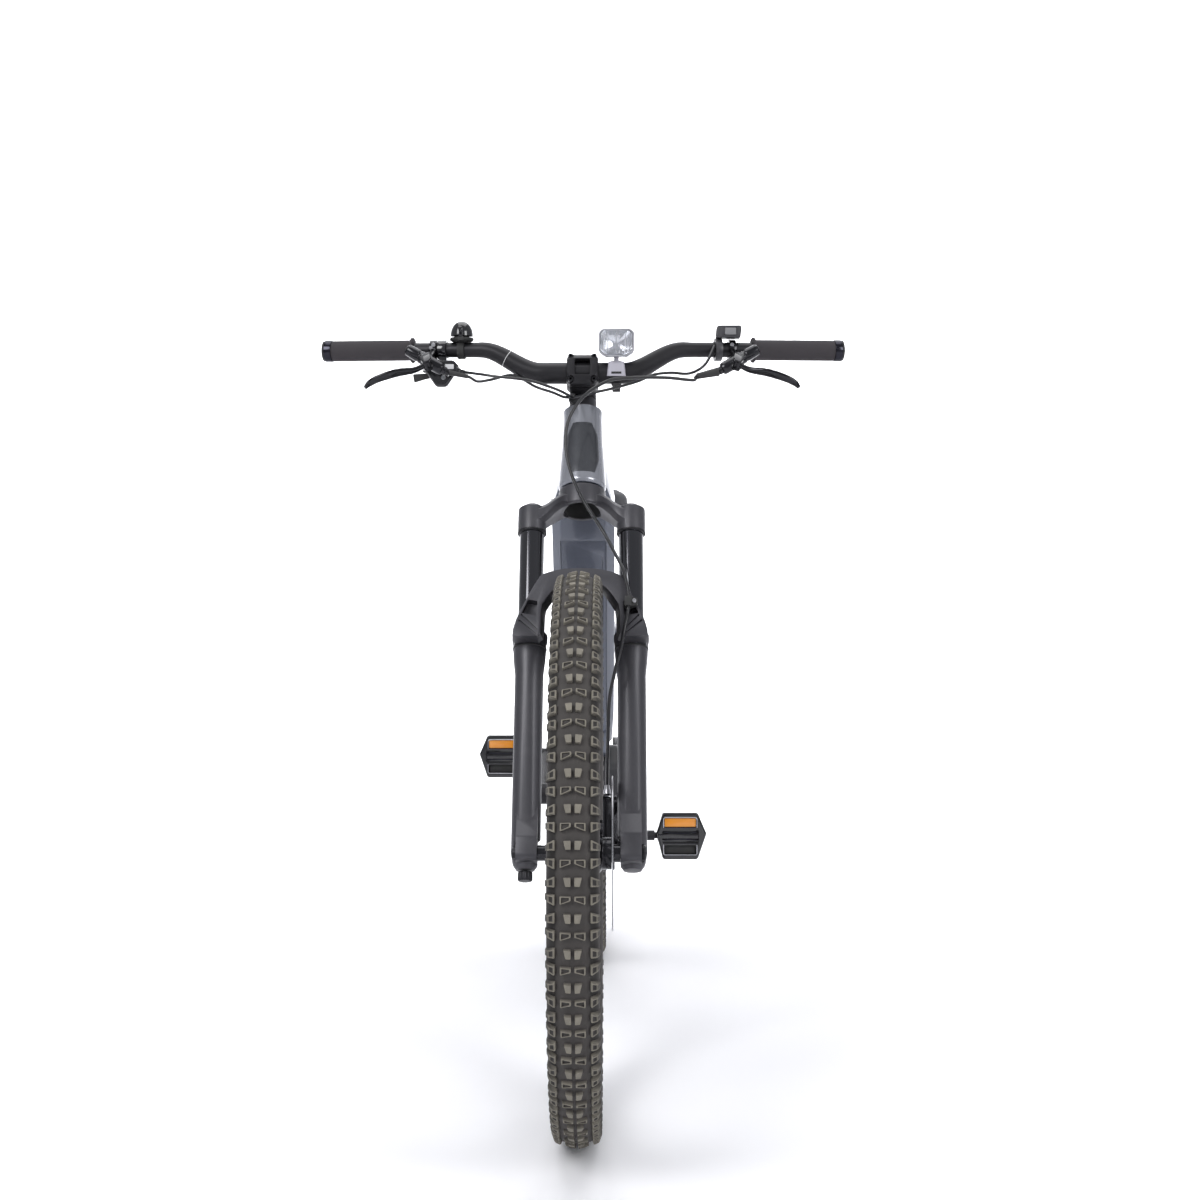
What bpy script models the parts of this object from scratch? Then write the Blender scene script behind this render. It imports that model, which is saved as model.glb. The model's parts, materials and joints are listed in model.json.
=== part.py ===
# Electric hardtail mountain bike, in metres, +Z up, front towards -Y, bike's left towards +X.
# The origin is on the ground, midway between the two wheels.
import math

import bmesh
import bpy
from mathutils import Matrix, Vector

# Clearances
GAP = 0.0003
RUNNING = 0.0004

# Sides of round pieces
FINE = 16
ROUND = 12
SMALL = 8

# Wheels
WHEEL_RADIUS = 0.3725
WHEELBASE = 1.220
TREAD_ROWS = 24
KNOB_HEIGHT = 0.0058
TYRE_HALF_WIDTH = 0.0300
BEAD_DEPTH = 0.0602
BEAD_RADIUS = WHEEL_RADIUS - BEAD_DEPTH
BEAD_HALF_WIDTH = 0.0146
RIM_HALF_WIDTH = 0.0175
RIM_DEPTH = 0.0255
RIM_FLANGE = 0.0050
RIM_SEGMENTS = 30
SPOKES = 28
SPOKE_RADIUS = 0.0010
SPOKE_SWEEP = math.radians(62)
SPOKE_LEAN = 0.0016
FRONT_HUB_WIDTH = 0.110
REAR_HUB_WIDTH = 0.148
FRONT_AXLE_RADIUS = 0.0075
REAR_AXLE_RADIUS = 0.0060
ROTOR_RADIUS = 0.1015
ROTOR_BAND = 0.0155
ROTOR_THICKNESS = 0.0018
FRONT_ROTOR_X = 0.0445
REAR_ROTOR_X = 0.0585

# Steering and fork
HEAD_ANGLE = math.radians(66.5)
FORK_OFFSET = 0.044
CROWN_ABOVE_TYRE = 0.1855
AXLE_TO_CROWN = WHEEL_RADIUS + CROWN_ABOVE_TYRE
HEAD_TUBE_LENGTH = 0.130
LEG_SPACING = 0.142
LEG_LEAD = 0.030
STANCHION_RADIUS = 0.0175
LEG_RADIUS = 0.0198
CROWN_CLAMP_RADIUS = 0.0205
CROWN_CLAMP_TOP = -0.034
CROWN_CLAMP_HEIGHT = 0.050
SEAL_HEIGHT = -0.2345
STEERER_TOP_RADIUS = 0.0143
STEERER_BASE_RADIUS = 0.0199
COVER_HEIGHT = 0.021
STEM_HEIGHT = 0.040
STEM_REACH = 0.050
STEM_HALF_WIDTH = 0.0234
BAR_CLAMP_RADIUS = 0.0159
BAR_GRIP_RADIUS = 0.0111
BAR_HALF_WIDTH = 0.388
BAR_RISE = 0.036
BAR_SWEEP = 0.042
GRIP_RADIUS = 0.01525
GRIP_LENGTH = 0.136
GRIP_FLANGE = 0.0125

# Frame
BB_DROP = 0.0065
BB_HEIGHT = WHEEL_RADIUS - BB_DROP
CHAINSTAY = 0.444
SEAT_ANGLE = math.radians(74.5)
SEAT_TUBE_LENGTH = 0.440
SEAT_TUBE_RADIUS = 0.0185
SEATPOST_RADIUS = 0.0158
SADDLE_RAIL_HEIGHT = 0.506
RAIL_RADIUS = 0.0034
DOWN_TUBE_HALF_WIDTH = 0.0475
DOWN_TUBE_HALF_DEPTH = 0.040
DOWN_TUBE_CHAMFER = 0.013
DOWN_TUBE_LENGTH = 0.524
DOWN_TUBE_ANGLE = math.radians(48.7)
BATTERY_HALF_WIDTH = 0.033
BATTERY_LENGTH = 0.400
COVER_THICKNESS = 0.005
MOTOR_RIGHT = -0.045
MOTOR_LEFT = 0.055

# Drive
CHAIN_PITCH = 0.0127
CHAINLINE = -0.052
CHAINRING_TEETH = 36
CASSETTE_TEETH = (11, 13, 15, 18, 22, 26, 30, 34)
CHAIN_SPROCKET = 4
SPROCKET_STEP = 0.0048
SPROCKET_THICKNESS = 0.0018
PULLEY_TEETH = 12
TOOTH_HEIGHT = 0.0038
CHAIN_HALF_HEIGHT = 0.0040
CHAIN_OUTER_HALF_WIDTH = 0.0031
CHAIN_INNER_HALF_WIDTH = 0.0024
CRANK_LENGTH = 0.165
CRANK_DROP = math.radians(18.5)
CRANK_INNER = 0.0715
CRANK_THICKNESS = 0.015
SPINDLE_RADIUS = 0.0100
PEDAL_CENTRE = 0.1570
PEDAL_AXLE_RADIUS = 0.0055

X_AXIS = Vector((1, 0, 0))
UP_STEER = Vector((0, math.cos(HEAD_ANGLE), math.sin(HEAD_ANGLE)))
BACK_STEER = Vector((0, math.sin(HEAD_ANGLE), -math.cos(HEAD_ANGLE)))
FRONT_AXLE = Vector((0, -WHEELBASE / 2, WHEEL_RADIUS))
REAR_AXLE = Vector((0, WHEELBASE / 2, WHEEL_RADIUS))
FORK_RISE = math.sqrt(AXLE_TO_CROWN ** 2 - FORK_OFFSET ** 2)
CROWN_RACE = FRONT_AXLE + BACK_STEER * FORK_OFFSET + UP_STEER * FORK_RISE
BB = Vector((0, REAR_AXLE.y - math.sqrt(CHAINSTAY ** 2 - BB_DROP ** 2), BB_HEIGHT))
SEAT_AXIS = Vector((0, math.cos(SEAT_ANGLE), math.sin(SEAT_ANGLE)))
DOWN_AXIS = Vector((0, math.cos(DOWN_TUBE_ANGLE), -math.sin(DOWN_TUBE_ANGLE)))
DOWN_NORMAL = Vector((0, math.sin(DOWN_TUBE_ANGLE), math.cos(DOWN_TUBE_ANGLE)))
LEG_X = LEG_SPACING / 2
STEM_CENTRE = HEAD_TUBE_LENGTH + COVER_HEIGHT + GAP + STEM_HEIGHT / 2

FORK_FRAME = Matrix.Translation(CROWN_RACE) @ Matrix.Rotation(
    HEAD_ANGLE - math.pi / 2, 4, "X")
SIDE_FRAME = Matrix(((0, 0, 1, 0), (1, 0, 0, 0), (0, 1, 0, 0), (0, 0, 0, 1)))
FRONT_FRAME = Matrix(((1, 0, 0, 0), (0, 0, 1, 0), (0, 1, 0, 0), (0, 0, 0, 1)))


def fork_point(x, back, up):
    """A world point from its place beside, behind and above the crown race, square to the steering axis."""
    return CROWN_RACE + X_AXIS * x + BACK_STEER * back + UP_STEER * up


BAR_CENTRE = fork_point(0, -STEM_REACH, STEM_CENTRE)
SADDLE_CLAMP = BB + SEAT_AXIS * (SADDLE_RAIL_HEIGHT / math.sin(SEAT_ANGLE))
SEAT_TOP = BB + SEAT_AXIS * SEAT_TUBE_LENGTH
DOWN_TUBE_TOP = fork_point(0, 0.034, 0.005) + DOWN_NORMAL * DOWN_TUBE_HALF_DEPTH
CRANK_FORWARD = Vector((0, -math.cos(CRANK_DROP), -math.sin(CRANK_DROP)))


# Shape helpers


def axis_frame(origin, direction):
    """A frame at origin whose local Z points along direction."""
    turn = direction.normalized().to_track_quat("Z", "Y").to_matrix().to_4x4()
    return Matrix.Translation(origin) @ turn


def x_frame(origin):
    """A frame at origin whose local Z is world +X, local X is world +Y and local Y is world +Z."""
    return Matrix.Translation(origin) @ SIDE_FRAME


def closed(bm):
    """Points every face outward and hands the mesh back."""
    bmesh.ops.recalc_face_normals(bm, faces=bm.faces)
    return bm


def bridge(bm, first, second):
    """Joins two loops of vertices, of which one may be a single pole."""
    count = max(len(first), len(second))
    for i in range(count):
        j = (i + 1) % count
        if len(first) == 1:
            bm.faces.new((first[0], second[j], second[i]))
        elif len(second) == 1:
            bm.faces.new((first[i], first[j], second[0]))
        else:
            bm.faces.new((first[i], first[j], second[j], second[i]))


def loft(rings, ring=False):
    """A solid through a row of point loops, closed by its end caps or, for a ring, onto itself."""
    bm = bmesh.new()
    loops = [[bm.verts.new(point) for point in points] for points in rings]
    for first, second in zip(loops, loops[1:]):
        bridge(bm, first, second)
    if ring:
        bridge(bm, loops[-1], loops[0])
    else:
        for end in (loops[0], loops[-1]):
            if len(end) > 2:
                bm.faces.new(end)
    return closed(bm)


def turned(profile, segments, frame, ring=False):
    """A turned solid: the profile lists (radius, height) along the frame's local Z."""
    rings = []
    for radius, height in profile:
        if radius < 1e-9:
            rings.append([frame @ Vector((0, 0, height))])
            continue
        angles = [2 * math.pi * i / segments for i in range(segments)]
        rings.append([frame @ Vector((radius * math.cos(a), radius * math.sin(a), height)) for a in angles])
    return loft(rings, ring)


def prism(outline, low, high, frame):
    """An outline of local (x, y) points, extruded from low to high along the frame's local Z."""
    rings = [[frame @ Vector((a, b, height)) for a, b in outline] for height in (low, high)]
    return loft(rings)


def box(low, high, frame=None):
    """A block between two corners, given in the frame."""
    outline = [(low[0], low[1]), (high[0], low[1]), (high[0], high[1]), (low[0], high[1])]
    return prism(outline, low[2], high[2], frame or Matrix.Identity(4))


def rod(start, end, radius, sides, end_radius=None):
    """A straight round bar, or a cone when it has an end radius."""
    length = (end - start).length
    profile = [(radius, 0), (end_radius or radius, length)]
    return turned(profile, sides, axis_frame(start, end - start))


def rounded(outline, radius, steps=3):
    """The outline with each corner replaced by a short arc of the given radius."""
    points = []
    count = len(outline)
    for i, corner in enumerate(outline):
        here = Vector(corner)
        before = (Vector(outline[i - 1]) - here)
        after = (Vector(outline[(i + 1) % count]) - here)
        half = before.angle(after) / 2
        reach = min(radius / math.tan(half), before.length * 0.45, after.length * 0.45)
        start = here + before.normalized() * reach
        end = here + after.normalized() * reach
        for step in range(steps + 1):
            t = step / steps
            points.append(tuple(start * (1 - t) ** 2 + here * 2 * t * (1 - t) + end * t ** 2))
    return points


def chamfered(half_width, half_height, chamfer):
    """A rectangle with cut corners, as local (x, y) points."""
    w = half_width
    h = half_height
    c = chamfer
    return [(w, -h + c), (w, h - c), (w - c, h), (-w + c, h), (-w, h - c), (-w, -h + c), (-w + c, -h),
            (w - c, -h)]


def oval(half_width, half_height, sides=10):
    """An ellipse, as local (x, y) points."""
    angles = [2 * math.pi * i / sides for i in range(sides)]
    return [(half_width * math.cos(a), half_height * math.sin(a)) for a in angles]


def along(path, outlines, side):
    """A loft whose outlines follow a path. Their local X stays near the side direction."""
    rings = []
    for i, outline in enumerate(outlines):
        ahead = path[min(i + 1, len(path) - 1)] - path[max(i - 1, 0)]
        across = (side - ahead * (side.dot(ahead) / ahead.length_squared)).normalized()
        other = ahead.cross(across).normalized()
        rings.append([path[i] + across * a + other * b for a, b in outline])
    return loft(rings)


def smooth_route(points, steps):
    """A smooth curve through the route's points, with the given steps between each two."""
    route = [points[0] * 2 - points[1], *points, points[-1] * 2 - points[-2]]
    curve = []
    for a, b, c, d in zip(route, route[1:], route[2:], route[3:]):
        for step in range(steps):
            t = step / steps
            curve.append((b * 2 + (c - a) * t + (a * 2 - b * 5 + c * 4 - d) * t ** 2
                          + (b * 3 - a - c * 3 + d) * t ** 3) / 2)
    return [*curve, points[-1]]


def joined(*meshes):
    """Separate solids in one mesh."""
    whole = bmesh.new()
    for bm in meshes:
        carrier = bpy.data.meshes.new("carrier")
        bm.to_mesh(carrier)
        bm.free()
        whole.from_mesh(carrier)
        bpy.data.meshes.remove(carrier)
    return whole


def mirrored(bm):
    """The same solid on the bike's other side."""
    bmesh.ops.transform(bm, matrix=Matrix.Scale(-1, 4, X_AXIS), verts=bm.verts)
    bmesh.ops.reverse_faces(bm, faces=bm.faces)
    return bm


def combined(bm, operation, *tools):
    """The solid after a Boolean with each tool in turn."""
    for tool in tools:
        solid = scratch_object(bm)
        other = scratch_object(tool)
        modifier = solid.modifiers.new("combine", "BOOLEAN")
        modifier.operation = operation
        modifier.solver = "EXACT"
        modifier.object = other
        bpy.context.view_layer.update()
        result = bpy.data.meshes.new_from_object(solid.evaluated_get(bpy.context.evaluated_depsgraph_get()))
        bm = bmesh.new()
        bm.from_mesh(result)
        bpy.data.meshes.remove(result)
        for used in (solid, other):
            mesh = used.data
            bpy.data.objects.remove(used)
            bpy.data.meshes.remove(mesh)
        bmesh.ops.remove_doubles(bm, verts=bm.verts, dist=0.00001)
        bmesh.ops.dissolve_limit(bm, angle_limit=math.radians(0.2), verts=bm.verts, edges=bm.edges)
    return bm


def scratch_object(bm):
    """An object that holds the mesh for one Boolean."""
    mesh = bpy.data.meshes.new("scratch")
    bm.to_mesh(mesh)
    bm.free()
    thing = bpy.data.objects.new("scratch", mesh)
    bpy.context.scene.collection.objects.link(thing)
    return thing


def fused(first, *others):
    """The union of the solids."""
    return combined(first, "UNION", *others)


def cut(solid, *tools):
    """The first solid with each tool taken out of it."""
    return combined(solid, "DIFFERENCE", *tools)


# Materials, as (colour, roughness, metallic)
FINISHES = {
    "frame_paint": ((0.135, 0.155, 0.205), 0.30, 0.35),
    "fork_paint": ((0.095, 0.095, 0.110), 0.42, 0.30),
    "black_alloy": ((0.022, 0.021, 0.025), 0.38, 0.60),
    "gloss_black": ((0.008, 0.008, 0.010), 0.10, 0.60),
    "steel": ((0.480, 0.480, 0.490), 0.30, 1.00),
    "tyre_rubber": ((0.045, 0.040, 0.038), 0.85, 0.00),
    "grip_rubber": ((0.030, 0.028, 0.032), 0.80, 0.00),
    "black_plastic": ((0.018, 0.018, 0.020), 0.50, 0.00),
    "grey_plastic": ((0.180, 0.180, 0.190), 0.45, 0.00),
    "hose": ((0.012, 0.012, 0.014), 0.35, 0.00),
    "amber": ((0.800, 0.280, 0.020), 0.15, 0.00),
    "lens": ((0.800, 0.820, 0.860), 0.05, 0.00),
    "saddle_cover": ((0.020, 0.020, 0.022), 0.60, 0.00),
}


def material(name):
    """The named finish as a Blender material, made once."""
    found = bpy.data.materials.get(name)
    if found:
        return found
    colour, roughness, metallic = FINISHES[name]
    made = bpy.data.materials.new(name)
    made.use_nodes = True
    shader = made.node_tree.nodes["Principled BSDF"]
    shader.inputs["Base Color"].default_value = (*colour, 1)
    shader.inputs["Roughness"].default_value = roughness
    shader.inputs["Metallic"].default_value = metallic
    made.diffuse_color = (*colour, 1)
    return made


def pivot(name, origin):
    """An empty on a joint's axis, which carries the pieces of one moving body."""
    empty = bpy.data.objects.new(name, None)
    empty.empty_display_size = 0.03
    empty.location = origin
    bpy.context.scene.collection.objects.link(empty)
    return empty


def add_piece(name, bm, finish, carrier):
    """Makes the named object, with its origin on its body's joint axis."""
    origin = carrier.location
    bmesh.ops.translate(bm, vec=-origin, verts=bm.verts)
    mesh = bpy.data.meshes.new(name)
    bm.to_mesh(mesh)
    bm.free()
    mesh.shade_smooth()
    mesh.set_sharp_from_angle(angle=math.radians(32))
    mesh.materials.append(material(finish))
    piece = bpy.data.objects.new(name, mesh)
    piece.parent = carrier
    bpy.context.scene.collection.objects.link(piece)
    return piece


def add_cord(name, route, radius, carrier, steps):
    """A round cord along a route, as a curve object."""
    curve = bpy.data.curves.new(name, "CURVE")
    curve.dimensions = "3D"
    curve.bevel_depth = radius
    curve.bevel_resolution = 2
    curve.use_fill_caps = True
    points = smooth_route(route, steps)
    spline = curve.splines.new("POLY")
    spline.points.add(len(points) - 1)
    for place, point in zip(spline.points, points):
        place.co = (*(point - carrier.location), 1)
    curve.materials.append(material("hose"))
    piece = bpy.data.objects.new(name, curve)
    piece.parent = carrier
    bpy.context.scene.collection.objects.link(piece)
    return piece


# Wheels


def tyre(centre):
    """A carcass ring whose cells are raised into centre knobs and shoulder knobs by turns."""
    cells = TREAD_ROWS * 2
    crown = WHEEL_RADIUS - KNOB_HEIGHT
    half = [
        (0.0018, crown), (0.0125, crown - 0.0010), (0.0195, crown - 0.0040),
        (TYRE_HALF_WIDTH, crown - 0.0160),
        (BEAD_HALF_WIDTH, BEAD_RADIUS + 0.0055), (BEAD_HALF_WIDTH, BEAD_RADIUS)]
    section = [(-x, r) for x, r in reversed(half)] + half
    columns = len(section)
    bm = bmesh.new()
    grid = []
    for i in range(cells):
        angle = 2 * math.pi * (i + 0.5) / cells - math.pi / 2
        outward = Vector((0, math.cos(angle), math.sin(angle)))
        grid.append([bm.verts.new(centre + X_AXIS * x + outward * r) for x, r in section])
    knobs = []
    knob_columns = {0: {4: 0.0, 6: 0.0}, 1: {2: 1.0, 8: 1.0}}
    for i in range(cells):
        here = grid[i]
        there = grid[(i + 1) % cells]
        for j in range(columns):
            k = (j + 1) % columns
            face = bm.faces.new((here[j], here[k], there[k], there[j]))
            if j in knob_columns[i % 2]:
                knobs.append((face, knob_columns[i % 2][j]))
    closed(bm)
    reach = WHEEL_RADIUS / math.cos(math.pi / cells)
    for face, shoulder in knobs:
        middle = face.calc_center_median() - centre
        aside = X_AXIS * math.copysign(0.0045 * shoulder, middle.x)
        top = bmesh.ops.extrude_discrete_faces(bm, faces=[face])["faces"][0]
        for vert in top.verts:
            spot = vert.co - centre
            radial = Vector((0, spot.y, spot.z))
            if shoulder:
                vert.co += radial.normalized() * KNOB_HEIGHT * 0.75 + aside * 0.75
            else:
                vert.co = centre + X_AXIS * spot.x + radial.normalized() * (reach - abs(spot.x) * 0.08)
    return bm


def rim_seat():
    """Radius of the rim under the tyre's foot, clear of the flats between the foot's corners."""
    return BEAD_RADIUS * math.cos(math.pi / (TREAD_ROWS * 2)) - GAP


def rim(centre):
    """A box-section rim with two flanges and a well that the tyre's foot sits in."""
    seat = rim_seat()
    flange = seat + RIM_FLANGE
    inner = flange - RIM_DEPTH
    half = [
        (BEAD_HALF_WIDTH + 0.0004, seat), (BEAD_HALF_WIDTH + 0.0007, flange), (RIM_HALF_WIDTH, flange),
        (RIM_HALF_WIDTH - 0.0010, inner + 0.008), (0.0070, inner)]
    section = [(r, -x) for x, r in reversed(half)] + [(r, x) for x, r in half]
    return turned(section, RIM_SEGMENTS, x_frame(centre), ring=True)


def hub_and_spokes(centre, profile, bore, flanges):
    """A turned hub shell with its bore, and the crossed spokes that reach from its flanges to the rim."""
    outline = [(bore, profile[0][1]), *profile, (bore, profile[-1][1])]
    hub = turned(outline, ROUND, x_frame(centre), ring=True)
    spokes = []
    rim_inner = rim_seat() + RIM_FLANGE - RIM_DEPTH
    for i in range(SPOKES):
        flange_x, flange_radius = flanges[i % 2]
        sweep = SPOKE_SWEEP if (i // 2) % 2 else -SPOKE_SWEEP
        lean = SPOKE_LEAN if (i // 2) % 2 else -SPOKE_LEAN
        outer = 2 * math.pi * i / SPOKES
        inner = outer + sweep
        start = Vector((flange_x + lean, (flange_radius - 0.0018) * math.cos(inner),
                        (flange_radius - 0.0018) * math.sin(inner)))
        end_radius = rim_inner * math.cos(math.pi / RIM_SEGMENTS) - 0.0010
        end = Vector((math.copysign(0.0035, flange_x), end_radius * math.cos(outer),
                      end_radius * math.sin(outer)))
        spokes.append(rod(centre + start, centre + end, SPOKE_RADIUS, 3))
    return fused(hub, joined(*spokes))


def rotor(centre, x, hub_radius):
    """A brake disc: a friction ring on six swept arms, and the centre that bolts to the hub."""
    segments = 24
    radii = (hub_radius, hub_radius + 0.0130, ROTOR_RADIUS - ROTOR_BAND, ROTOR_RADIUS)
    twist = (0, 0, math.radians(30), math.radians(30))
    faces = [(ring, i) for ring in (0, 2) for i in range(segments)]
    faces += [(1, i) for i in range(segments) if i % 4 == 0]
    bm = bmesh.new()
    layers = []
    for side in (-0.5, 0.5):
        spots = []
        for radius, turn in zip(radii, twist):
            angles = [2 * math.pi * i / segments + turn for i in range(segments)]
            spots.append([bm.verts.new(centre + Vector((x + side * ROTOR_THICKNESS, radius * math.cos(a),
                                                        radius * math.sin(a)))) for a in angles])
        layers.append(spots)
    border = {}
    for ring, i in faces:
        j = (i + 1) % segments
        corners = [(ring, i), (ring, j), (ring + 1, j), (ring + 1, i)]
        for spots in layers:
            bm.faces.new([spots[a][b] for a, b in corners])
        for first, second in zip(corners, corners[1:] + corners[:1]):
            key = frozenset((first, second))
            border[key] = None if key in border else (first, second)
    for edge in border.values():
        if edge:
            (a, b), (c, d) = edge
            bm.faces.new((layers[0][a][b], layers[0][c][d], layers[1][c][d], layers[1][a][b]))
    return closed(bm)


def build_front_wheel(carrier):
    """The front tyre, rim, laced hub and brake disc."""
    half = FRONT_HUB_WIDTH / 2 - 0.0005
    disc_face = FRONT_ROTOR_X - ROTOR_THICKNESS / 2 - GAP
    profile = [(0.0105, -half), (0.0105, -0.0420), (0.0160, -0.0380), (0.0285, -0.0325), (0.0285, -0.0285),
               (0.0150, -0.0240), (0.0150, 0.0180), (0.0285, 0.0225), (0.0285, 0.0265), (0.0215, 0.0310),
               (0.0215, disc_face), (0.0120, disc_face), (0.0120, half)]
    hub = hub_and_spokes(FRONT_AXLE, profile, FRONT_AXLE_RADIUS + RUNNING,
                         ((-0.0305, 0.0285), (0.0245, 0.0285)))
    add_piece("front_tyre", tyre(FRONT_AXLE), "tyre_rubber", carrier)
    add_piece("front_rim", rim(FRONT_AXLE), "black_alloy", carrier)
    add_piece("front_hub_and_spokes", hub, "black_alloy", carrier)
    add_piece("front_brake_disc", rotor(FRONT_AXLE, FRONT_ROTOR_X, 0.0123), "steel", carrier)


def build_rear_wheel(carrier):
    """The rear tyre, rim, laced hub and brake disc."""
    half = REAR_HUB_WIDTH / 2 - 0.0005
    disc_face = REAR_ROTOR_X - ROTOR_THICKNESS / 2 - GAP
    profile = [(0.0120, -0.0310), (0.0220, -0.0290), (0.0285, -0.0270), (0.0285, -0.0230),
               (0.0160, -0.0180),
               (0.0160, 0.0270), (0.0285, 0.0320), (0.0285, 0.0360), (0.0215, 0.0420), (0.0215, disc_face),
               (0.0120, disc_face), (0.0120, half)]
    hub = hub_and_spokes(REAR_AXLE, profile, REAR_AXLE_RADIUS + RUNNING,
                         ((-0.0250, 0.0285), (0.0340, 0.0285)))
    add_piece("rear_tyre", tyre(REAR_AXLE), "tyre_rubber", carrier)
    add_piece("rear_rim", rim(REAR_AXLE), "black_alloy", carrier)
    add_piece("rear_hub_and_spokes", hub, "black_alloy", carrier)
    add_piece("rear_brake_disc", rotor(REAR_AXLE, REAR_ROTOR_X, 0.0123), "steel", carrier)


# Fork


def leg_frame(side):
    """A frame on a fork leg's centre line, level with the crown race."""
    return axis_frame(fork_point(side * LEG_X, -LEG_LEAD, 0), UP_STEER)


def build_fork_top(carrier):
    """Crown with its steerer tube, the two stanchions and the headset parts."""
    clamp_low = CROWN_CLAMP_TOP - CROWN_CLAMP_HEIGHT
    column = turned([
        (0.0330, -0.0260), (0.0345, -0.0180), (0.0345, -0.0020), (0.0300, -GAP), (0.0255, -GAP),
        (0.0255, 0.0110),
        (STEERER_BASE_RADIUS, 0.0110), (STEERER_BASE_RADIUS, 0.018), (STEERER_TOP_RADIUS, 0.060),
        (STEERER_TOP_RADIUS, HEAD_TUBE_LENGTH + COVER_HEIGHT + STEM_HEIGHT - 0.002)], FINE, FORK_FRAME)
    half = [
        (0.000, -0.0340, 0.0300, -0.0240, -0.0040), (0.030, -0.0440, 0.0180, -0.0280, -0.0080),
        (0.052, -0.0490, -0.0080, -0.0500, -0.0250),
        (LEG_X, -0.0485, -0.0115, clamp_low + 0.006, CROWN_CLAMP_TOP - 0.004)]
    stations = [(-x, *sizes) for x, *sizes in reversed(half[1:])] + half
    bridge_rings = []
    for x, front, back, low, high in stations:
        middle = ((front + back) / 2, (low + high) / 2)
        outline = chamfered((back - front) / 2, (high - low) / 2, 0.004)
        bridge_rings.append([fork_point(x, middle[0] + a, middle[1] + b) for a, b in outline])
    clamp = [
        (CROWN_CLAMP_RADIUS - 0.0015, clamp_low), (CROWN_CLAMP_RADIUS, clamp_low + 0.003),
        (CROWN_CLAMP_RADIUS, CROWN_CLAMP_TOP - 0.002), (CROWN_CLAMP_RADIUS - 0.002, CROWN_CLAMP_TOP)]
    clamps = [turned(clamp, FINE, leg_frame(side)) for side in (-1, 1)]
    crown = fused(column, loft(bridge_rings), *clamps)
    bores = [rod(fork_point(side * LEG_X, -LEG_LEAD, clamp_low - 0.01),
                 fork_point(side * LEG_X, -LEG_LEAD, 0.01),
                 STANCHION_RADIUS + GAP, FINE) for side in (-1, 1)]
    hollow = turned([(0.0250, -0.0400), (0.0180, -0.0200), (0.0160, 0.0150), (0.0120, 0.0600),
                     (0.0120, 0.2200)],
                    ROUND, FORK_FRAME)
    crown = cut(crown, *bores, hollow)
    add_piece("fork_crown_and_steerer", crown, "fork_paint", carrier)

    for side, name in ((1, "stanchion_left"), (-1, "stanchion_right")):
        tube = turned([
            (0.0150, -0.3800), (STANCHION_RADIUS, -0.3785), (STANCHION_RADIUS, CROWN_CLAMP_TOP - 0.0010),
            (0.0130, CROWN_CLAMP_TOP - 0.0010), (0.0130, CROWN_CLAMP_TOP + 0.0040),
            (0.0110, CROWN_CLAMP_TOP + 0.0060),
            (0, CROWN_CLAMP_TOP + 0.0060)], FINE, leg_frame(side))
        add_piece(name, tube, "gloss_black", carrier)
    add_piece("headset_cover", turned(cover_profile(0), FINE, FORK_FRAME, ring=True), "black_alloy",
              carrier)


def cover_profile(grow):
    """Headset cover with its upper bearing, as (radius, height) pairs, grown outward by a clearance."""
    high = HEAD_TUBE_LENGTH
    inner = STEERER_TOP_RADIUS + GAP
    return [(inner, high - 0.0105), (0.0214 + grow, high - 0.0105), (0.0214 + grow, high + GAP),
            (0.0285 + grow, high + GAP - grow), (0.0270 + grow, high + 0.007),
            (0.0215 + grow, high + COVER_HEIGHT - 0.002),
            (0.0205 + grow, high + COVER_HEIGHT + grow), (inner, high + COVER_HEIGHT + grow)]


def arch_outline():
    """Front outline of the fork bridge, as (x, height) points, from its left foot over the tyre to the right one."""
    outer = [(0, -0.1590), (0.0300, -0.1590), (0.0490, -0.1620), (0.0722, -0.1900), (0.0850, -0.2170),
             (0.0945, -0.2480)]
    inner = [(0.0560, -0.2620), (0.0560, -0.2080), (0.0480, -0.1900), (0.0300, -0.1780), (0, -0.1740)]
    half = outer + [(0.0945, -0.2620)] + inner
    other = [(-x, z) for x, z in reversed(half) if x > 0]
    return half + other


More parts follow.
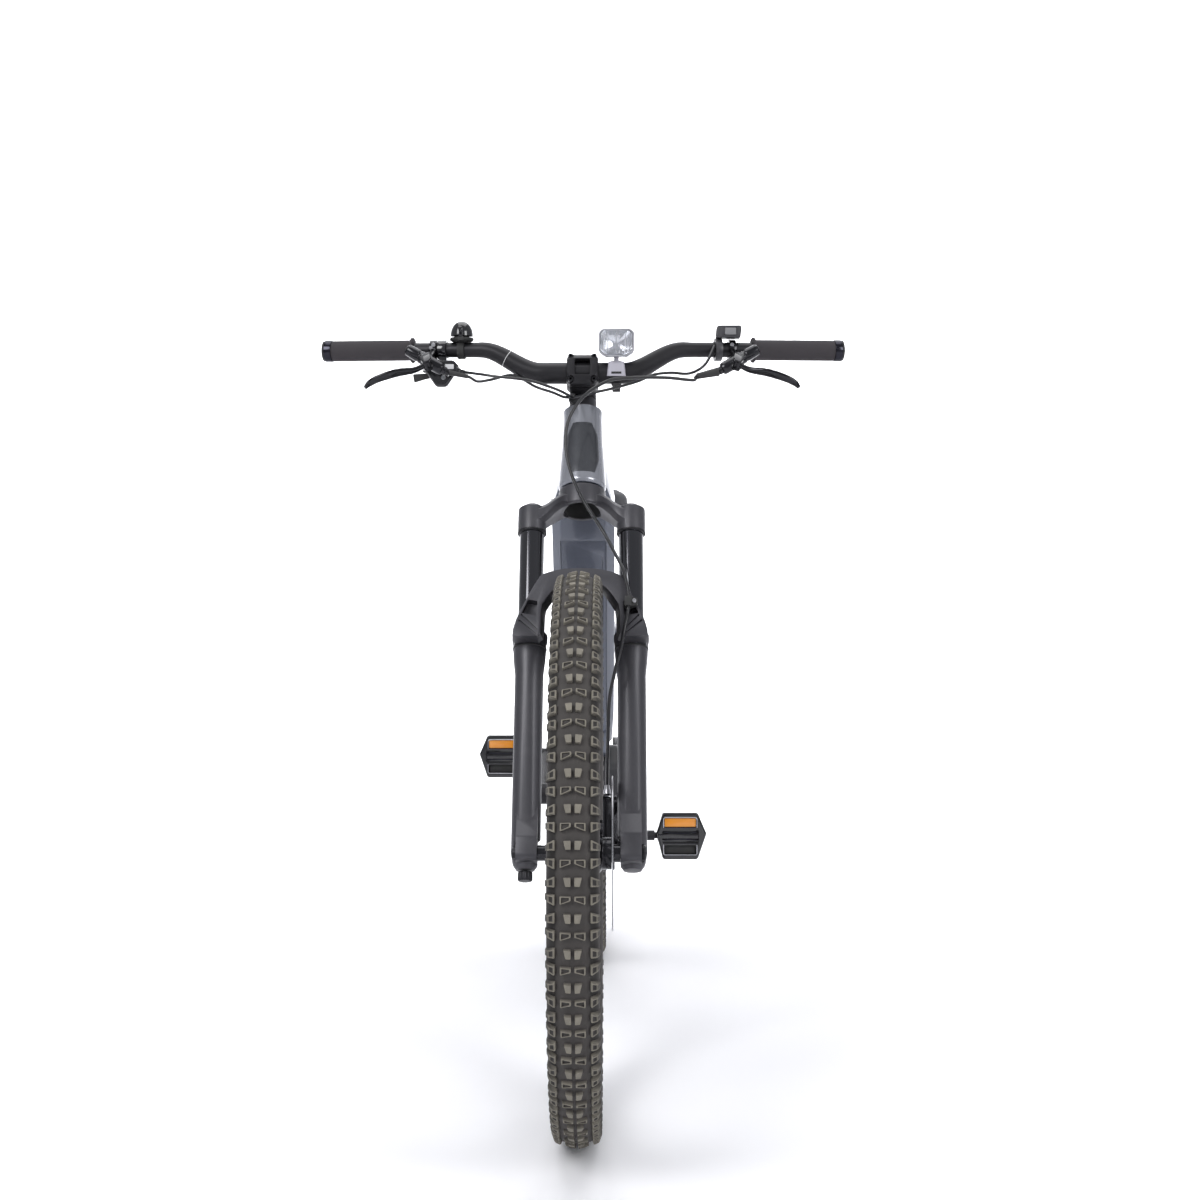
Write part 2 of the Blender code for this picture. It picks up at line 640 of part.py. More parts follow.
def build_fork_lowers(carrier):
    """Lower legs and bridge in one casting, and what it carries."""
    axle_up = -FORK_RISE
    leg = [
        (0.0120, axle_up - 0.0210), (0.0170, axle_up - 0.0130), (LEG_RADIUS, axle_up + 0.004),
        (LEG_RADIUS, -0.2900),
        (0.0225, -0.2560), (0.0225, -0.2500), (0.0250, -0.2480), (0.0245, SEAL_HEIGHT - 0.004),
        (0.0215, SEAL_HEIGHT)]
    legs = [turned(leg, FINE, leg_frame(side)) for side in (-1, 1)]
    root = [(0.0600, -0.2400), (0.0900, -0.2420), (0.0925, -0.2520), (0.0880, -0.2700), (0.0700, -0.2880),
            (0.0590, -0.2580)]
    roots = [prism([(side * x, z) for x, z in root], -0.0760, -0.0350,
                   FORK_FRAME @ FRONT_FRAME) for side in (-1, 1)]
    casting = fused(prism(arch_outline(), -0.0780, -0.0525, FORK_FRAME @ FRONT_FRAME), *legs, *roots)
    foot = prism(rounded([(-0.066, axle_up + 0.030), (-0.066, axle_up - 0.016), (-0.018, axle_up - 0.016),
                          (-0.014, axle_up + 0.030)], 0.012), LEG_X - 0.0160, LEG_X + 0.0120,
                          FORK_FRAME @ SIDE_FRAME)
    casting = fused(casting, foot)
    other_foot = prism(rounded([(-0.062, axle_up + 0.020), (-0.062, axle_up - 0.014),
                                (-0.030, axle_up - 0.014),
                                (-0.024, axle_up + 0.020)], 0.010), -LEG_X - 0.0120, -LEG_X + 0.0160,
                                FORK_FRAME @ SIDE_FRAME)
    casting = fused(casting, other_foot)
    for height in (-0.5380, -0.4640):
        tab = box((LEG_X - 0.0080, height - 0.0070, -0.0200), (LEG_X + 0.0060, height + 0.0070, 0.0080),
                  FORK_FRAME @ FRONT_FRAME)
        casting = fused(casting, tab)
    bore = [(STANCHION_RADIUS + GAP, axle_up + 0.0200), (STANCHION_RADIUS + GAP, -0.1000)]
    pocket = [(0.0620, -0.2010), (0.0700, -0.1990), (0.0800, -0.2200), (0.0640, -0.2240)]
    cutters = [turned(bore, FINE, leg_frame(side)) for side in (-1, 1)]
    cutters += [prism([(side * x, z) for x, z in pocket], -0.0900, -0.0680,
                      FORK_FRAME @ FRONT_FRAME) for side in (-1, 1)]
    inner = FRONT_HUB_WIDTH / 2
    cutters.append(box((-inner, -0.1, axle_up - 0.05), (inner, 0.03, axle_up + 0.022), FORK_FRAME))
    cutters.append(rod(fork_point(-0.12, -FORK_OFFSET, axle_up), fork_point(0.12, -FORK_OFFSET, axle_up),
                       FRONT_AXLE_RADIUS + GAP, ROUND))
    cutters.append(rod(fork_point(LEG_X + 0.0120, -FORK_OFFSET, axle_up),
                       fork_point(0.12, -FORK_OFFSET, axle_up),
                       0.0122, ROUND))
    casting = cut(casting, *cutters)
    add_piece("fork_lowers", casting, "fork_paint", carrier)

    axle = turned([
        (0.0060, -LEG_X - 0.0180), (FRONT_AXLE_RADIUS, -LEG_X - 0.0170),
        (FRONT_AXLE_RADIUS, LEG_X + 0.0125),
        (0.0110, LEG_X + 0.0125), (0.0110, LEG_X + 0.0160), (0.0095, LEG_X + 0.0175)], ROUND,
        x_frame(FRONT_AXLE))
    add_piece("front_thru_axle", axle, "black_alloy", carrier)

    block = prism(rounded([(0.0110, -0.5420), (0.0500, -0.5450), (0.0640, -0.5100), (0.0560, -0.4640),
                           (0.0250, -0.4560),
                           (0.0110, -0.4620)], 0.008), 0.0310, 0.0590, FORK_FRAME @ SIDE_FRAME)
    lugs = prism([(0.0084, -0.5460), (0.0200, -0.5460), (0.0240, -0.4580), (0.0084, -0.4560)], 0.0500,
                 LEG_X + 0.0060,
                 FORK_FRAME @ SIDE_FRAME)
    piston = rod(fork_point(0.0240, 0.0340, -0.5040), fork_point(0.0400, 0.0340, -0.5040), 0.0155, ROUND)
    slot = box((FRONT_ROTOR_X - 0.0020, -0.0100, -0.6000), (FRONT_ROTOR_X + 0.0020, 0.0592, -0.4000),
               FORK_FRAME)
    add_piece("front_brake_caliper", cut(fused(block, lugs, piston), slot), "black_alloy", carrier)


# Frame


def tube_frame(distance, lift=0.0):
    """A frame on the down tube's centre line whose local Z runs down the tube and local Y points up and back."""
    origin = DOWN_TUBE_TOP + DOWN_AXIS * distance + DOWN_NORMAL * lift
    turn = Matrix((
        (-1, 0, 0, origin.x), (0, DOWN_NORMAL.y, DOWN_AXIS.y, origin.y),
        (0, DOWN_NORMAL.z, DOWN_AXIS.z, origin.z),
        (0, 0, 0, 1)))
    return turn


def motor_outline(grow):
    """Side outline of the drive unit around the crank axis, as (y, z) points, grown by a clearance."""
    points = [(-0.150, 0.060), (-0.128, -0.030), (-0.090, -0.062), (0.005, -0.068), (0.040, -0.042),
              (0.046, 0.018), (0.022, 0.062), (-0.046, 0.090), (-0.115, 0.094)]
    middle = Vector((-0.050, 0.015))
    grown = []
    for point in points:
        outward = Vector(point) - middle
        grown.append(tuple(middle + outward * (1 + grow / outward.length)))
    return [(BB.y + a, BB.z + b) for a, b in rounded(grown, 0.022, 2)]


def build_main_frame(carrier):
    """Front triangle in one welded piece: head tube, top tube, battery tube, seat tube and motor mount."""
    head = turned([(0.0320, 0.0012), (0.0345, 0.006), (0.0335, 0.030), (0.0300, 0.080), (0.0285, 0.118),
                   (0.0292, HEAD_TUBE_LENGTH)],
                  FINE, FORK_FRAME)
    w = DOWN_TUBE_HALF_WIDTH
    d = DOWN_TUBE_HALF_DEPTH
    c = DOWN_TUBE_CHAMFER
    stations = [(-0.020, w - 0.016, d - 0.006), (0.045, w, d), (0.300, w, d),
                (DOWN_TUBE_LENGTH, w - 0.004, d)]
    rings = [[tube_frame(s) @ Vector((a, b, 0)) for a, b in chamfered(x, y, c)] for s, x, y in stations]
    down = loft(rings)
    top_start = fork_point(0, 0.010, HEAD_TUBE_LENGTH - 0.030)
    top_end = BB + SEAT_AXIS * (SEAT_TUBE_LENGTH - 0.052)
    top_path = [top_start, top_start.lerp(top_end, 0.35), top_start.lerp(top_end, 0.7), top_end]
    top = along(top_path, [chamfered(0.0225, 0.0240, 0.010), chamfered(0.0235, 0.0220, 0.010),
                           chamfered(0.0200, 0.0190, 0.009), chamfered(0.0165, 0.0185, 0.008)], X_AXIS)
    seat = rod(BB + SEAT_AXIS * 0.080, SEAT_TOP, SEAT_TUBE_RADIUS, ROUND)
    cradle = prism(rounded([
        (BB.y - 0.160, BB.z + 0.120), (BB.y - 0.156, BB.z + 0.085), (BB.y - 0.120, BB.z + 0.070),
        (BB.y, BB.z + 0.055),
        (BB.y + 0.030, BB.z), (BB.y + 0.0400, BB.z - 0.040), (BB.y + 0.0655, BB.z - 0.034),
        (BB.y + 0.0655, BB.z + 0.045),
        (BB.y + 0.058, BB.z + 0.105), (BB.y + 0.040, BB.z + 0.150), (BB.y - 0.030, BB.z + 0.150),
        (BB.y - 0.072, BB.z + 0.165)],
        0.008, 2), -0.038, 0.038, SIDE_FRAME)
    frame = fused(head, down, top, seat, cradle)

    pocket_low = -(d + 0.010)
    pocket = box((-BATTERY_HALF_WIDTH - 0.002, pocket_low, 0.080),
                 (BATTERY_HALF_WIDTH + 0.002, d - 0.012, 0.080 + BATTERY_LENGTH),
                 tube_frame(0))
    motor_space = prism(motor_outline(GAP * 2), -0.060, 0.060, SIDE_FRAME)
    bearing_bore = turned([(0.0262, -0.02), (0.0262, 0.0116), (0.0222, 0.0126), (0.0222, 0.2000)], FINE,
                          FORK_FRAME)
    seat_bore = rod(BB + SEAT_AXIS * 0.160, SEAT_TOP + SEAT_AXIS * 0.05, SEATPOST_RADIUS + GAP, ROUND)
    frame = cut(fused(frame, *rear_stays()), pocket, motor_space, bearing_bore, seat_bore)
    add_piece("main_frame", frame, "frame_paint", carrier)

    pack = prism(chamfered(BATTERY_HALF_WIDTH, d - 0.0110, 0.006), 0.0830, 0.080 + BATTERY_LENGTH - 0.003,
                 tube_frame(0, -0.0013))
    add_piece("battery_pack", pack, "black_plastic", carrier)
    cover = prism([(-w + c + 0.0004, -d), (w - c - 0.0004, -d), (w - c - 0.0004, -d + COVER_THICKNESS),
                   (-w + c + 0.0004, -d + COVER_THICKNESS)], 0.0803, 0.080 + BATTERY_LENGTH - 0.0003,
                   tube_frame(0))
    add_piece("battery_cover", cover, "frame_paint", carrier)

    collar = turned([(SEAT_TUBE_RADIUS + GAP, -0.017), (0.0228, -0.017), (0.0232, -0.004), (0.0225, -0.001),
                     (SEAT_TUBE_RADIUS + GAP, -0.001)], ROUND, axis_frame(SEAT_TOP, SEAT_AXIS), ring=True)
    ear = box((-0.008, -0.0310, -0.0155), (0.008, -0.0205, -0.0025), axis_frame(SEAT_TOP, SEAT_AXIS))
    slit = box((-0.0010, -0.0400, -0.0200), (0.0010, -0.0100, 0.0050), axis_frame(SEAT_TOP, SEAT_AXIS))
    bolt = rod(SEAT_TOP - SEAT_AXIS * 0.009 + Vector((-0.012, 0.0262, 0)),
               SEAT_TOP - SEAT_AXIS * 0.009 + Vector((0.013, 0.0262, 0)), 0.0030, 8)
    add_piece("seat_clamp", fused(cut(fused(collar, ear), slit), bolt), "black_alloy", carrier)


def build_motor(carrier):
    """The mid motor between the down tube and the chainstays, with its two round bosses."""
    body = prism(motor_outline(0), MOTOR_RIGHT, MOTOR_LEFT, SIDE_FRAME)
    bmesh.ops.bevel(body, geom=[e for e in body.edges if abs(e.verts[0].co.x - e.verts[1].co.x) < 1e-6],
                    offset=0.004, segments=1, affect="EDGES")
    right_boss = rod(BB + X_AXIS * (MOTOR_RIGHT + 0.002), BB + X_AXIS * (MOTOR_RIGHT - 0.0030), 0.0340, 20,
                     0.0320)
    left_boss = rod(BB + X_AXIS * (MOTOR_LEFT - 0.002), BB + X_AXIS * (MOTOR_LEFT + 0.0040), 0.0380, 20,
                    0.0340)
    bore = rod(BB - X_AXIS * 0.09, BB + X_AXIS * 0.09, SPINDLE_RADIUS + RUNNING, ROUND)
    add_piece("drive_motor", cut(fused(closed(body), right_boss, left_boss), bore), "black_plastic",
              carrier)


def rear_stays():
    """Chainstay, seatstay and dropout of each side, with the disc brake's mount on the left."""
    start_y = BB.y + 0.0635
    half_hub = REAR_HUB_WIDTH / 2
    sides = []
    for side in (-1, 1):
        chainstay = along([
            Vector((side * 0.0300, start_y, BB.z + 0.004)),
            Vector((side * 0.0345, start_y + 0.010, BB.z + 0.004)),
            Vector((side * 0.0500, start_y + 0.040, BB.z + 0.003)),
            Vector((side * 0.0600, start_y + 0.115, BB.z + 0.002)),
            Vector((side * 0.0715, start_y + 0.250, BB.z + 0.004)),
            Vector((side * 0.0785, REAR_AXLE.y - 0.030, WHEEL_RADIUS))],
            [chamfered(0.0070, 0.0140, 0.003), chamfered(0.0070, 0.0140, 0.003),
             chamfered(0.0075, 0.0130, 0.003),
             chamfered(0.0070, 0.0110, 0.003), chamfered(0.0060, 0.0100, 0.003),
             chamfered(0.0045, 0.0110, 0.002)], X_AXIS)
        stay_top = BB + SEAT_AXIS * (SEAT_TUBE_LENGTH - 0.085)
        inset = SEAT_TUBE_RADIUS - 0.0020
        seatstay = along([
            stay_top + Vector((side * inset, 0.002, 0.010)),
            stay_top + Vector((side * (inset + 0.004), 0.022, -0.007)),
            stay_top + Vector((side * 0.0490, 0.085, -0.061)),
            stay_top + Vector((side * 0.0580, 0.175, -0.140)),
            Vector((side * 0.0765, REAR_AXLE.y - 0.035, WHEEL_RADIUS + 0.055)),
            Vector((side * 0.0785, REAR_AXLE.y - 0.014, WHEEL_RADIUS + 0.020))],
            [chamfered(0.0055, 0.0100, 0.002), chamfered(0.0055, 0.0100, 0.002),
             chamfered(0.0060, 0.0085, 0.002),
             chamfered(0.0060, 0.0080, 0.002), chamfered(0.0045, 0.0080, 0.002),
             chamfered(0.0040, 0.0090, 0.002)], X_AXIS)
        plate = prism(rounded([
            (REAR_AXLE.y - 0.060, WHEEL_RADIUS - 0.014), (REAR_AXLE.y + 0.004, WHEEL_RADIUS - 0.022),
            (REAR_AXLE.y + 0.022, WHEEL_RADIUS + 0.002), (REAR_AXLE.y + 0.010, WHEEL_RADIUS + 0.024),
            (REAR_AXLE.y - 0.034, WHEEL_RADIUS + 0.062), (REAR_AXLE.y - 0.050, WHEEL_RADIUS + 0.040)],
            0.008, 2),
            side * (half_hub + 0.0003), side * (half_hub + 0.0085), SIDE_FRAME)
        half = fused(chainstay, closed(seatstay), plate)
        if side < 0:
            hanger = prism(rounded([(REAR_AXLE.y - 0.004, WHEEL_RADIUS - 0.010),
                                    (REAR_AXLE.y + 0.004, WHEEL_RADIUS - 0.040),
                                    (REAR_AXLE.y + 0.024, WHEEL_RADIUS - 0.040),
                                    (REAR_AXLE.y + 0.018, WHEEL_RADIUS - 0.004)],
                                   0.006, 2), -half_hub - 0.0082, -half_hub - 0.0020, SIDE_FRAME)
            half = fused(half, hanger)
        else:
            mount = box((0.0640, REAR_AXLE.y - 0.105, BB.z + 0.006),
                        (0.0740, REAR_AXLE.y - 0.045, WHEEL_RADIUS + 0.0160))
            half = fused(half, mount)
        hole = rod(REAR_AXLE - X_AXIS * 0.1, REAR_AXLE + X_AXIS * 0.1, REAR_AXLE_RADIUS + GAP, ROUND)
        inside = box((-half_hub, REAR_AXLE.y - 0.030, 0.3), (half_hub, REAR_AXLE.y + 0.05, 0.45))
        sides.append(cut(half, hole, inside))
    return sides


def build_rear_axle_and_caliper(carrier):
    """The rear thru axle and the rear brake caliper on the left chainstay."""
    reach = REAR_HUB_WIDTH / 2 + 0.0085
    axle = turned([
        (0.0045, -reach - 0.0030), (REAR_AXLE_RADIUS, -reach - 0.0020), (REAR_AXLE_RADIUS, reach + GAP),
        (0.0095, reach + GAP), (0.0095, reach + 0.0040), (0.0080, reach + 0.0055)], ROUND,
        x_frame(REAR_AXLE))
    add_piece("rear_thru_axle", axle, "black_alloy", carrier)

    low = WHEEL_RADIUS + 0.0160 + GAP
    block = prism(rounded([(REAR_AXLE.y - 0.108, low), (REAR_AXLE.y - 0.042, low),
                           (REAR_AXLE.y - 0.036, low + 0.030),
                           (REAR_AXLE.y - 0.060, low + 0.048), (REAR_AXLE.y - 0.098, low + 0.034)], 0.007,
                           2),
                  REAR_ROTOR_X - 0.0140, REAR_ROTOR_X + 0.0140, SIDE_FRAME)
    slot = box((REAR_ROTOR_X - 0.0020, REAR_AXLE.y - 0.104, low - 0.02),
               (REAR_ROTOR_X + 0.0020, REAR_AXLE.y, low + 0.07))
    add_piece("rear_brake_caliper", cut(block, slot), "black_alloy", carrier)


# Drive train


def pitch_radius(teeth):
    """Radius of the chain's pitch line on a toothed wheel."""
    return teeth * CHAIN_PITCH / (2 * math.pi)


def tip_radius(teeth):
    """Tooth tips end just under the chain, whose straight links cut across the pitch circle."""
    radius = pitch_radius(teeth)
    sag = radius * (1 - math.cos(math.pi / teeth))
    return radius - CHAIN_HALF_HEIGHT - sag - GAP


def toothed_disc(centre, teeth, x, thickness, flat_tips=False):
    """A toothed plate about an axis along X, with pointed or flat tooth tips."""
    tip = tip_radius(teeth)
    root = tip - TOOTH_HEIGHT
    teeth_points = ((-0.15, tip), (0.15, tip), (0.5, root)) if flat_tips else ((0, tip), (0.5, root))
    outline = []
    for i in range(teeth):
        for part, radius in teeth_points:
            angle = 2 * math.pi * (i + part) / teeth
            outline.append((radius * math.cos(angle), radius * math.sin(angle)))
    return prism(outline, x - thickness / 2, x + thickness / 2, x_frame(centre))


def sprocket_x(index):
    """Where a sprocket of the cassette lies, counted from the smallest."""
    return CHAINLINE - (CHAIN_SPROCKET - index) * SPROCKET_STEP


PIVOT_CAGE = REAR_AXLE + Vector((CHAINLINE - 0.012, 0.014, -0.0880))
PULLEY_UPPER = REAR_AXLE + Vector((0, 0.0200, -0.1010))
PULLEY_LOWER = REAR_AXLE + Vector((0, -0.0150, -0.1830))


def build_cassette(carrier):
    """All sprockets on their freehub core."""
    low = -REAR_HUB_WIDTH / 2 + 0.0008
    high = -0.0310 - GAP
    core = turned([(0.0120, low), (0.0120, sprocket_x(0) - 0.0012), (0.0165, sprocket_x(0) - 0.0006),
                   (0.0165, high)],
                  ROUND, x_frame(REAR_AXLE))
    discs = [toothed_disc(REAR_AXLE, teeth, sprocket_x(i), SPROCKET_THICKNESS) for i,
             teeth in enumerate(CASSETTE_TEETH)]
    bore = rod(REAR_AXLE - X_AXIS * 0.09, REAR_AXLE - X_AXIS * 0.02, REAR_AXLE_RADIUS + RUNNING, ROUND)
    add_piece("cassette", cut(fused(core, *discs), bore), "steel", carrier)


def build_crankset(carrier):
    """The chainring and both crank arms, of which the left carries the spindle."""
    ring = toothed_disc(BB, CHAINRING_TEETH, CHAINLINE, 0.0022, flat_tips=True)
    windows = []
    for i in range(5):
        angle = 2 * math.pi * (i + 0.5) / 5
        windows.append(prism(rounded([(0.057 * math.cos(angle + s),
                                       0.057 * math.sin(angle + s)) for s in (-0.46, 0.46)]
                                     + [(0.030 * math.cos(angle + s),
                                         0.030 * math.sin(angle + s)) for s in (0.36, -0.36)],
                                     0.006, 1), CHAINLINE - 0.01, CHAINLINE + 0.01, x_frame(BB)))
    bore = rod(BB - X_AXIS * 0.09, BB, SPINDLE_RADIUS + GAP, ROUND)
    add_piece("chainring", cut(ring, bore, *windows), "black_alloy", carrier)

    spindle_end = CHAINLINE - 0.0011
    for side, name in ((1, "crank_left"), (-1, "crank_right")):
        towards = CRANK_FORWARD * side
        eye = BB + towards * CRANK_LENGTH
        boss_inner = side * (MOTOR_LEFT + 0.0040 + GAP) if side > 0 else spindle_end - GAP
        boss = rod(BB + X_AXIS * boss_inner, BB + X_AXIS * side * (CRANK_INNER + CRANK_THICKNESS - 0.001),
                   0.0185, 20, 0.0175)
        path = [BB + towards * t + X_AXIS * side * (CRANK_INNER + CRANK_THICKNESS / 2) for t in (0.0, 0.05,
                                                                                                 0.11,
                                                                                                 CRANK_LENGTH)]
        arm = along(path, [chamfered(0.0075, 0.0160, 0.003), chamfered(0.0068, 0.0150, 0.003),
                           chamfered(0.0065, 0.0135, 0.003), chamfered(0.0065, 0.0125, 0.003)], X_AXIS)
        end = rod(eye + X_AXIS * side * CRANK_INNER, eye + X_AXIS * side * (CRANK_INNER + CRANK_THICKNESS),
                  0.0145, ROUND)
        axle = rod(eye + X_AXIS * side * (CRANK_INNER + 0.002),
                   eye + X_AXIS * side * (PEDAL_CENTRE + 0.036),
                   PEDAL_AXLE_RADIUS, SMALL)
        collar = rod(eye + X_AXIS * side * (CRANK_INNER + CRANK_THICKNESS - 0.001),
                     eye + X_AXIS * side * (PEDAL_CENTRE - 0.0425), 0.0085, SMALL)
        crank = fused(boss, arm, end, axle, collar)
        if side > 0:
            spindle = rod(BB + X_AXIS * (boss_inner + 0.004), BB + X_AXIS * spindle_end, SPINDLE_RADIUS,
                          ROUND)
            crank = fused(crank, spindle)
        add_piece(name, crank, "black_alloy", carrier)


def pedal_outline():
    """Hexagonal cage seen from the front, as (x, z) points from the pedal's centre."""
    return [(0.0440, 0.004), (0.0290, 0.0390), (-0.0290, 0.0390), (-0.0400, 0.004), (-0.0290, -0.0390),
            (0.0290, -0.0390)]


def build_pedal(side, name, carrier):
    """A pedal cage with its barrel and one reflector block."""
    centre = BB + CRANK_FORWARD * side * CRANK_LENGTH + X_AXIS * side * PEDAL_CENTRE
    outline = [(side * x, z) for x, z in pedal_outline()]
    frame = Matrix.Translation(centre) @ FRONT_FRAME
    cage = prism(rounded(outline, 0.008, 2), -0.0120, 0.0120, frame)
    windows = [box((-0.0265, low, -0.02), (0.0265, low + 0.0150, 0.02), frame) for low in (0.0150, -0.0300)]
    scoops = [box((-0.0300, -0.0125, low), (0.0300, 0.0125, low + 0.0080), frame) for low in (0.0080,
                                                                                              -0.0160)]
    cage = cut(cage, *windows, *scoops)
    barrel = rod(centre - X_AXIS * side * 0.0380, centre + X_AXIS * side * 0.0400, 0.0100, ROUND)
    bore = rod(centre - X_AXIS * side * 0.0600, centre + X_AXIS * side * 0.0365,
               PEDAL_AXLE_RADIUS + RUNNING, SMALL)
    add_piece(name, cut(fused(cage, barrel), bore), "gloss_black", carrier)
    lens = box((-0.0262, 0.0153, -0.0112), (0.0262, 0.0297, 0.0112), frame)
    add_piece(name + "_reflector", lens, "amber", carrier)


def tangent(first, second):
    """The straight chain run between two wheels, each given as (centre, radius, sense), as its two ends."""
    (c1, r1, s1), (c2, r2, s2) = first, second
    across = Vector((c2.y - c1.y, c2.z - c1.z))
    angle = math.atan2(across.y, across.x) + math.asin((s1 * r1 - s2 * r2) / across.length)
    normal = Vector((0, math.sin(angle), -math.cos(angle)))
    return c1 + normal * s1 * r1, c2 + normal * s2 * r2


def chain_route():
    """Points at an even spacing along the chain's closed pitch line, each with its outward direction."""
    rear = pitch_radius(CASSETTE_TEETH[CHAIN_SPROCKET])
    pulley = pitch_radius(PULLEY_TEETH)
    wheels = [(BB, pitch_radius(CHAINRING_TEETH), 1), (PULLEY_LOWER, pulley, 1), (PULLEY_UPPER, pulley, -1),
              (REAR_AXLE, rear, 1)]
    line = []
    for i, wheel in enumerate(wheels):
        centre, radius, sense = wheel
        leaves, _ = tangent(wheel, wheels[(i + 1) % len(wheels)])
        _, arrives = tangent(wheels[i - 1], wheel)
        begin = math.atan2(arrives.z - centre.z, arrives.y - centre.y)
        sweep = (math.atan2(leaves.z - centre.z, leaves.y - centre.y) - begin) * sense % (2 * math.pi)
        steps = max(2, int(sweep * radius / 0.002))
        for step in range(steps + 1):
            angle = begin + sense * sweep * step / steps
            line.append(Vector((CHAINLINE, centre.y + radius * math.cos(angle),
                                centre.z + radius * math.sin(angle))))
    line.append(line[0])
    lengths = [0.0]
    for a, b in zip(line, line[1:]):
        lengths.append(lengths[-1] + (b - a).length)
    links = 2 * round(lengths[-1] / CHAIN_PITCH / 2)
    spots = []
    index = 0
    for i in range(links):
        goal = lengths[-1] * i / links
        while lengths[index + 1] < goal:
            index += 1
        a, b = line[index], line[index + 1]
        run = (b - a).normalized()
        spots.append((a + run * (goal - lengths[index]), Vector((0, -run.z, run.y))))
    return spots


def build_chain(carrier):
    """A closed band of links whose plates are wide and narrow by turns."""
    rings = []
    for i, (spot, inward) in enumerate(chain_route()):
        half = CHAIN_OUTER_HALF_WIDTH if i % 2 else CHAIN_INNER_HALF_WIDTH
        rings.append([spot + X_AXIS * a * half + inward * b * CHAIN_HALF_HEIGHT for a,
                      b in ((-1, -1), (1, -1), (1, 1), (-1, 1))])
    add_piece("chain", loft(rings, ring=True), "steel", carrier)


def build_derailleur_body(carrier):
    """The arm that hangs from the dropout and carries the sprung cage."""
    hang = REAR_AXLE + Vector((-REAR_HUB_WIDTH / 2 - 0.0085, 0.0140, -0.0310))
    upper = rod(hang, hang - X_AXIS * 0.0160, 0.0100, ROUND)
    knuckle = rod(PIVOT_CAGE + X_AXIS * (-0.0003), PIVOT_CAGE - X_AXIS * 0.0200, 0.0125, ROUND)
    link = along([hang - X_AXIS * 0.0080, hang + Vector((-0.0070, 0.0060, -0.0280)),
                  PIVOT_CAGE - X_AXIS * 0.0120],
                 [chamfered(0.0065, 0.0080, 0.002), chamfered(0.0065, 0.0095, 0.002),
                  chamfered(0.0065, 0.0100, 0.002)], X_AXIS)
    add_piece("derailleur_body", fused(upper, link, knuckle), "black_alloy", carrier)


def build_cage(cage, upper, lower):
    """Two side plates with their pulley bolts, and the two pulleys between them."""
    outline = []
    for spot, radius, begin in ((PULLEY_UPPER, 0.0130, -0.7), (PULLEY_LOWER, 0.0110, 2.4)):
        for step in range(6):
            angle = begin + step * 0.62
            outline.append((spot.y + radius * math.cos(angle), spot.z + radius * math.sin(angle)))
    centre_x = Vector((CHAINLINE, 0, 0))
    outer_low = CHAINLINE - 0.0100
    outer = prism(outline, outer_low, outer_low + 0.0018, SIDE_FRAME)
    hub = rod(PIVOT_CAGE, PIVOT_CAGE + X_AXIS * (outer_low + 0.0009 - PIVOT_CAGE.x), 0.0115, ROUND)
    inner = prism(outline, CHAINLINE + 0.0056, CHAINLINE + 0.0070, SIDE_FRAME)
    pins = [rod(spot + X_AXIS * outer_low, spot + X_AXIS * (CHAINLINE + 0.0070), 0.0025,
                SMALL) for spot in (PULLEY_UPPER, PULLEY_LOWER)]
    add_piece("derailleur_cage", fused(outer, inner, hub, *pins), "black_alloy", cage)
    for spot, name, carrier in ((PULLEY_UPPER, "derailleur_pulley_upper", upper),
                                (PULLEY_LOWER, "derailleur_pulley_lower", lower)):
        wheel = toothed_disc(spot, PULLEY_TEETH, CHAINLINE, 0.0022)
        bush = rod(spot + centre_x - X_AXIS * 0.0040, spot + centre_x + X_AXIS * 0.0040, 0.0060, SMALL)
        bore = rod(spot + centre_x - X_AXIS * 0.01, spot + centre_x + X_AXIS * 0.01, 0.0025 + GAP, SMALL)
        add_piece(name, cut(fused(wheel, bush), bore), "black_plastic", carrier)


# Seat


def cushion_section():
    """Crown of the saddle as (share of the width, share of the height), with a shallow channel along the middle."""
    points = []
    for i in range(15):
        angle = math.pi * (1 - i / 14)
        across = math.cos(angle)
        channel = 0.08 * math.exp(-(across / 0.18) ** 2)
        points.append((across, math.sin(angle) ** 0.6 - channel))
    return points


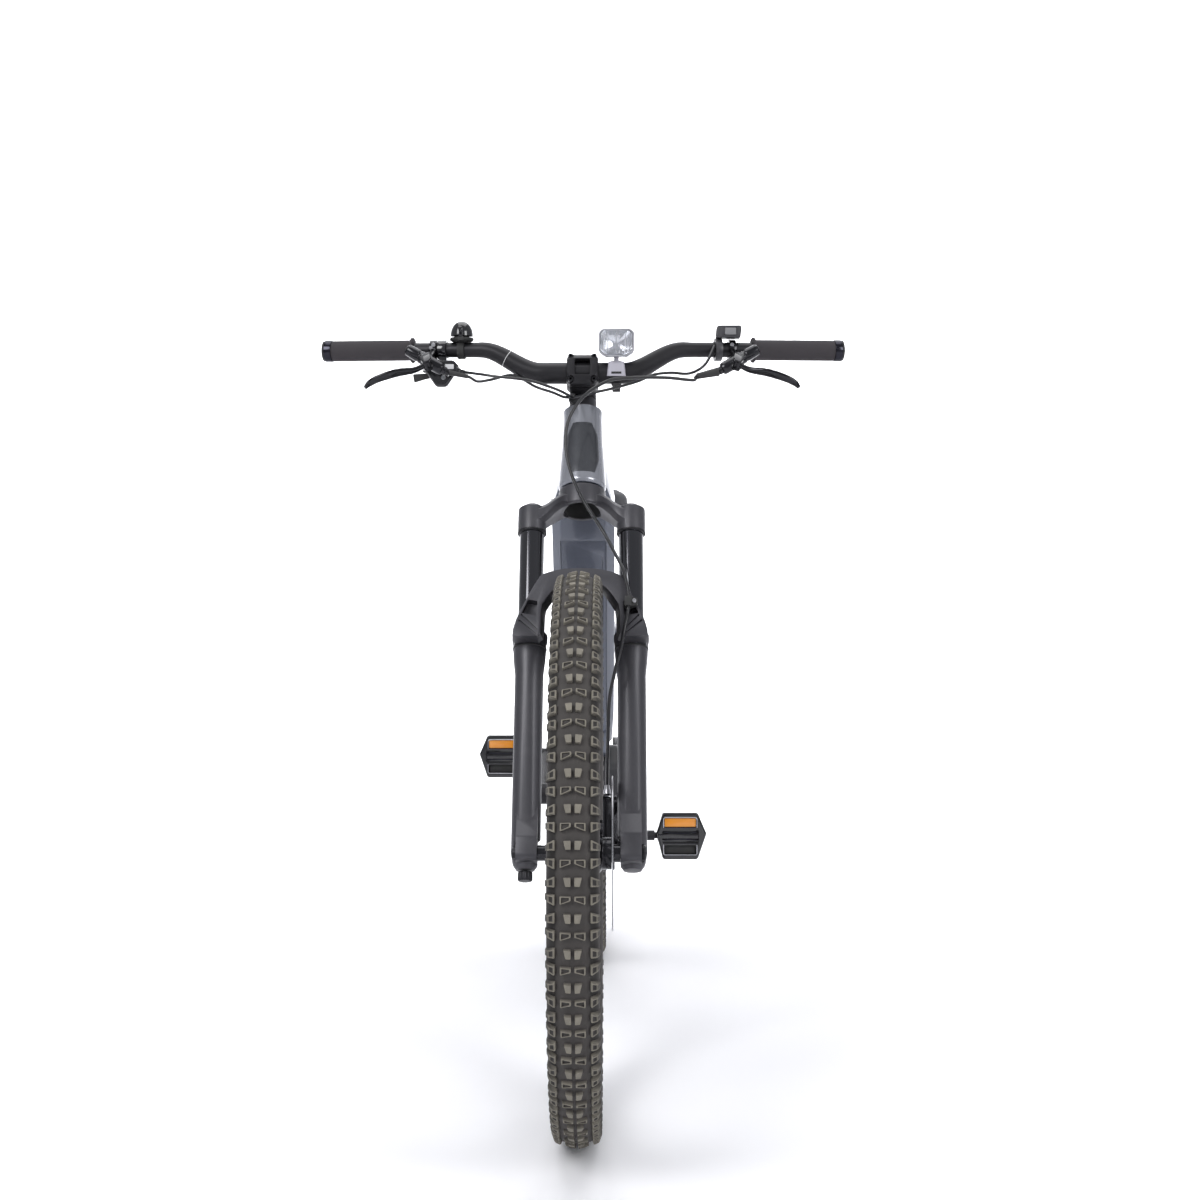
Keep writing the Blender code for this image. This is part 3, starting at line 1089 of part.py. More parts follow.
def build_seat(carrier):
    """The seatpost with its rail clamp, the saddle base with its rails, and the cushion."""
    post_top = SADDLE_CLAMP - SEAT_AXIS * 0.010
    post = rod(SEAT_TOP - SEAT_AXIS * 0.200, post_top, SEATPOST_RADIUS, ROUND)
    head = Matrix.Translation(SADDLE_CLAMP)
    lower = box((-0.0270, -0.0200, -0.0170), (0.0270, 0.0200, -0.0038), head)
    web = box((-0.0175, -0.0200, -0.0100), (0.0175, 0.0200, 0.0090), head)
    upper = box((-0.0270, -0.0200, 0.0038), (0.0270, 0.0200, 0.0080), head)
    add_piece("seatpost", fused(post, lower, web, upper), "black_alloy", carrier)

    stations = [(-0.158, 0.010, 0.030, 0.020), (-0.150, 0.018, 0.034, 0.014), (-0.110, 0.021, 0.038, 0.012),
                (-0.050, 0.026, 0.040, 0.012), (0.000, 0.038, 0.041, 0.012), (0.050, 0.060, 0.045, 0.012),
                (0.085, 0.072, 0.048, 0.013), (0.108, 0.068, 0.047, 0.018), (0.118, 0.050, 0.042, 0.026)]
    pad = []
    shell = []
    for y, half, crown, edge in stations:
        base = SADDLE_CLAMP + Vector((0, y, 0))
        pad.append([base + Vector((half * a, 0, edge + 0.0010 + (crown - edge) * b)) for a,
                    b in cushion_section()]
                   + [base + Vector((half * a, 0, edge + 0.0008)) for a in (0.5, 0, -0.5)])
        shell.append([base + Vector((half * 0.94 * a, 0, edge + b)) for a, b in (
            (-1, -0.0028), (-1, -0.0004), (-0.5, 0.0006), (0.5, 0.0006), (1, -0.0004), (1, -0.0028),
            (0.5, -0.0020), (-0.5, -0.0020))])
    add_piece("saddle_cushion", loft(pad), "saddle_cover", carrier)
    rails = []
    for side in (-1, 1):
        path = [SADDLE_CLAMP + Vector((side * x, y, z)) for x, y, z in (
            (0.0100, -0.1240, 0.0092), (0.0140, -0.1060, 0.0045), (0.0200, -0.0700, 0),
            (0.0220, -0.0300, 0),
            (0.0220, 0.0300, 0), (0.0270, 0.0560, 0.0012), (0.0330, 0.0760, 0.0090))]
        rails.append(along(path, [oval(RAIL_RADIUS, RAIL_RADIUS, 6)] * len(path), X_AXIS))
    add_piece("saddle_base_and_rails", fused(loft(shell), *rails), "black_plastic", carrier)


# Cockpit


def bar_height(x):
    """Rise of the handlebar's centre line above the clamp, at a distance from the middle."""
    t = min(max((abs(x) - 0.060) / 0.090, 0), 1)
    return BAR_RISE * t * t * (3 - 2 * t) + max(abs(x) - 0.145, 0) * 0.012


def bar_back(x):
    """How far the handlebar's centre line lies behind the clamp."""
    return BAR_SWEEP * max((abs(x) - 0.060) / (BAR_HALF_WIDTH - 0.060), 0) ** 1.15


def bar_point(x):
    """A point on the handlebar's centre line, at a distance from the middle."""
    return BAR_CENTRE + Vector((x, bar_back(x), bar_height(x)))


def bar_radius(x):
    """Radius of the handlebar at a distance from the middle."""
    t = min(max((abs(x) - 0.062) / 0.100, 0), 1)
    return BAR_CLAMP_RADIUS + (BAR_GRIP_RADIUS - BAR_CLAMP_RADIUS) * t


def bar_tangent(x):
    """Direction of the handlebar's centre line towards the bike's left."""
    return (bar_point(x + 0.001) - bar_point(x - 0.001)).normalized()


def bar_sleeve(x_start, x_end, profile, sides=12):
    """A sleeve on the bar between two places, from (share, outer radius) pairs, with the bar's clearance inside."""
    direction = (bar_point(x_end) - bar_point(x_start)).normalized()
    frame = axis_frame(bar_point(x_start), direction)
    length = (bar_point(x_end) - bar_point(x_start)).length
    inner = bar_radius(min(abs(x_start), abs(x_end))) + 0.0007
    outline = [(radius, share * length) for share, radius in profile]
    outline = [(inner, outline[0][1]), *outline, (inner, outline[-1][1])]
    return turned(outline, sides, frame, ring=True)


def build_handlebar(carrier):
    """The riser bar and its two grips."""
    places = [0, 0.050, 0.066, 0.082, 0.098, 0.114, 0.132, 0.150, 0.230, BAR_HALF_WIDTH]
    xs = [-x for x in reversed(places[1:])] + places
    rings = []
    for x in xs:
        direction = bar_tangent(x)
        across = Vector((0, 1, 0)) - direction * direction.y
        across.normalize()
        other = direction.cross(across)
        rings.append([bar_point(x) + across * a + other * b for a,
                      b in oval(bar_radius(x), bar_radius(x), 12)])
    add_piece("handlebar", loft(rings), "black_alloy", carrier)

    inner = BAR_HALF_WIDTH - GRIP_LENGTH
    for side, name in ((1, "grip_left"), (-1, "grip_right")):
        out = bar_tangent(side * BAR_HALF_WIDTH) * side
        start = bar_point(side * inner)
        length = (bar_point(side * BAR_HALF_WIDTH) - start).length
        grip = turned([
            (0.0170, 0), (0.0185, 0.002), (0.0185, GRIP_FLANGE), (GRIP_RADIUS, GRIP_FLANGE + 0.0015),
            (GRIP_RADIUS, length - 0.012), (0.0162, length - 0.011), (0.0162, length - 0.001),
            (0.0120, length + 0.0030),
            (0, length + 0.0030)], 14, axis_frame(start, out))
        bore = rod(start - out * 0.02, bar_point(side * BAR_HALF_WIDTH) + out * GAP,
                   BAR_GRIP_RADIUS + 0.0005, 14)
        add_piece(name, cut(grip, bore), "grip_rubber", carrier)


def build_stem(carrier):
    """The stem with its top cap, and its faceplate with four bolts."""
    up = STEM_CENTRE
    low = up - STEM_HEIGHT / 2
    high = up + STEM_HEIGHT / 2
    clamp = turned([(0.0185, low), (0.0200, low + 0.002), (0.0200, high - 0.002), (0.0185, high)], FINE,
                   FORK_FRAME)
    body = loft([[fork_point(a, back, up + b) for a, b in chamfered(width, height, 0.005)] for back, width,
                 height in (
        (0.0100, 0.0150, 0.0190), (-0.0150, 0.0160, 0.0180), (-0.0270, 0.0190, 0.0190),
        (-0.0320, STEM_HALF_WIDTH, 0.0245),
        (-STEM_REACH + 0.0010, STEM_HALF_WIDTH, 0.0245))])
    ears = box((-0.0110, 0.0150, low + 0.004), (0.0110, 0.0300, high - 0.004), FORK_FRAME)
    slit = box((-0.0010, 0.0100, low - 0.01), (0.0010, 0.0400, high + 0.01), FORK_FRAME)
    bore = turned([(STEERER_TOP_RADIUS + GAP, 0.1), (STEERER_TOP_RADIUS + GAP, 0.3)], FINE, FORK_FRAME)
    bar_bore = rod(BAR_CENTRE - X_AXIS * 0.05, BAR_CENTRE + X_AXIS * 0.05, BAR_CLAMP_RADIUS + GAP, FINE)
    gap_slot = box((-0.0260, -STEM_REACH - 0.002, up + 0.010), (0.0260, -STEM_REACH + 0.0008, up + 0.030),
                   FORK_FRAME)
    cap = turned([(0.0165, high - 0.0010), (0.0175, high + 0.0012), (0.0165, high + 0.0040),
                  (0.0060, high + 0.0052),
                  (0, high + 0.0052)], ROUND, FORK_FRAME)
    stem = fused(cut(fused(clamp, body, ears), slit, bore, bar_bore, gap_slot), cap)
    add_piece("stem", stem, "black_alloy", carrier)

    plate_rings = [[fork_point(a, back, up + b) for a, b in chamfered(width, height, 0.005)] for back,
                   width, height in (
        (-STEM_REACH - 0.0010, STEM_HALF_WIDTH, 0.0245), (-STEM_REACH - 0.0120, STEM_HALF_WIDTH, 0.0245),
        (-STEM_REACH - 0.0200, STEM_HALF_WIDTH - 0.001, 0.0150))]
    second_bore = rod(BAR_CENTRE - X_AXIS * 0.05, BAR_CENTRE + X_AXIS * 0.05, BAR_CLAMP_RADIUS + GAP, FINE)
    window = box((-0.0100, -0.0900, up - 0.0080), (0.0100, -STEM_REACH, up + 0.0080), FORK_FRAME)
    bolts = []
    for x in (-0.0172, 0.0172):
        for height in (-0.0195, 0.0195):
            start = fork_point(x, -STEM_REACH - 0.0110, up + height)
            bolts.append(rod(start, start - BACK_STEER * 0.0075, 0.0042, SMALL))
    plate = cut(loft(plate_rings), second_bore, window)
    add_piece("stem_faceplate", fused(plate, *bolts), "black_alloy", carrier)


MASTER_CLAMP_X = BAR_HALF_WIDTH - 0.1665
MASTER_LOW = BAR_CENTRE + Vector((MASTER_CLAMP_X - 0.0165, -0.0270, -0.0030))
MASTER_HIGH = BAR_CENTRE + Vector((MASTER_CLAMP_X + 0.0365, -0.0220, 0.0400))
MASTER_AXIS = (MASTER_HIGH - MASTER_LOW).normalized()
HOSE_PORT = MASTER_LOW - MASTER_AXIS * 0.0120
LEVER_PIVOT = BAR_CENTRE + Vector((MASTER_CLAMP_X + 0.0045, -0.0440, 0.0080))
LEVER_TIP = LEVER_PIVOT + Vector((0.0860, -0.0080, -0.0290))
LEVER_PULL = Vector((0, 0.804, 0.595))
LEVER_AXIS = (LEVER_TIP - LEVER_PIVOT).cross(LEVER_PULL).normalized()
LEVER_BACK = (Vector((0, 1, 0)) - LEVER_AXIS * LEVER_AXIS.y).normalized()
LEVER_HALF_HEIGHT = 0.0048
LEVER_PIN_RADIUS = 0.0024


def lever_frame():
    """A frame on the left lever's pivot: local Z along its pin, local X back towards the bar."""
    across = LEVER_AXIS.cross(LEVER_BACK)
    turn = Matrix((LEVER_BACK, across, LEVER_AXIS)).transposed().to_4x4()
    return Matrix.Translation(LEVER_PIVOT) @ turn


def build_brake_masters(carrier):
    """Both brake master cylinders with their bar clamps and lever yokes, mirror images of each other."""
    length = (MASTER_HIGH - MASTER_LOW).length
    for side, name in ((1, "brake_master_left"), (-1, "brake_master_right")):
        ring = bar_sleeve(MASTER_CLAMP_X - 0.0050, MASTER_CLAMP_X + 0.0050, ((0, 0.0150), (1, 0.0150)), 12)
        barrel = turned([(0.0045, -0.012), (0.0055, -0.001), (0.0085, 0), (0.0095, 0.004),
                         (0.0095, length * 0.6),
                         (0.0080, length - 0.003), (0.0060, length)], 12,
                         axis_frame(MASTER_LOW, MASTER_AXIS))
        neck = along([bar_point(MASTER_CLAMP_X) + Vector((0, -0.0125, -0.0040)),
                      MASTER_LOW + MASTER_AXIS * 0.0240],
                     [chamfered(0.0045, 0.0050, 0.0015)] * 2, X_AXIS)
        yoke = prism([(-0.0060, -0.0045), (0, -0.0070), (0.0200, -0.0070), (0.0200, 0.0070), (0, 0.0070),
                      (-0.0060, 0.0045)],
                     -0.0085, 0.0085, lever_frame())
        slot = box((-0.0200, -0.0200, -LEVER_HALF_HEIGHT - RUNNING),
                   (0.0085, 0.0200, LEVER_HALF_HEIGHT + RUNNING), lever_frame())
        pin = turned([(LEVER_PIN_RADIUS, -0.0080), (LEVER_PIN_RADIUS, 0.0080)], SMALL, lever_frame())
        space = rod(bar_point(MASTER_CLAMP_X - 0.02), bar_point(MASTER_CLAMP_X + 0.02),
                    BAR_GRIP_RADIUS + 0.0007, 12)
        solid = cut(fused(cut(yoke, slot), pin, neck, ring, barrel), space)
        add_piece(name, solid if side > 0 else mirrored(solid), "gloss_black", carrier)


def build_brake_lever(side, name, carrier):
    """A lever blade with its pivot eye and hooked tip."""
    eye = turned([(0.0062, -LEVER_HALF_HEIGHT), (0.0062, LEVER_HALF_HEIGHT)], 12, lever_frame())
    bore = turned([(LEVER_PIN_RADIUS + GAP, -0.0100), (LEVER_PIN_RADIUS + GAP, 0.0100)], SMALL,
                  lever_frame())
    run = LEVER_TIP - LEVER_PIVOT
    path = [LEVER_PIVOT + run * share - LEVER_BACK * bow for share, bow in (
        (0, 0), (0.22, 0.0030), (0.50, 0.0050), (0.80, 0.0030), (0.97, 0.0010), (1.05, 0.0050))]
    blade = along(path, [oval(0.0036, 0.0038, 8), oval(0.0048, 0.0040, 8), oval(0.0065, 0.0036, 8),
                         oval(0.0060, 0.0034, 8),
                         oval(0.0050, 0.0034, 8), oval(0.0030, 0.0025, 8)], LEVER_AXIS)
    lever = cut(fused(eye, blade), bore)
    add_piece(name, lever if side > 0 else mirrored(lever), "gloss_black", carrier)


SHIFTER_X = 0.0135 - MASTER_CLAMP_X
SHIFTER_PIVOT = bar_point(SHIFTER_X) + Vector((-0.006, 0.0060, -0.0340))


def build_shifter(body, shift, release):
    """Trigger shifter: a pod under the bar, with a thumb lever and a release lever."""
    pod_frame = Matrix.Translation(bar_point(SHIFTER_X) + Vector((0, 0.0, -0.0350))) @ FRONT_FRAME
    pod = prism(rounded([(-0.0250, 0.0080), (-0.0180, 0.0170), (0.0150, 0.0180), (0.0250, 0.0060),
                         (0.0100, -0.0180), (-0.0100, -0.0180)],
                        0.008, 2), -0.0200, 0.0030, pod_frame)
    ring = bar_sleeve(SHIFTER_X - 0.0060, SHIFTER_X + 0.0060, ((0, 0.0150), (1, 0.0150)))
    neck = box((-0.0060, 0.0100, -0.0100), (0.0060, 0.0260, 0.0030), pod_frame)
    space = rod(bar_point(SHIFTER_X - 0.02), bar_point(SHIFTER_X + 0.02), bar_radius(SHIFTER_X) + 0.0006,
                ROUND)
    post = rod(SHIFTER_PIVOT + Vector((0, -0.0050, 0)), SHIFTER_PIVOT + Vector((0, 0.0135, 0)), 0.0035,
               SMALL)
    add_piece("shifter_body", cut(fused(pod, neck, ring, post), space), "black_plastic", body)
    for name, carrier, y, reach, turn in (
            ("shift_lever", shift, 0.0045, 0.040, math.radians(190)),
            ("release_lever", release, 0.0092, 0.026, math.radians(160))):
        centre = SHIFTER_PIVOT + Vector((0, y - 0.0010, 0))
        frame = Matrix.Translation(centre) @ FRONT_FRAME
        hub = turned([(0.0038, -0.0016), (0.0075, -0.0016), (0.0075, 0.0016), (0.0038, 0.0016)], SMALL,
                     frame, ring=True)
        direction = Vector((math.cos(turn), math.sin(turn)))
        normal = Vector((-direction.y, direction.x))
        outline = []
        for along_share, half in ((0.006, 0.0040), (reach * 0.6, 0.0045), (reach, 0.0065)):
            outline.append(tuple(direction * along_share + normal * half))
        for along_share, half in ((reach, 0.0065), (reach * 0.6, 0.0045), (0.006, 0.0040)):
            outline.append(tuple(direction * along_share - normal * half))
        blade = prism(outline, -0.0014, 0.0014, frame)
        add_piece(name, fused(hub, closed(blade)), "black_plastic", carrier)


REMOTE_X = MASTER_CLAMP_X - 0.0205
REMOTE_CENTRE = bar_point(REMOTE_X) + Vector((0.0180, -0.0050, 0.0255))
REMOTE_BUTTON = REMOTE_CENTRE + Vector((0, -0.0125, 0))


def build_remote(body, button):
    """Assist remote beside the left grip, with one push button."""
    ring = bar_sleeve(REMOTE_X - 0.0050, REMOTE_X + 0.0050, ((0, 0.0168), (1, 0.0168)), 12)
    frame = Matrix.Translation(REMOTE_CENTRE) @ FRONT_FRAME
    case = prism(rounded([(-0.0220, -0.0095), (0.0150, -0.0095), (0.0170, 0.0090), (-0.0200, 0.0090)],
                         0.004, 2), -0.0110, 0.0110, frame)
    space = rod(bar_point(REMOTE_X - 0.02), bar_point(REMOTE_X + 0.03), BAR_GRIP_RADIUS + 0.0007, 12)
    pocket = box((-0.0085, -0.0055, -0.0200), (0.0085, 0.0055, -0.0070), frame)
    add_piece("remote_housing", cut(fused(case, ring), pocket, space), "grey_plastic", body)
    key = box((-0.0082, -0.0052, -0.0125), (0.0082, 0.0052, -0.0090), frame)
    add_piece("remote_button", key, "black_plastic", button)


BELL_X = 0.0415 - MASTER_CLAMP_X
BELL_BASE = bar_point(BELL_X) + Vector((0, 0.0, 0.0128))
BELL_STRIKER = BELL_BASE + Vector((0.0, -0.0200, 0.0060))


def build_bell(body, striker):
    """A dome bell on a bar strap, with its sprung striker in front."""
    ring = bar_sleeve(BELL_X - 0.0050, BELL_X + 0.0050, ((0, 0.0135), (1, 0.0135)))
    dome = turned([(0.0120, -0.0020), (0.0160, 0.0010), (0.0160, 0.0045), (0.0120, 0.0055),
                   (0.0170, 0.0070), (0.0165, 0.0160),
                   (0.0125, 0.0245), (0.0060, 0.0290), (0, 0.0300)], ROUND, Matrix.Translation(BELL_BASE))
    ears = box((-0.0045, -0.0230, -0.0010), (0.0045, -0.0100, 0.0040), Matrix.Translation(BELL_BASE))
    space = rod(bar_point(BELL_X - 0.02), bar_point(BELL_X + 0.02), bar_radius(BELL_X) + 0.0008, ROUND)
    add_piece("bell", cut(fused(dome, ring, ears), space), "gloss_black", body)
    lever = fused(box((-0.0030, -0.0010, -0.0017), (0.0030, 0.0010, 0.0060),
                      Matrix.Translation(BELL_STRIKER)),
                  rod(BELL_STRIKER + Vector((0, 0, 0.0040)), BELL_STRIKER + Vector((0, -0.0120, 0.0100)),
                      0.0022, 8, 0.0032))
    add_piece("bell_striker", lever, "gloss_black", striker)


LIGHT_X = 0.0500
LIGHT_PIVOT = BAR_CENTRE + Vector((LIGHT_X, -0.0120, 0.0290))
LIGHT_CENTRE = BAR_CENTRE + Vector((LIGHT_X, 0, 0.0410))


def build_headlight(bracket, head):
    """A clip-on lamp: a tapered bracket strapped to the bar, a tilting head and its clear lens."""
    strap = bar_sleeve(LIGHT_X - 0.0075, LIGHT_X + 0.0075, ((0, 0.0185), (1, 0.0185)))
    foot = loft([[BAR_CENTRE + Vector((LIGHT_X + a, b - 0.0080, z)) for a,
                  b in chamfered(w, d, 0.002)] for w, d, z in (
        (0.0080, 0.0100, -0.0060), (0.0130, 0.0110, 0.0100), (0.0145, 0.0100, 0.0155))])
    post = box((-0.0035, -0.0045, -0.0160), (0.0035, 0.0045, 0.0045), Matrix.Translation(LIGHT_PIVOT))
    peg = rod(LIGHT_PIVOT - X_AXIS * 0.0080, LIGHT_PIVOT + X_AXIS * 0.0080, 0.0028, SMALL)
    tail = box((LIGHT_X - 0.0060, -0.0130, -0.0280), (LIGHT_X + 0.0060, 0.0010, -0.0160),
               Matrix.Translation(BAR_CENTRE))
    space = rod(BAR_CENTRE + X_AXIS * (LIGHT_X - 0.03), BAR_CENTRE + X_AXIS * (LIGHT_X + 0.03),
                BAR_CLAMP_RADIUS + 0.0007, ROUND)
    add_piece("headlight_bracket", cut(fused(strap, foot, post, peg, tail), space), "grey_plastic", bracket)

    frame = Matrix.Translation(LIGHT_CENTRE) @ FRONT_FRAME
    shape = [(-0.0265, -0.0130), (-0.0160, -0.0200), (0.0160, -0.0200), (0.0265, -0.0130), (0.0265, 0.0160),
             (0.0200, 0.0210),
             (-0.0200, 0.0210), (-0.0265, 0.0160)]
    sections = ((0.0220, 0.55), (0.0100, 0.85), (-0.0300, 1.0))
    case = loft([[frame @ Vector((a * scale, b * scale, y)) for a, b in shape] for y, scale in sections])
    hollow = prism([(a * 0.88, b * 0.88) for a, b in shape], -0.0400, -0.0240, frame)
    post_slot = box((-0.0040, -0.0300, -0.0200), (0.0040, -0.0060, -0.0040), frame)
    pin_hole = rod(LIGHT_PIVOT - X_AXIS * 0.0084, LIGHT_PIVOT + X_AXIS * 0.0084, 0.0031, SMALL)
    add_piece("headlight_head", cut(case, hollow, post_slot, pin_hole), "grey_plastic", head)
    lens = prism([(a * 0.865, b * 0.865) for a, b in shape], -0.0320, -0.0243, frame)
    add_piece("headlight_lens", lens, "lens", head)


def build_cords(carrier):
    """The front brake's hose, and the bundle of hose, cable and lead that enters the headset cover."""
    start = HOSE_PORT - MASTER_AXIS * GAP * 2
    port = [start, start - MASTER_AXIS * 0.0200]
    front_hose = [*port, *(Vector(p) for p in (
        (0.140, -0.360, 1.016), (0.090, -0.374, 1.010), (0.020, -0.398, 1.000), (-0.025, -0.420, 0.970),
        (-0.038, -0.425, 0.930), (-0.034, -0.428, 0.890), (-0.010, -0.440, 0.845))),
        *(fork_point(*p) for p in (
            (0.0300, -0.0760, -0.1120), (0.0540, -0.0860, -0.1620), (0.0671, -0.0830, -0.2050),
            (0.0600, -0.0850, -0.2450),
            (0.0460, -0.0780, -0.2900), (0.0400, -0.0560, -0.3400), (0.0380, -0.0250, -0.4000),
            (0.0370, 0.0150, -0.4440)))]
    add_cord("front_brake_hose", front_hose, 0.0025, carrier, 2)

    entry = fork_point(-0.0130, -0.0260, HEAD_TUBE_LENGTH + 0.0100)
    outward = Vector((-0.25, -0.95, 0.20)).normalized()
    rear_brake = [*(Vector((-p.x, p.y, p.z)) for p in port), *(Vector(p) for p in (
        (-0.140, -0.362, 1.012), (-0.100, -0.372, 1.006), (-0.060, -0.376, 1.003),
        (-0.030, -0.366, 1.004)))]
    shift = [SHIFTER_PIVOT + Vector((0.0330, -0.0150, 0.0020)), *(Vector(p) for p in (
        (-0.130, -0.350, 1.036), (-0.085, -0.366, 1.024), (-0.045, -0.368, 1.014)))]
    remote = [bar_point(REMOTE_X) + Vector((-0.0056, -0.0142, 0.0040)), *(Vector(p) for p in (
        (0.160, -0.335, 1.058), (0.120, -0.330, 1.030), (0.080, -0.335, 1.012), (0.040, -0.346, 1.006),
        (0.012, -0.354, 1.006)))]
    tubes = []
    for route, place in ((rear_brake, -0.0040), (shift, 0), (remote, 0.0040)):
        path = smooth_route([*route, entry + outward * 0.0120 + X_AXIS * place,
                             entry + X_AXIS * place * 0.5], 2)
        tubes.append(along(path, [oval(0.0022, 0.0022, 6)] * len(path), Vector((0, 0, 1))))
    grommet = rod(entry - outward * 0.0060, entry + outward * 0.0080, 0.0075, 12, 0.0060)
    clearance = turned(cover_profile(GAP), FINE, FORK_FRAME, ring=True)
    add_piece("control_cables", cut(fused(grommet, *tubes), clearance), "hose", carrier)


def build_rebound_dial(carrier):
    """The dial under the right fork leg."""
    base = -FORK_RISE - 0.0210 - GAP
    foot = turned([(0, base - 0.0140), (0.0070, base - 0.0125), (0.0100, base - 0.0090),
                   (0.0100, base - 0.0010), (0.0085, base)],
                  16, axis_frame(fork_point(-LEG_X, -LEG_LEAD, 0), UP_STEER))
    add_piece("rebound_dial", foot, "black_plastic", carrier)


def clear_scene():
    """Removes whatever the start-up file holds."""
    for thing in list(bpy.data.objects):
        bpy.data.objects.remove(thing)


def main():
    """Builds every piece."""
    clear_scene()
    frame = pivot("frame_origin", Vector((0, 0, 0)))
    steering = pivot("steering_axis", CROWN_RACE)
    lowers = pivot("fork_axis", fork_point(LEG_X, -LEG_LEAD, -0.3))
    seat = pivot("seatpost_axis", SEAT_TOP)
    crank = pivot("crank_axis", BB)
    front = pivot("front_wheel_axis", FRONT_AXLE)
    rear = pivot("rear_wheel_axis", REAR_AXLE)
    cassette = pivot("cassette_axis", REAR_AXLE)
    build_main_frame(frame)
    build_motor(frame)
    build_rear_axle_and_caliper(frame)
    build_derailleur_body(frame)
    build_chain(frame)
    build_fork_top(steering)
    build_fork_lowers(lowers)
    build_front_wheel(front)
    build_rear_wheel(rear)
    build_cassette(cassette)
    build_cage(pivot("cage_axis", PIVOT_CAGE), pivot("upper_pulley_axis", PULLEY_UPPER),
               pivot("lower_pulley_axis", PULLEY_LOWER))
    build_crankset(crank)
    for side, name in ((1, "pedal_left"), (-1, "pedal_right")):
        spot = BB + CRANK_FORWARD * side * CRANK_LENGTH
        build_pedal(side, name, pivot(name + "_axis", spot))
    build_seat(seat)
    build_handlebar(steering)
    build_stem(steering)
    build_brake_masters(steering)
    for side, name in ((1, "brake_lever_left"), (-1, "brake_lever_right")):
        spot = Vector((side * LEVER_PIVOT.x, LEVER_PIVOT.y, LEVER_PIVOT.z))
        build_brake_lever(side, name, pivot(name + "_axis", spot))
    build_shifter(steering, pivot("shift_lever_axis", SHIFTER_PIVOT),
                  pivot("release_lever_axis", SHIFTER_PIVOT))
    build_remote(steering, pivot("remote_button_axis", REMOTE_BUTTON))
    build_bell(steering, pivot("bell_striker_axis", BELL_STRIKER))
    build_headlight(steering, pivot("headlight_axis", LIGHT_PIVOT))
    build_cords(steering)
    build_rebound_dial(pivot("rebound_axis", fork_point(-LEG_X, -LEG_LEAD, -FORK_RISE)))


main()
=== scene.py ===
"""Electric hardtail mountain bike, dressed in the frame of its solids.

Metres, +Z up, the bike faces -Y and its left side is +X. Each class makes one sub-assembly and
hands its pieces to a body of the frame.
"""
import enum
import json
import logging
import math
from dataclasses import dataclass, field
from typing import Sequence

import bmesh
import bpy
from mathutils import Matrix, Vector

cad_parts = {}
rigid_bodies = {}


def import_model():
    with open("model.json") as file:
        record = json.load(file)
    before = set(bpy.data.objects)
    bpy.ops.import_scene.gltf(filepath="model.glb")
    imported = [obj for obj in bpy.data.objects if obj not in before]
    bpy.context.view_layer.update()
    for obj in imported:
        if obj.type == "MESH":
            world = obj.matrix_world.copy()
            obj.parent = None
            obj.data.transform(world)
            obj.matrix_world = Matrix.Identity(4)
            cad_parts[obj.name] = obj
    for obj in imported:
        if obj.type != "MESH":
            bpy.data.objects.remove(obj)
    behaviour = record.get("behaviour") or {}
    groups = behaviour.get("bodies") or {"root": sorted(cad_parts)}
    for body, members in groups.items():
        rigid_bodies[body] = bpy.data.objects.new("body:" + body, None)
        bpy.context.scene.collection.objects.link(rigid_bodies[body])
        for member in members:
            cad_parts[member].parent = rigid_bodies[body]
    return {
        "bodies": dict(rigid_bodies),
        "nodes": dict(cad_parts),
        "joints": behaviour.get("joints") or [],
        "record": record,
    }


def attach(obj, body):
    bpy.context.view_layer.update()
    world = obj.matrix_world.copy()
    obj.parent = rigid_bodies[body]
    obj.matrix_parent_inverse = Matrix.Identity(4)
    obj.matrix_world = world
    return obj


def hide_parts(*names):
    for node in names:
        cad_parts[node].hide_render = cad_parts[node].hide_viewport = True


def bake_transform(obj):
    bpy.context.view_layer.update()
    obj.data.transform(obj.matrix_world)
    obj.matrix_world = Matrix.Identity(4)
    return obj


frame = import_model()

LOG = logging.getLogger("bike")
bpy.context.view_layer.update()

Point2 = tuple[float, float]
Outline = Sequence[Point2]
Colour = tuple[float, float, float]

X = Vector((1, 0, 0))
Z = Vector((0, 0, 1))
GAP = 0.0003

# Main dimensions, shared by several sub-assemblies
WHEEL_RADIUS = 0.3725
HALF_WHEELBASE = 0.610
HEAD_ANGLE = math.radians(66.5)
HEAD_TUBE_LENGTH = 0.130
FORK_OFFSET = 0.044
AXLE_TO_CROWN = 0.558
LEG_X = 0.071
LEG_LEAD = 0.030
BAR_CLAMP_RADIUS = 0.0159
BAR_GRIP_RADIUS = 0.0111
BAR_HALF_WIDTH = 0.388
BAR_BEND_START = 0.060
BAR_BEND_WIDTH = 0.090
BAR_BEND_RISE = 0.036
BAR_END_START = 0.145
BAR_END_SLOPE = 0.012
BAR_SWEEP = 0.042
BAR_TAPER_START = 0.062
BAR_TAPER_WIDTH = 0.100
STEM_REACH = 0.050
STEM_CENTRE = 0.1713
CHAIN_PITCH = 0.0127
CHAINRING_TEETH = 36
PULLEY_TEETH = 12
# The cog that the chain lies on
COG_TEETH = 22
CHAINLINE = -0.052
CRANK_LENGTH = 0.165
PEDAL_MIDDLE = 0.157
SEAT_TUBE_LENGTH = 0.440
SADDLE_HEIGHT = 0.506

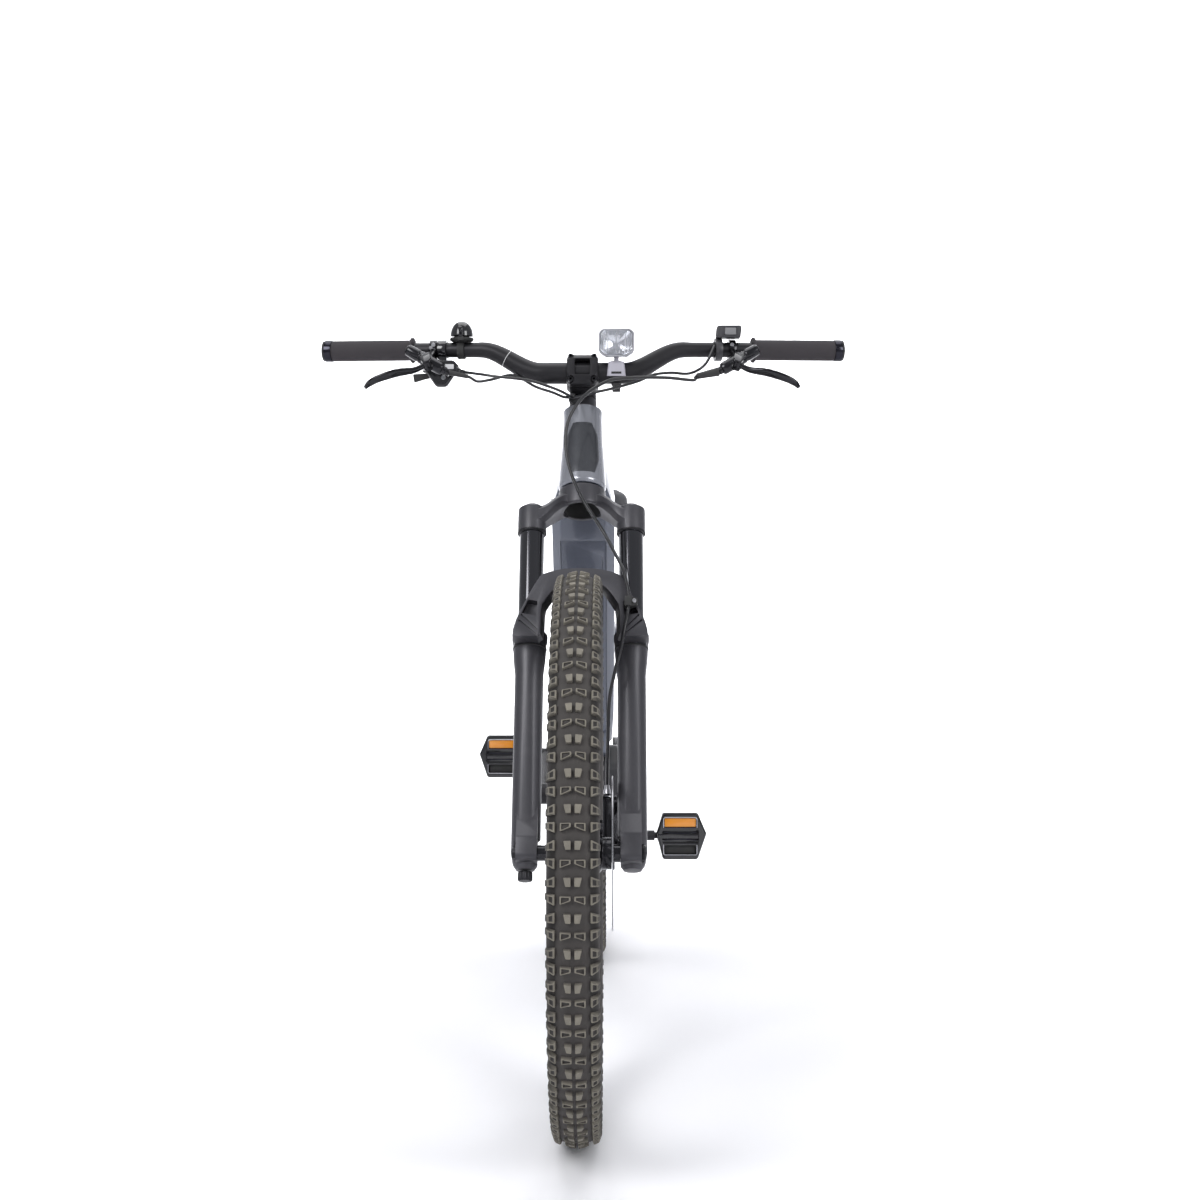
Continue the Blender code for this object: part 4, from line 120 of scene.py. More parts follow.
UP_STEER = Vector((0, math.cos(HEAD_ANGLE), math.sin(HEAD_ANGLE)))
BACK_STEER = Vector((0, math.sin(HEAD_ANGLE), -math.cos(HEAD_ANGLE)))
FRONT_AXLE = Vector((0, -HALF_WHEELBASE, WHEEL_RADIUS))
REAR_AXLE = Vector((0, HALF_WHEELBASE, WHEEL_RADIUS))
FORK_RISE = math.sqrt(AXLE_TO_CROWN ** 2 - FORK_OFFSET ** 2)
CROWN_RACE = FRONT_AXLE + BACK_STEER * FORK_OFFSET + UP_STEER * FORK_RISE
BB = Vector((0, 0.166048, 0.366))
SEAT_ANGLE = math.radians(74.5)
SEAT_AXIS = Vector((0, math.cos(SEAT_ANGLE), math.sin(SEAT_ANGLE)))
SEAT_TOP = BB + SEAT_AXIS * SEAT_TUBE_LENGTH
SADDLE_CLAMP = BB + SEAT_AXIS * (SADDLE_HEIGHT / math.sin(SEAT_ANGLE))
DOWN_TUBE_ANGLE = math.radians(48.7)
DOWN_AXIS = Vector((0, math.cos(DOWN_TUBE_ANGLE), -math.sin(DOWN_TUBE_ANGLE)))
DOWN_NORMAL = Vector((0, math.sin(DOWN_TUBE_ANGLE), math.cos(DOWN_TUBE_ANGLE)))
CRANK_DROP = math.radians(18.5)
CRANK_FORWARD = Vector((0, -math.cos(CRANK_DROP), -math.sin(CRANK_DROP)))

FORK_FRAME = Matrix.Translation(CROWN_RACE) @ Matrix.Rotation(HEAD_ANGLE - math.pi / 2, 4, "X")
SIDE_FRAME = Matrix(((0, 0, 1, 0), (1, 0, 0, 0), (0, 1, 0, 0), (0, 0, 0, 1)))
FRONT_FRAME = Matrix(((1, 0, 0, 0), (0, 0, 1, 0), (0, 1, 0, 0), (0, 0, 0, 1)))


def fork_point(x: float, back: float, up: float) -> Vector:
    """A world point beside, behind and above the crown race, square to the steering axis."""
    return CROWN_RACE + X * x + BACK_STEER * back + UP_STEER * up


BAR_CENTRE = fork_point(0, -STEM_REACH, STEM_CENTRE)


def bar_rise(x: float) -> float:
    """Height of the bar's centre line above its clamp at x."""
    t = min(max((abs(x) - BAR_BEND_START) / BAR_BEND_WIDTH, 0), 1)
    return BAR_BEND_RISE * t * t * (3 - 2 * t) + max(abs(x) - BAR_END_START, 0) * BAR_END_SLOPE


def bar_point(x: float) -> Vector:
    """A point of the bar's centre line at x."""
    share = max((abs(x) - BAR_BEND_START) / (BAR_HALF_WIDTH - BAR_BEND_START), 0)
    back = BAR_SWEEP * share ** 1.15
    return BAR_CENTRE + Vector((x, back, bar_rise(x)))


def bar_radius(x: float) -> float:
    """Outer radius of the bar at x."""
    t = min(max((abs(x) - BAR_TAPER_START) / BAR_TAPER_WIDTH, 0), 1)
    return BAR_CLAMP_RADIUS + (BAR_GRIP_RADIUS - BAR_CLAMP_RADIUS) * t


def between(stops: Sequence[Point2], at: float) -> float:
    """The value at a place in a table of (place, value) stops, joined by straight lines."""
    for (low, first), (high, second) in zip(stops, stops[1:]):
        if at <= high:
            return first + (second - first) * max(at - low, 0.0) / (high - low)
    return stops[-1][1]


def bar_tangent(x: float) -> Vector:
    """Direction of the bar at x, towards the bike's left."""
    return (bar_point(x + 0.001) - bar_point(x - 0.001)).normalized()


# Shader building


class Signal:
    """A shader socket that takes part in Python arithmetic."""

    def __init__(self, maker: "NodeMaker", socket: bpy.types.NodeSocket) -> None:
        """Keeps the socket and the maker of its tree."""
        self.maker = maker
        self.socket = socket

    def math(self, operation: str, other: "Signal | float" = 0.0, swap: bool = False,
             clamp: bool = False) -> "Signal":
        """Adds one Math node.

        Args:
            operation: Blender's name of the operation.
            other: the second operand.
            swap: True puts the other operand first.
            clamp: True keeps the result between 0 and 1.

        Returns:
            The result as a new signal.
        """
        first, second = (other, self) if swap else (self, other)
        return self.maker.node("ShaderNodeMath", {"operation": operation, "use_clamp": clamp},
                               {0: first, 1: second})

    def __add__(self, other: "Signal | float") -> "Signal":
        """self + other"""
        return self.math("ADD", other)

    def __radd__(self, other: float) -> "Signal":
        """other + self"""
        return self.math("ADD", other)

    def __sub__(self, other: "Signal | float") -> "Signal":
        """self - other"""
        return self.math("SUBTRACT", other)

    def __rsub__(self, other: float) -> "Signal":
        """other - self"""
        return self.math("SUBTRACT", other, swap=True)

    def __mul__(self, other: "Signal | float") -> "Signal":
        """self * other"""
        return self.math("MULTIPLY", other)

    def __rmul__(self, other: float) -> "Signal":
        """other * self"""
        return self.math("MULTIPLY", other)

    def __truediv__(self, other: "Signal | float") -> "Signal":
        """self / other"""
        return self.math("DIVIDE", other)

    def sine(self) -> "Signal":
        """The sine of the signal."""
        return self.math("SINE")

    def root(self) -> "Signal":
        """The square root of the signal."""
        return self.math("SQRT")

    def step(self, low: float, high: float) -> "Signal":
        """A soft step from 0 at low to 1 at high."""
        return ((self - low) / (high - low)).math("ADD", 0.0, clamp=True)


class NodeMaker:
    """Makes one material's nodes."""

    def __init__(self, name: str) -> None:
        """Starts a material with its Principled shader."""
        self.material = bpy.data.materials.new(name)
        self.material.use_nodes = True
        self.tree = self.material.node_tree
        self.shader = self.tree.nodes["Principled BSDF"]

    def wire(self, node: bpy.types.Node, values: dict[int | str, object]) -> None:
        """Sets or links the node's input sockets, named by key."""
        for key, value in values.items():
            socket = node.inputs[key]
            if isinstance(value, Signal):
                self.tree.links.new(value.socket, socket)
            elif isinstance(value, tuple) and len(value) == 3 and socket.type == "RGBA":
                socket.default_value = (*value, 1)
            else:
                socket.default_value = value

    def node(self, kind: str, settings: dict[str, object] | None = None,
             values: dict[int | str, object] | None = None, output: int | str = 0) -> Signal:
        """Makes one node.

        Args:
            kind: the node's type.
            settings: its properties, set before its sockets; "ramp" holds colour stops.
            values: its input values or links.
            output: which output to hand back.

        Returns:
            The chosen output as a signal.
        """
        node = self.tree.nodes.new(kind)
        for key, value in (settings or {}).items():
            if key == "ramp":
                self._stops(node, value)
            else:
                setattr(node, key, value)
        self.wire(node, values or {})
        return Signal(self, node.outputs[output])

    @staticmethod
    def _stops(node: bpy.types.Node, stops: Sequence[tuple[float, Colour]]) -> None:
        """Sets a colour ramp's stops."""
        elements = node.color_ramp.elements
        while len(elements) > len(stops):
            elements.remove(elements[-1])
        while len(elements) < len(stops):
            elements.new(1.0)
        for element, (place, colour) in zip(elements, stops):
            element.position = place
            element.color = (*colour, 1)

    def place(self) -> Signal:
        """Object coordinates."""
        return self.node("ShaderNodeTexCoord", output="Object")

    def parts(self, vector: Signal) -> tuple[Signal, Signal, Signal]:
        """The three components of a vector."""
        first = self.node("ShaderNodeSeparateXYZ", values={0: vector})
        outputs = first.socket.node.outputs
        return tuple(Signal(self, outputs[i]) for i in range(3))

    def moved(self, centre: Vector | Sequence[float], scale: Sequence[float] = (1, 1, 1)) -> Signal:
        """Object coordinates around a centre, then scaled."""
        shift = self.node("ShaderNodeVectorMath", {"operation": "SUBTRACT"},
                          {0: self.place(), 1: tuple(centre)})
        return self.node("ShaderNodeVectorMath", {"operation": "MULTIPLY"}, {0: shift, 1: tuple(scale)})

    def noise(self, scale: float, detail: float = 3.0, vector: Signal | None = None,
              rough: float = 0.55) -> Signal:
        """Fractal noise from 0 to 1."""
        return self.node("ShaderNodeTexNoise", {}, {
            "Vector": vector or self.place(), "Scale": scale, "Detail": detail, "Roughness": rough})

    def cells(self, scale: float, feature: str = "F1", vector: Signal | None = None) -> Signal:
        """Cell distance of a Voronoi pattern."""
        return self.node("ShaderNodeTexVoronoi", {"feature": feature},
                         {"Vector": vector or self.place(), "Scale": scale})

    def mix(self, share: "Signal | float", first: "Signal | Colour", second: "Signal | Colour") -> Signal:
        """A colour between two colours."""
        return self.node("ShaderNodeMix", {"data_type": "RGBA"}, {0: share, 6: first, 7: second}, output=2)

    def bump(self, height: Signal, distance: float, strength: float = 1.0) -> None:
        """Feeds a bump of the given height in metres to the shader's normal."""
        found = self.shader.inputs["Normal"]
        values = {"Height": height, "Distance": distance, "Strength": strength}
        if found.is_linked:
            values["Normal"] = Signal(self, found.links[0].from_socket)
        self.wire(self.shader, {"Normal": self.node("ShaderNodeBump", {}, values)})


# Finishes


@dataclass(frozen=True)
class Finish:
    """A surface: its colour, how it shines, and the record's slot it belongs to."""

    name: str
    slot: str
    colour: Colour
    roughness: float
    metallic: float = 0.0
    coat: float = 0.0
    coat_roughness: float = 0.05
    shine: float = 0.5

    def build(self) -> bpy.types.Material:
        """The finish as a Blender material, made once."""
        found = bpy.data.materials.get(self.name)
        if found:
            return found
        maker = NodeMaker(self.name)
        maker.wire(maker.shader, {"Base Color": self.colour, "Roughness": self.roughness,
                                  "Metallic": self.metallic, "Coat Weight": self.coat,
                                  "Coat Roughness": self.coat_roughness, "Specular IOR Level": self.shine})
        self.detail(maker)
        maker.material.diffuse_color = (*self.colour, 1)
        return maker.material

    def shade(self, factor: float) -> Colour:
        """The colour made lighter or darker."""
        return tuple(min(c * factor, 1.0) for c in self.colour)

    def detail(self, maker: NodeMaker) -> None:
        """Adds a cloudy change of tone and gloss, as handled surfaces have."""
        cloud = maker.noise(9.0, 4.0)
        maker.wire(maker.shader, {
            "Base Color": maker.mix(cloud, self.shade(0.90), self.shade(1.10)),
            "Roughness": self.roughness * 0.85 + cloud * (self.roughness * 0.3)})


@dataclass(frozen=True)
class Paint(Finish):
    """Metallic paint under clear lacquer, with fine flakes and a faint orange peel."""

    flake: float = 0.25

    def detail(self, maker: NodeMaker) -> None:
        """Flakes in the colour, orange peel in the lacquer and a film of dust."""
        flakes = maker.cells(2600.0)
        cloud = maker.noise(6.0, 5.0)
        speck = flakes.step(0.15, 0.45)
        colour = maker.mix(speck * self.flake, self.colour, self.shade(2.2))
        dust = maker.noise(42.0, 6.0).step(0.52, 0.78) * 0.04
        maker.wire(maker.shader,
                   {"Base Color": maker.mix(dust, maker.mix(cloud * 0.5, colour, self.shade(0.82)),
                                            (0.30, 0.29, 0.28)), "Roughness": self.roughness * 0.9 + cloud
                    * 0.08 + dust * 0.5})
        maker.bump(maker.noise(310.0, 1.0), 0.00004, 0.35)


@dataclass(frozen=True)
class Anodised(Finish):
    """Blasted and anodised alloy: a fine satin grain with faint handling marks."""

    grain: float = 1700.0

    def detail(self, maker: NodeMaker) -> None:
        """Fine grain in the normal, soft patches in the gloss."""
        cloud = maker.noise(14.0, 5.0)
        rub = maker.noise(160.0, 3.0, maker.moved((0, 0, 0), (1, 0.25, 1))).step(0.60, 0.72)
        maker.wire(maker.shader, {
            "Base Color": maker.mix(cloud, self.shade(0.85), self.shade(1.20)),
            "Roughness": self.roughness * 0.88 + cloud * 0.14 - rub * 0.05})
        maker.bump(maker.noise(self.grain, 2.0), 0.00003, 0.45)


@dataclass(frozen=True)
class Brushed(Finish):
    """Bare metal with fine turning lines around an axle."""

    centre: tuple[float, float, float] = (0.0, 0.0, 0.0)
    lines: float = 5200.0

    def detail(self, maker: NodeMaker) -> None:
        """Concentric lines by the distance from the axle, broken up by noise."""
        _, y, z = maker.parts(maker.moved(self.centre))
        radius = (y * y + z * z).root()
        broken = maker.noise(30.0, 3.0) * 6.0
        rings = (radius * self.lines + broken).sine() * 0.5 + 0.5
        heat = maker.noise(18.0, 4.0)
        maker.wire(maker.shader, {
            "Base Color": maker.mix(rings * 0.35 + heat * 0.3, self.shade(0.82), self.shade(1.12)),
            "Roughness": self.roughness * 0.8 + rings * 0.10 + heat * 0.08})
        maker.bump(rings, 0.00002, 0.5)


@dataclass(frozen=True)
class Moulded(Finish):
    """Injection-moulded plastic or rubber with an eroded texture."""

    grain: float = 950.0
    depth: float = 0.00006

    def detail(self, maker: NodeMaker) -> None:
        """A pebbled grain and a slight random greying."""
        pebble = maker.cells(self.grain)
        cloud = maker.noise(22.0, 5.0)
        maker.wire(maker.shader, {
            "Base Color": maker.mix(cloud * 0.8, self.shade(0.85), self.shade(1.25)),
            "Roughness": self.roughness * 0.9 + cloud * 0.15 - pebble * 0.06})
        maker.bump(pebble, self.depth, 0.6)


@dataclass(frozen=True)
class TyreRubber(Finish):
    """Tyre compound: dark carcass, knob tops paler from scuffing and painted light, painted shade between
    the shoulder blocks, ribbed sidewalls and a little dust.
    """

    centre: tuple[float, float, float] = (0.0, 0.0, 0.0)
    # Pale colour of the knob tops: scuffed rubber with painted light
    top: Colour = (0.215, 0.198, 0.162)

    def detail(self, maker: NodeMaker) -> None:
        """Mixes by the tread attribute, which is 1 on the knob tops, and darkens the carcass between the
        shoulder blocks as painted shade.
        """
        tread = maker.node("ShaderNodeAttribute", {"attribute_name": "tread"}, output="Fac")
        x, y, z = maker.parts(maker.moved(self.centre))
        radius = (y * y + z * z).root()
        grime = maker.noise(55.0, 6.0)
        speckle = maker.noise(900.0, 4.0)
        wall = 1.0 - radius.step(0.345, 0.352)
        lines = (radius * 3900.0).sine() * 0.5 + 0.5
        # Painted shade: the carcass between the shoulder blocks is darkened, clear of the sidewall.
        shoulder_gap_shade = (x * x).root().step(0.0182, 0.0202) * radius.step(0.352, 0.358)
        plain = maker.mix(grime, self.shade(0.75), self.shade(1.45))
        base = maker.mix(shoulder_gap_shade * 0.8, plain, self.shade(0.30))
        # Knob tops: scuffed rubber plus painted light on the tops and rims.
        scuffed_and_lit_top = maker.mix(speckle, tuple(c * 0.72 for c in self.top), tuple(c * 1.18 for c in self.top))
        share = tread * (0.42 + grime * 0.75)
        maker.wire(maker.shader, {
            "Base Color": maker.mix(share.math("ADD", 0.0, clamp=True), base, scuffed_and_lit_top),
            "Roughness": 0.70 + grime * 0.22})
        maker.bump(lines * wall * (1.0 - tread), 0.00010, 0.5)
        maker.bump(speckle, 0.00010, 0.7)


@dataclass(frozen=True)
class GripRubber(Finish):
    """Soft grip compound with a fine crosshatch."""

    def detail(self, maker: NodeMaker) -> None:
        """A hatch of two crossing waves along the bar."""
        x, y, z = maker.parts(maker.place())
        first = ((x + z * 0.8) * 4200.0).sine()
        second = ((x - z * 0.8) * 4200.0).sine()
        hatch = first.math("MAXIMUM", second)
        cloud = maker.noise(36.0, 5.0)
        maker.wire(maker.shader, {
            "Base Color": maker.mix(cloud, self.shade(0.8), self.shade(1.3)),
            "Roughness": 0.68 + cloud * 0.2})
        maker.bump(hatch, 0.00012, 0.55)


@dataclass(frozen=True)
class Leatherette(Finish):
    """Saddle cover: a pebbled grain with fine pores."""

    def detail(self, maker: NodeMaker) -> None:
        """Grain from cells of two sizes."""
        large = maker.cells(420.0, "SMOOTH_F1")
        small = maker.cells(1300.0)
        cloud = maker.noise(16.0, 5.0)
        maker.wire(maker.shader, {
            "Base Color": maker.mix(large, self.shade(1.35), self.shade(0.7)),
            "Roughness": self.roughness + cloud * 0.15 - large * 0.12})
        maker.bump(large, 0.00022, 0.6)
        maker.bump(small, 0.00006, 0.5)


@dataclass(frozen=True)
class Prismatic(Finish):
    """Reflector plastic with rows of small prisms behind a smooth face."""

    scale: float = 330.0

    def detail(self, maker: NodeMaker) -> None:
        """Checked prisms that brighten and darken the colour."""
        x, y, z = maker.parts(maker.place())
        rows = ((x * self.scale * 6.2832).sine() * (z * self.scale * 6.2832).sine()) * 0.5 + 0.5
        maker.wire(maker.shader, {
            "Base Color": maker.mix(rows, self.shade(0.55), self.shade(1.25)),
            "Roughness": 0.10 + rows * 0.10})
        maker.bump(rows, 0.0004, 0.6)


@dataclass(frozen=True)
class ClearLens(Finish):
    """Clear plastic lens with shallow flutes."""

    def detail(self, maker: NodeMaker) -> None:
        """Flutes across the lens; its clearness is set on the shader itself."""
        x, y, z = maker.parts(maker.place())
        flutes = (x * 1500.0).sine() * 0.5 + 0.5
        cloud = maker.noise(60.0, 3.0)
        maker.wire(maker.shader, {"Transmission Weight": 0.92, "IOR": 1.45,
                                  "Roughness": 0.03 + cloud * 0.05,
                                  "Base Color": maker.mix(cloud, self.shade(0.92), self.colour)})
        maker.bump(flutes, 0.0003, 0.5)


class Finishes:
    """The bike's finishes, named by what wears them."""

    frame_paint = Paint("frame_paint_blue_grey", "frame_paint", (0.080, 0.089, 0.116), 0.30, 0.55, 0.75)
    head_paint = Paint("head_tube_silver_grey", "frame_paint", (0.245, 0.252, 0.280), 0.24, 0.60, 0.85)
    head_panel = Paint("head_panel_graphite", "frame_paint", (0.034, 0.036, 0.042), 0.30, 0.45, 0.7,
                       flake=0.4)
    fork_paint = Paint("fork_satin_grey", "fork_paint", (0.050, 0.049, 0.056), 0.40, 0.45, 0.15, 0.35,
                       flake=0.12)
    stanchion = Anodised("stanchion_gloss_black", "gloss_black", (0.030, 0.030, 0.036), 0.075, 0.95, 1.0,
                         grain=300.0)
    black_alloy = Anodised("black_alloy_satin", "black_alloy", (0.020, 0.0195, 0.022), 0.40, 0.65)
    polished_black = Anodised("polished_black_alloy", "gloss_black", (0.016, 0.016, 0.019), 0.16, 0.85, 0.4)
    silver = Anodised("silver_alloy", "steel", (0.58, 0.58, 0.62), 0.26, 1.0)
    bolt_steel = Anodised("bolt_steel", "steel", (0.42, 0.42, 0.44), 0.30, 1.0)
    black_bolt = Anodised("black_bolt", "black_alloy", (0.030, 0.030, 0.033), 0.32, 0.9)
    front_disc = Brushed("front_disc_steel", "steel", (0.50, 0.50, 0.52), 0.24, 1.0,
                         centre=tuple(FRONT_AXLE))
    rear_disc = Brushed("rear_disc_steel", "steel", (0.50, 0.50, 0.52), 0.24, 1.0, centre=tuple(REAR_AXLE))
    cassette = Brushed("cassette_steel", "steel", (0.40, 0.40, 0.42), 0.30, 1.0, centre=tuple(REAR_AXLE),
                       lines=2600.0)
    chain = Anodised("chain_steel", "steel", (0.30, 0.295, 0.29), 0.30, 1.0)
    black_plastic = Moulded("black_plastic", "black_plastic", (0.017, 0.017, 0.019), 0.46)
    motor_plastic = Moulded("motor_cover", "black_plastic", (0.022, 0.022, 0.025), 0.50, 0.15, grain=620.0)
    grey_plastic = Moulded("grey_plastic", "grey_plastic", (0.175, 0.175, 0.190), 0.40)
    gloss_black = Anodised("gloss_black_cover", "gloss_black", (0.009, 0.009, 0.011), 0.09, 0.35, 0.8,
                           grain=260.0)
    dark_chrome = Anodised("dark_chrome", "gloss_black", (0.030, 0.030, 0.038), 0.12, 1.0, grain=400.0)
    cover_grey = Anodised("cover_grey", "black_alloy", (0.048, 0.046, 0.053), 0.42, 0.55)
    remote_shell = Moulded("remote_shell", "grey_plastic", (0.040, 0.039, 0.044), 0.36)
    lamp_bracket = Moulded("lamp_bracket", "grey_plastic", (0.40, 0.39, 0.44), 0.30)
    pale_strip = Moulded("pale_strip", "grey_plastic", (0.55, 0.55, 0.56), 0.35)
    front_tyre = TyreRubber("front_tyre_rubber", "tyre_rubber", (0.040, 0.036, 0.034), 0.8,
                            centre=tuple(FRONT_AXLE))
    rear_tyre = TyreRubber("rear_tyre_rubber", "tyre_rubber", (0.040, 0.036, 0.034), 0.8,
                           centre=tuple(REAR_AXLE))
    rubber = Moulded("seal_rubber", "grip_rubber", (0.014, 0.014, 0.015), 0.62)
    grip = GripRubber("grip_rubber", "grip_rubber", (0.0110, 0.0105, 0.0120), 0.8, shine=0.22)
    hose = Moulded("hose_jacket", "hose", (0.012, 0.012, 0.014), 0.30, grain=2200.0, depth=0.00002)
    reflector = Prismatic("amber_prisms", "amber", (0.95, 0.30, 0.015), 0.12, 0.0, 0.9)
    mirror = Anodised("lamp_mirror", "steel", (0.72, 0.73, 0.76), 0.07, 1.0, grain=500.0)
    lens = ClearLens("lamp_lens", "lens", (0.97, 0.98, 1.0), 0.04)
    leather = Leatherette("saddle_cover", "saddle_cover", (0.018, 0.018, 0.020), 0.52)
    thread = Moulded("saddle_thread", "saddle_cover", (0.10, 0.10, 0.105), 0.6, grain=3000.0)


class Body(enum.Enum):
    """The bodies of the frame, by how they move."""

    FRAME = "frame"
    SEAT = "seatpost_and_saddle"
    REAR_WHEEL = "rear_wheel"
    CASSETTE = "cassette"
    CAGE = "derailleur_cage"
    UPPER_PULLEY = "upper_pulley"
    LOWER_PULLEY = "lower_pulley"
    CRANKS = "crankset"
    LEFT_PEDAL = "left_pedal"
    RIGHT_PEDAL = "right_pedal"
    STEERING = "steering"
    LEFT_LEVER = "left_brake_lever"
    RIGHT_LEVER = "right_brake_lever"
    SHIFT_LEVER = "shift_lever"
    RELEASE_LEVER = "release_lever"
    BUTTON = "remote_button"
    STRIKER = "bell_striker"
    LAMP = "headlight"
    LOWERS = "fork_lowers"
    DIAL = "rebound_dial"
    FRONT_WHEEL = "front_wheel"


# Shapes


def axis_frame(origin: Vector, direction: Vector) -> Matrix:
    """A frame at origin whose local Z points along direction."""
    return Matrix.Translation(origin) @ direction.normalized().to_track_quat("Z", "Y").to_matrix().to_4x4()


def x_frame(origin: Vector) -> Matrix:
    """A frame at origin whose local Z is world +X, local X is +Y and local Y is +Z."""
    return Matrix.Translation(origin) @ SIDE_FRAME


def closed(bm: bmesh.types.BMesh) -> bmesh.types.BMesh:
    """Points every face outward."""
    bmesh.ops.recalc_face_normals(bm, faces=bm.faces)
    return bm


def bridge(bm: bmesh.types.BMesh, first: list, second: list) -> None:
    """Joins two loops of vertices, of which one may be a single pole."""
    count = max(len(first), len(second))
    for i in range(count):
        j = (i + 1) % count
        if len(first) == 1:
            bm.faces.new((first[0], second[j], second[i]))
        elif len(second) == 1:
            bm.faces.new((first[i], first[j], second[0]))
        else:
            bm.faces.new((first[i], first[j], second[j], second[i]))


def loft(rings: Sequence[Sequence[Vector]], ring: bool = False) -> bmesh.types.BMesh:
    """A solid through a row of point loops.

    Args:
        rings: the loops, each with as many points as the others, or one for a pole.
        ring: True closes the row onto itself, False closes it with end caps.

    Returns:
        The closed mesh.
    """
    bm = bmesh.new()
    loops = [[bm.verts.new(point) for point in points] for points in rings]
    for first, second in zip(loops, loops[1:]):
        bridge(bm, first, second)
    if ring:
        bridge(bm, loops[-1], loops[0])
    else:
        for end in (loops[0], loops[-1]):
            if len(end) > 2:
                bm.faces.new(end)
    return closed(bm)


def turned(profile: Sequence[Point2], segments: int, place: Matrix,
           ring: bool = False) -> bmesh.types.BMesh:
    """A turned solid whose profile lists (radius, height) along the frame's local Z."""
    rings = []
    for radius, height in profile:
        if radius < 1e-9:
            rings.append([place @ Vector((0, 0, height))])
            continue
        angles = [2 * math.pi * i / segments for i in range(segments)]
        rings.append([place @ Vector((radius * math.cos(a), radius * math.sin(a), height)) for a in angles])
    return loft(rings, ring)


def soft_profile(profile: Sequence[Point2], radius: float = 0.0012, steps: int = 2) -> list[Point2]:
    """The open profile with its inner corners rounded."""
    points = [profile[0]]
    for before, here, after in zip(profile, profile[1:], profile[2:]):
        a, b, c = Vector(before), Vector(here), Vector(after)
        first, second = a - b, c - b
        if first.length < 1e-6 or second.length < 1e-6 or first.angle(second) > 3.0:
            points.append(here)
            continue
        reach = min(radius, first.length * 0.45, second.length * 0.45)
        start, end = b + first.normalized() * reach, b + second.normalized() * reach
        for step in range(steps + 1):
            t = step / steps
            points.append(tuple(start * (1 - t) ** 2 + b * 2 * t * (1 - t) + end * t ** 2))
    points.append(profile[-1])
    return points


def prism(outline: Outline, low: float, high: float, place: Matrix) -> bmesh.types.BMesh:
    """An outline extruded from low to high along the frame's local Z."""
    return loft([[place @ Vector((a, b, height)) for a, b in outline] for height in (low, high)])


def pillow(outline: Outline, low: float, high: float, place: Matrix, edge: float,
           steps: int = 3) -> bmesh.types.BMesh:
    """A prism whose two rims are rounded by drawing the outline in towards its middle.

    Args:
        outline: local (x, y) points.
        low: where the solid starts along local Z.
        high: where it ends.
        place: its frame.
        edge: radius of the rounded rims.
        steps: how many facets a rim has.

    Returns:
        The closed mesh.
    """
    middle = sum((Vector(p) for p in outline), Vector((0, 0))) / len(outline)
    levels = []
    for step in range(steps + 1):
        angle = math.pi / 2 * step / steps
        levels.append((low + edge * (1 - math.sin(angle)), edge * (1 - math.cos(angle))))
    levels = [(z, e) for z, e in reversed(levels)] + [(low + high - z, e) for z, e in levels]
    rings = []
    for height, inset in levels:
        ring = []
        for a, b in outline:
            out = Vector((a, b)) - middle
            point = middle + out * max(1 - inset / max(out.length, 1e-6), 0.2)
            ring.append(place @ Vector((point.x, point.y, height)))
        rings.append(ring)
    return loft(rings)


def box(low: Sequence[float], high: Sequence[float], place: Matrix | None = None) -> bmesh.types.BMesh:
    """A block between two corners of the frame."""
    outline = rectangle(low[0], low[1], high[0], high[1])
    return prism(outline, low[2], high[2], place or Matrix.Identity(4))


def rod(start: Vector, end: Vector, radius: float, sides: int = 32,
        end_radius: float | None = None) -> bmesh.types.BMesh:
    """A straight round bar, or a cone when it has an end radius."""
    return turned([(radius, 0), (end_radius or radius, (end - start).length)], sides,
                  axis_frame(start, end - start))


def rounded(outline: Outline, radius: float, steps: int = 5) -> list[Point2]:
    """The closed outline with each corner replaced by a short arc."""
    points = []
    for i, corner in enumerate(outline):
        here = Vector(corner)
        before = Vector(outline[i - 1]) - here
        after = Vector(outline[(i + 1) % len(outline)]) - here
        half = before.angle(after) / 2
        reach = min(radius / math.tan(half), before.length * 0.45, after.length * 0.45)
        start, end = here + before.normalized() * reach, here + after.normalized() * reach
        for step in range(steps + 1):
            t = step / steps
            points.append(tuple(start * (1 - t) ** 2 + here * 2 * t * (1 - t) + end * t ** 2))
    return points


def rectangle(left: float, low: float, right: float, high: float) -> list[Point2]:
    """The corners of a rectangle, from its lowest left one round."""
    return [(left, low), (right, low), (right, high), (left, high)]


def plate(half_width: float, half_height: float, radius: float, steps: int = 4) -> list[Point2]:
    """A rectangle with round corners."""
    w, h = half_width, half_height
    return rounded([(w, -h), (w, h), (-w, h), (-w, -h)], radius, steps)


def faceted(half_width: float, half_height: float, chamfer: float, soft: float = 0.003) -> list[Point2]:
    """A rectangle with broad cut corners, whose edges are softened."""
    w, h, c = half_width, half_height, chamfer
    corners = [(w, -h + c), (w, h - c), (w - c, h), (-w + c, h), (-w, h - c), (-w, -h + c), (-w + c, -h),
               (w - c, -h)]
    return rounded(corners, soft, 3)


def oval(half_width: float, half_height: float, sides: int = 24) -> list[Point2]:
    """An ellipse."""
    angles = [2 * math.pi * i / sides for i in range(sides)]
    return [(half_width * math.cos(a), half_height * math.sin(a)) for a in angles]


def along(path: Sequence[Vector], outlines: Sequence[Outline], side: Vector) -> bmesh.types.BMesh:
    """A loft whose outlines follow a path, with their local X near the side direction."""
    rings = []
    for i, outline in enumerate(outlines):
        ahead = path[min(i + 1, len(path) - 1)] - path[max(i - 1, 0)]
        across = (side - ahead * (side.dot(ahead) / ahead.length_squared)).normalized()
        other = ahead.cross(across).normalized()
        rings.append([path[i] + across * a + other * b for a, b in outline])
    return loft(rings)


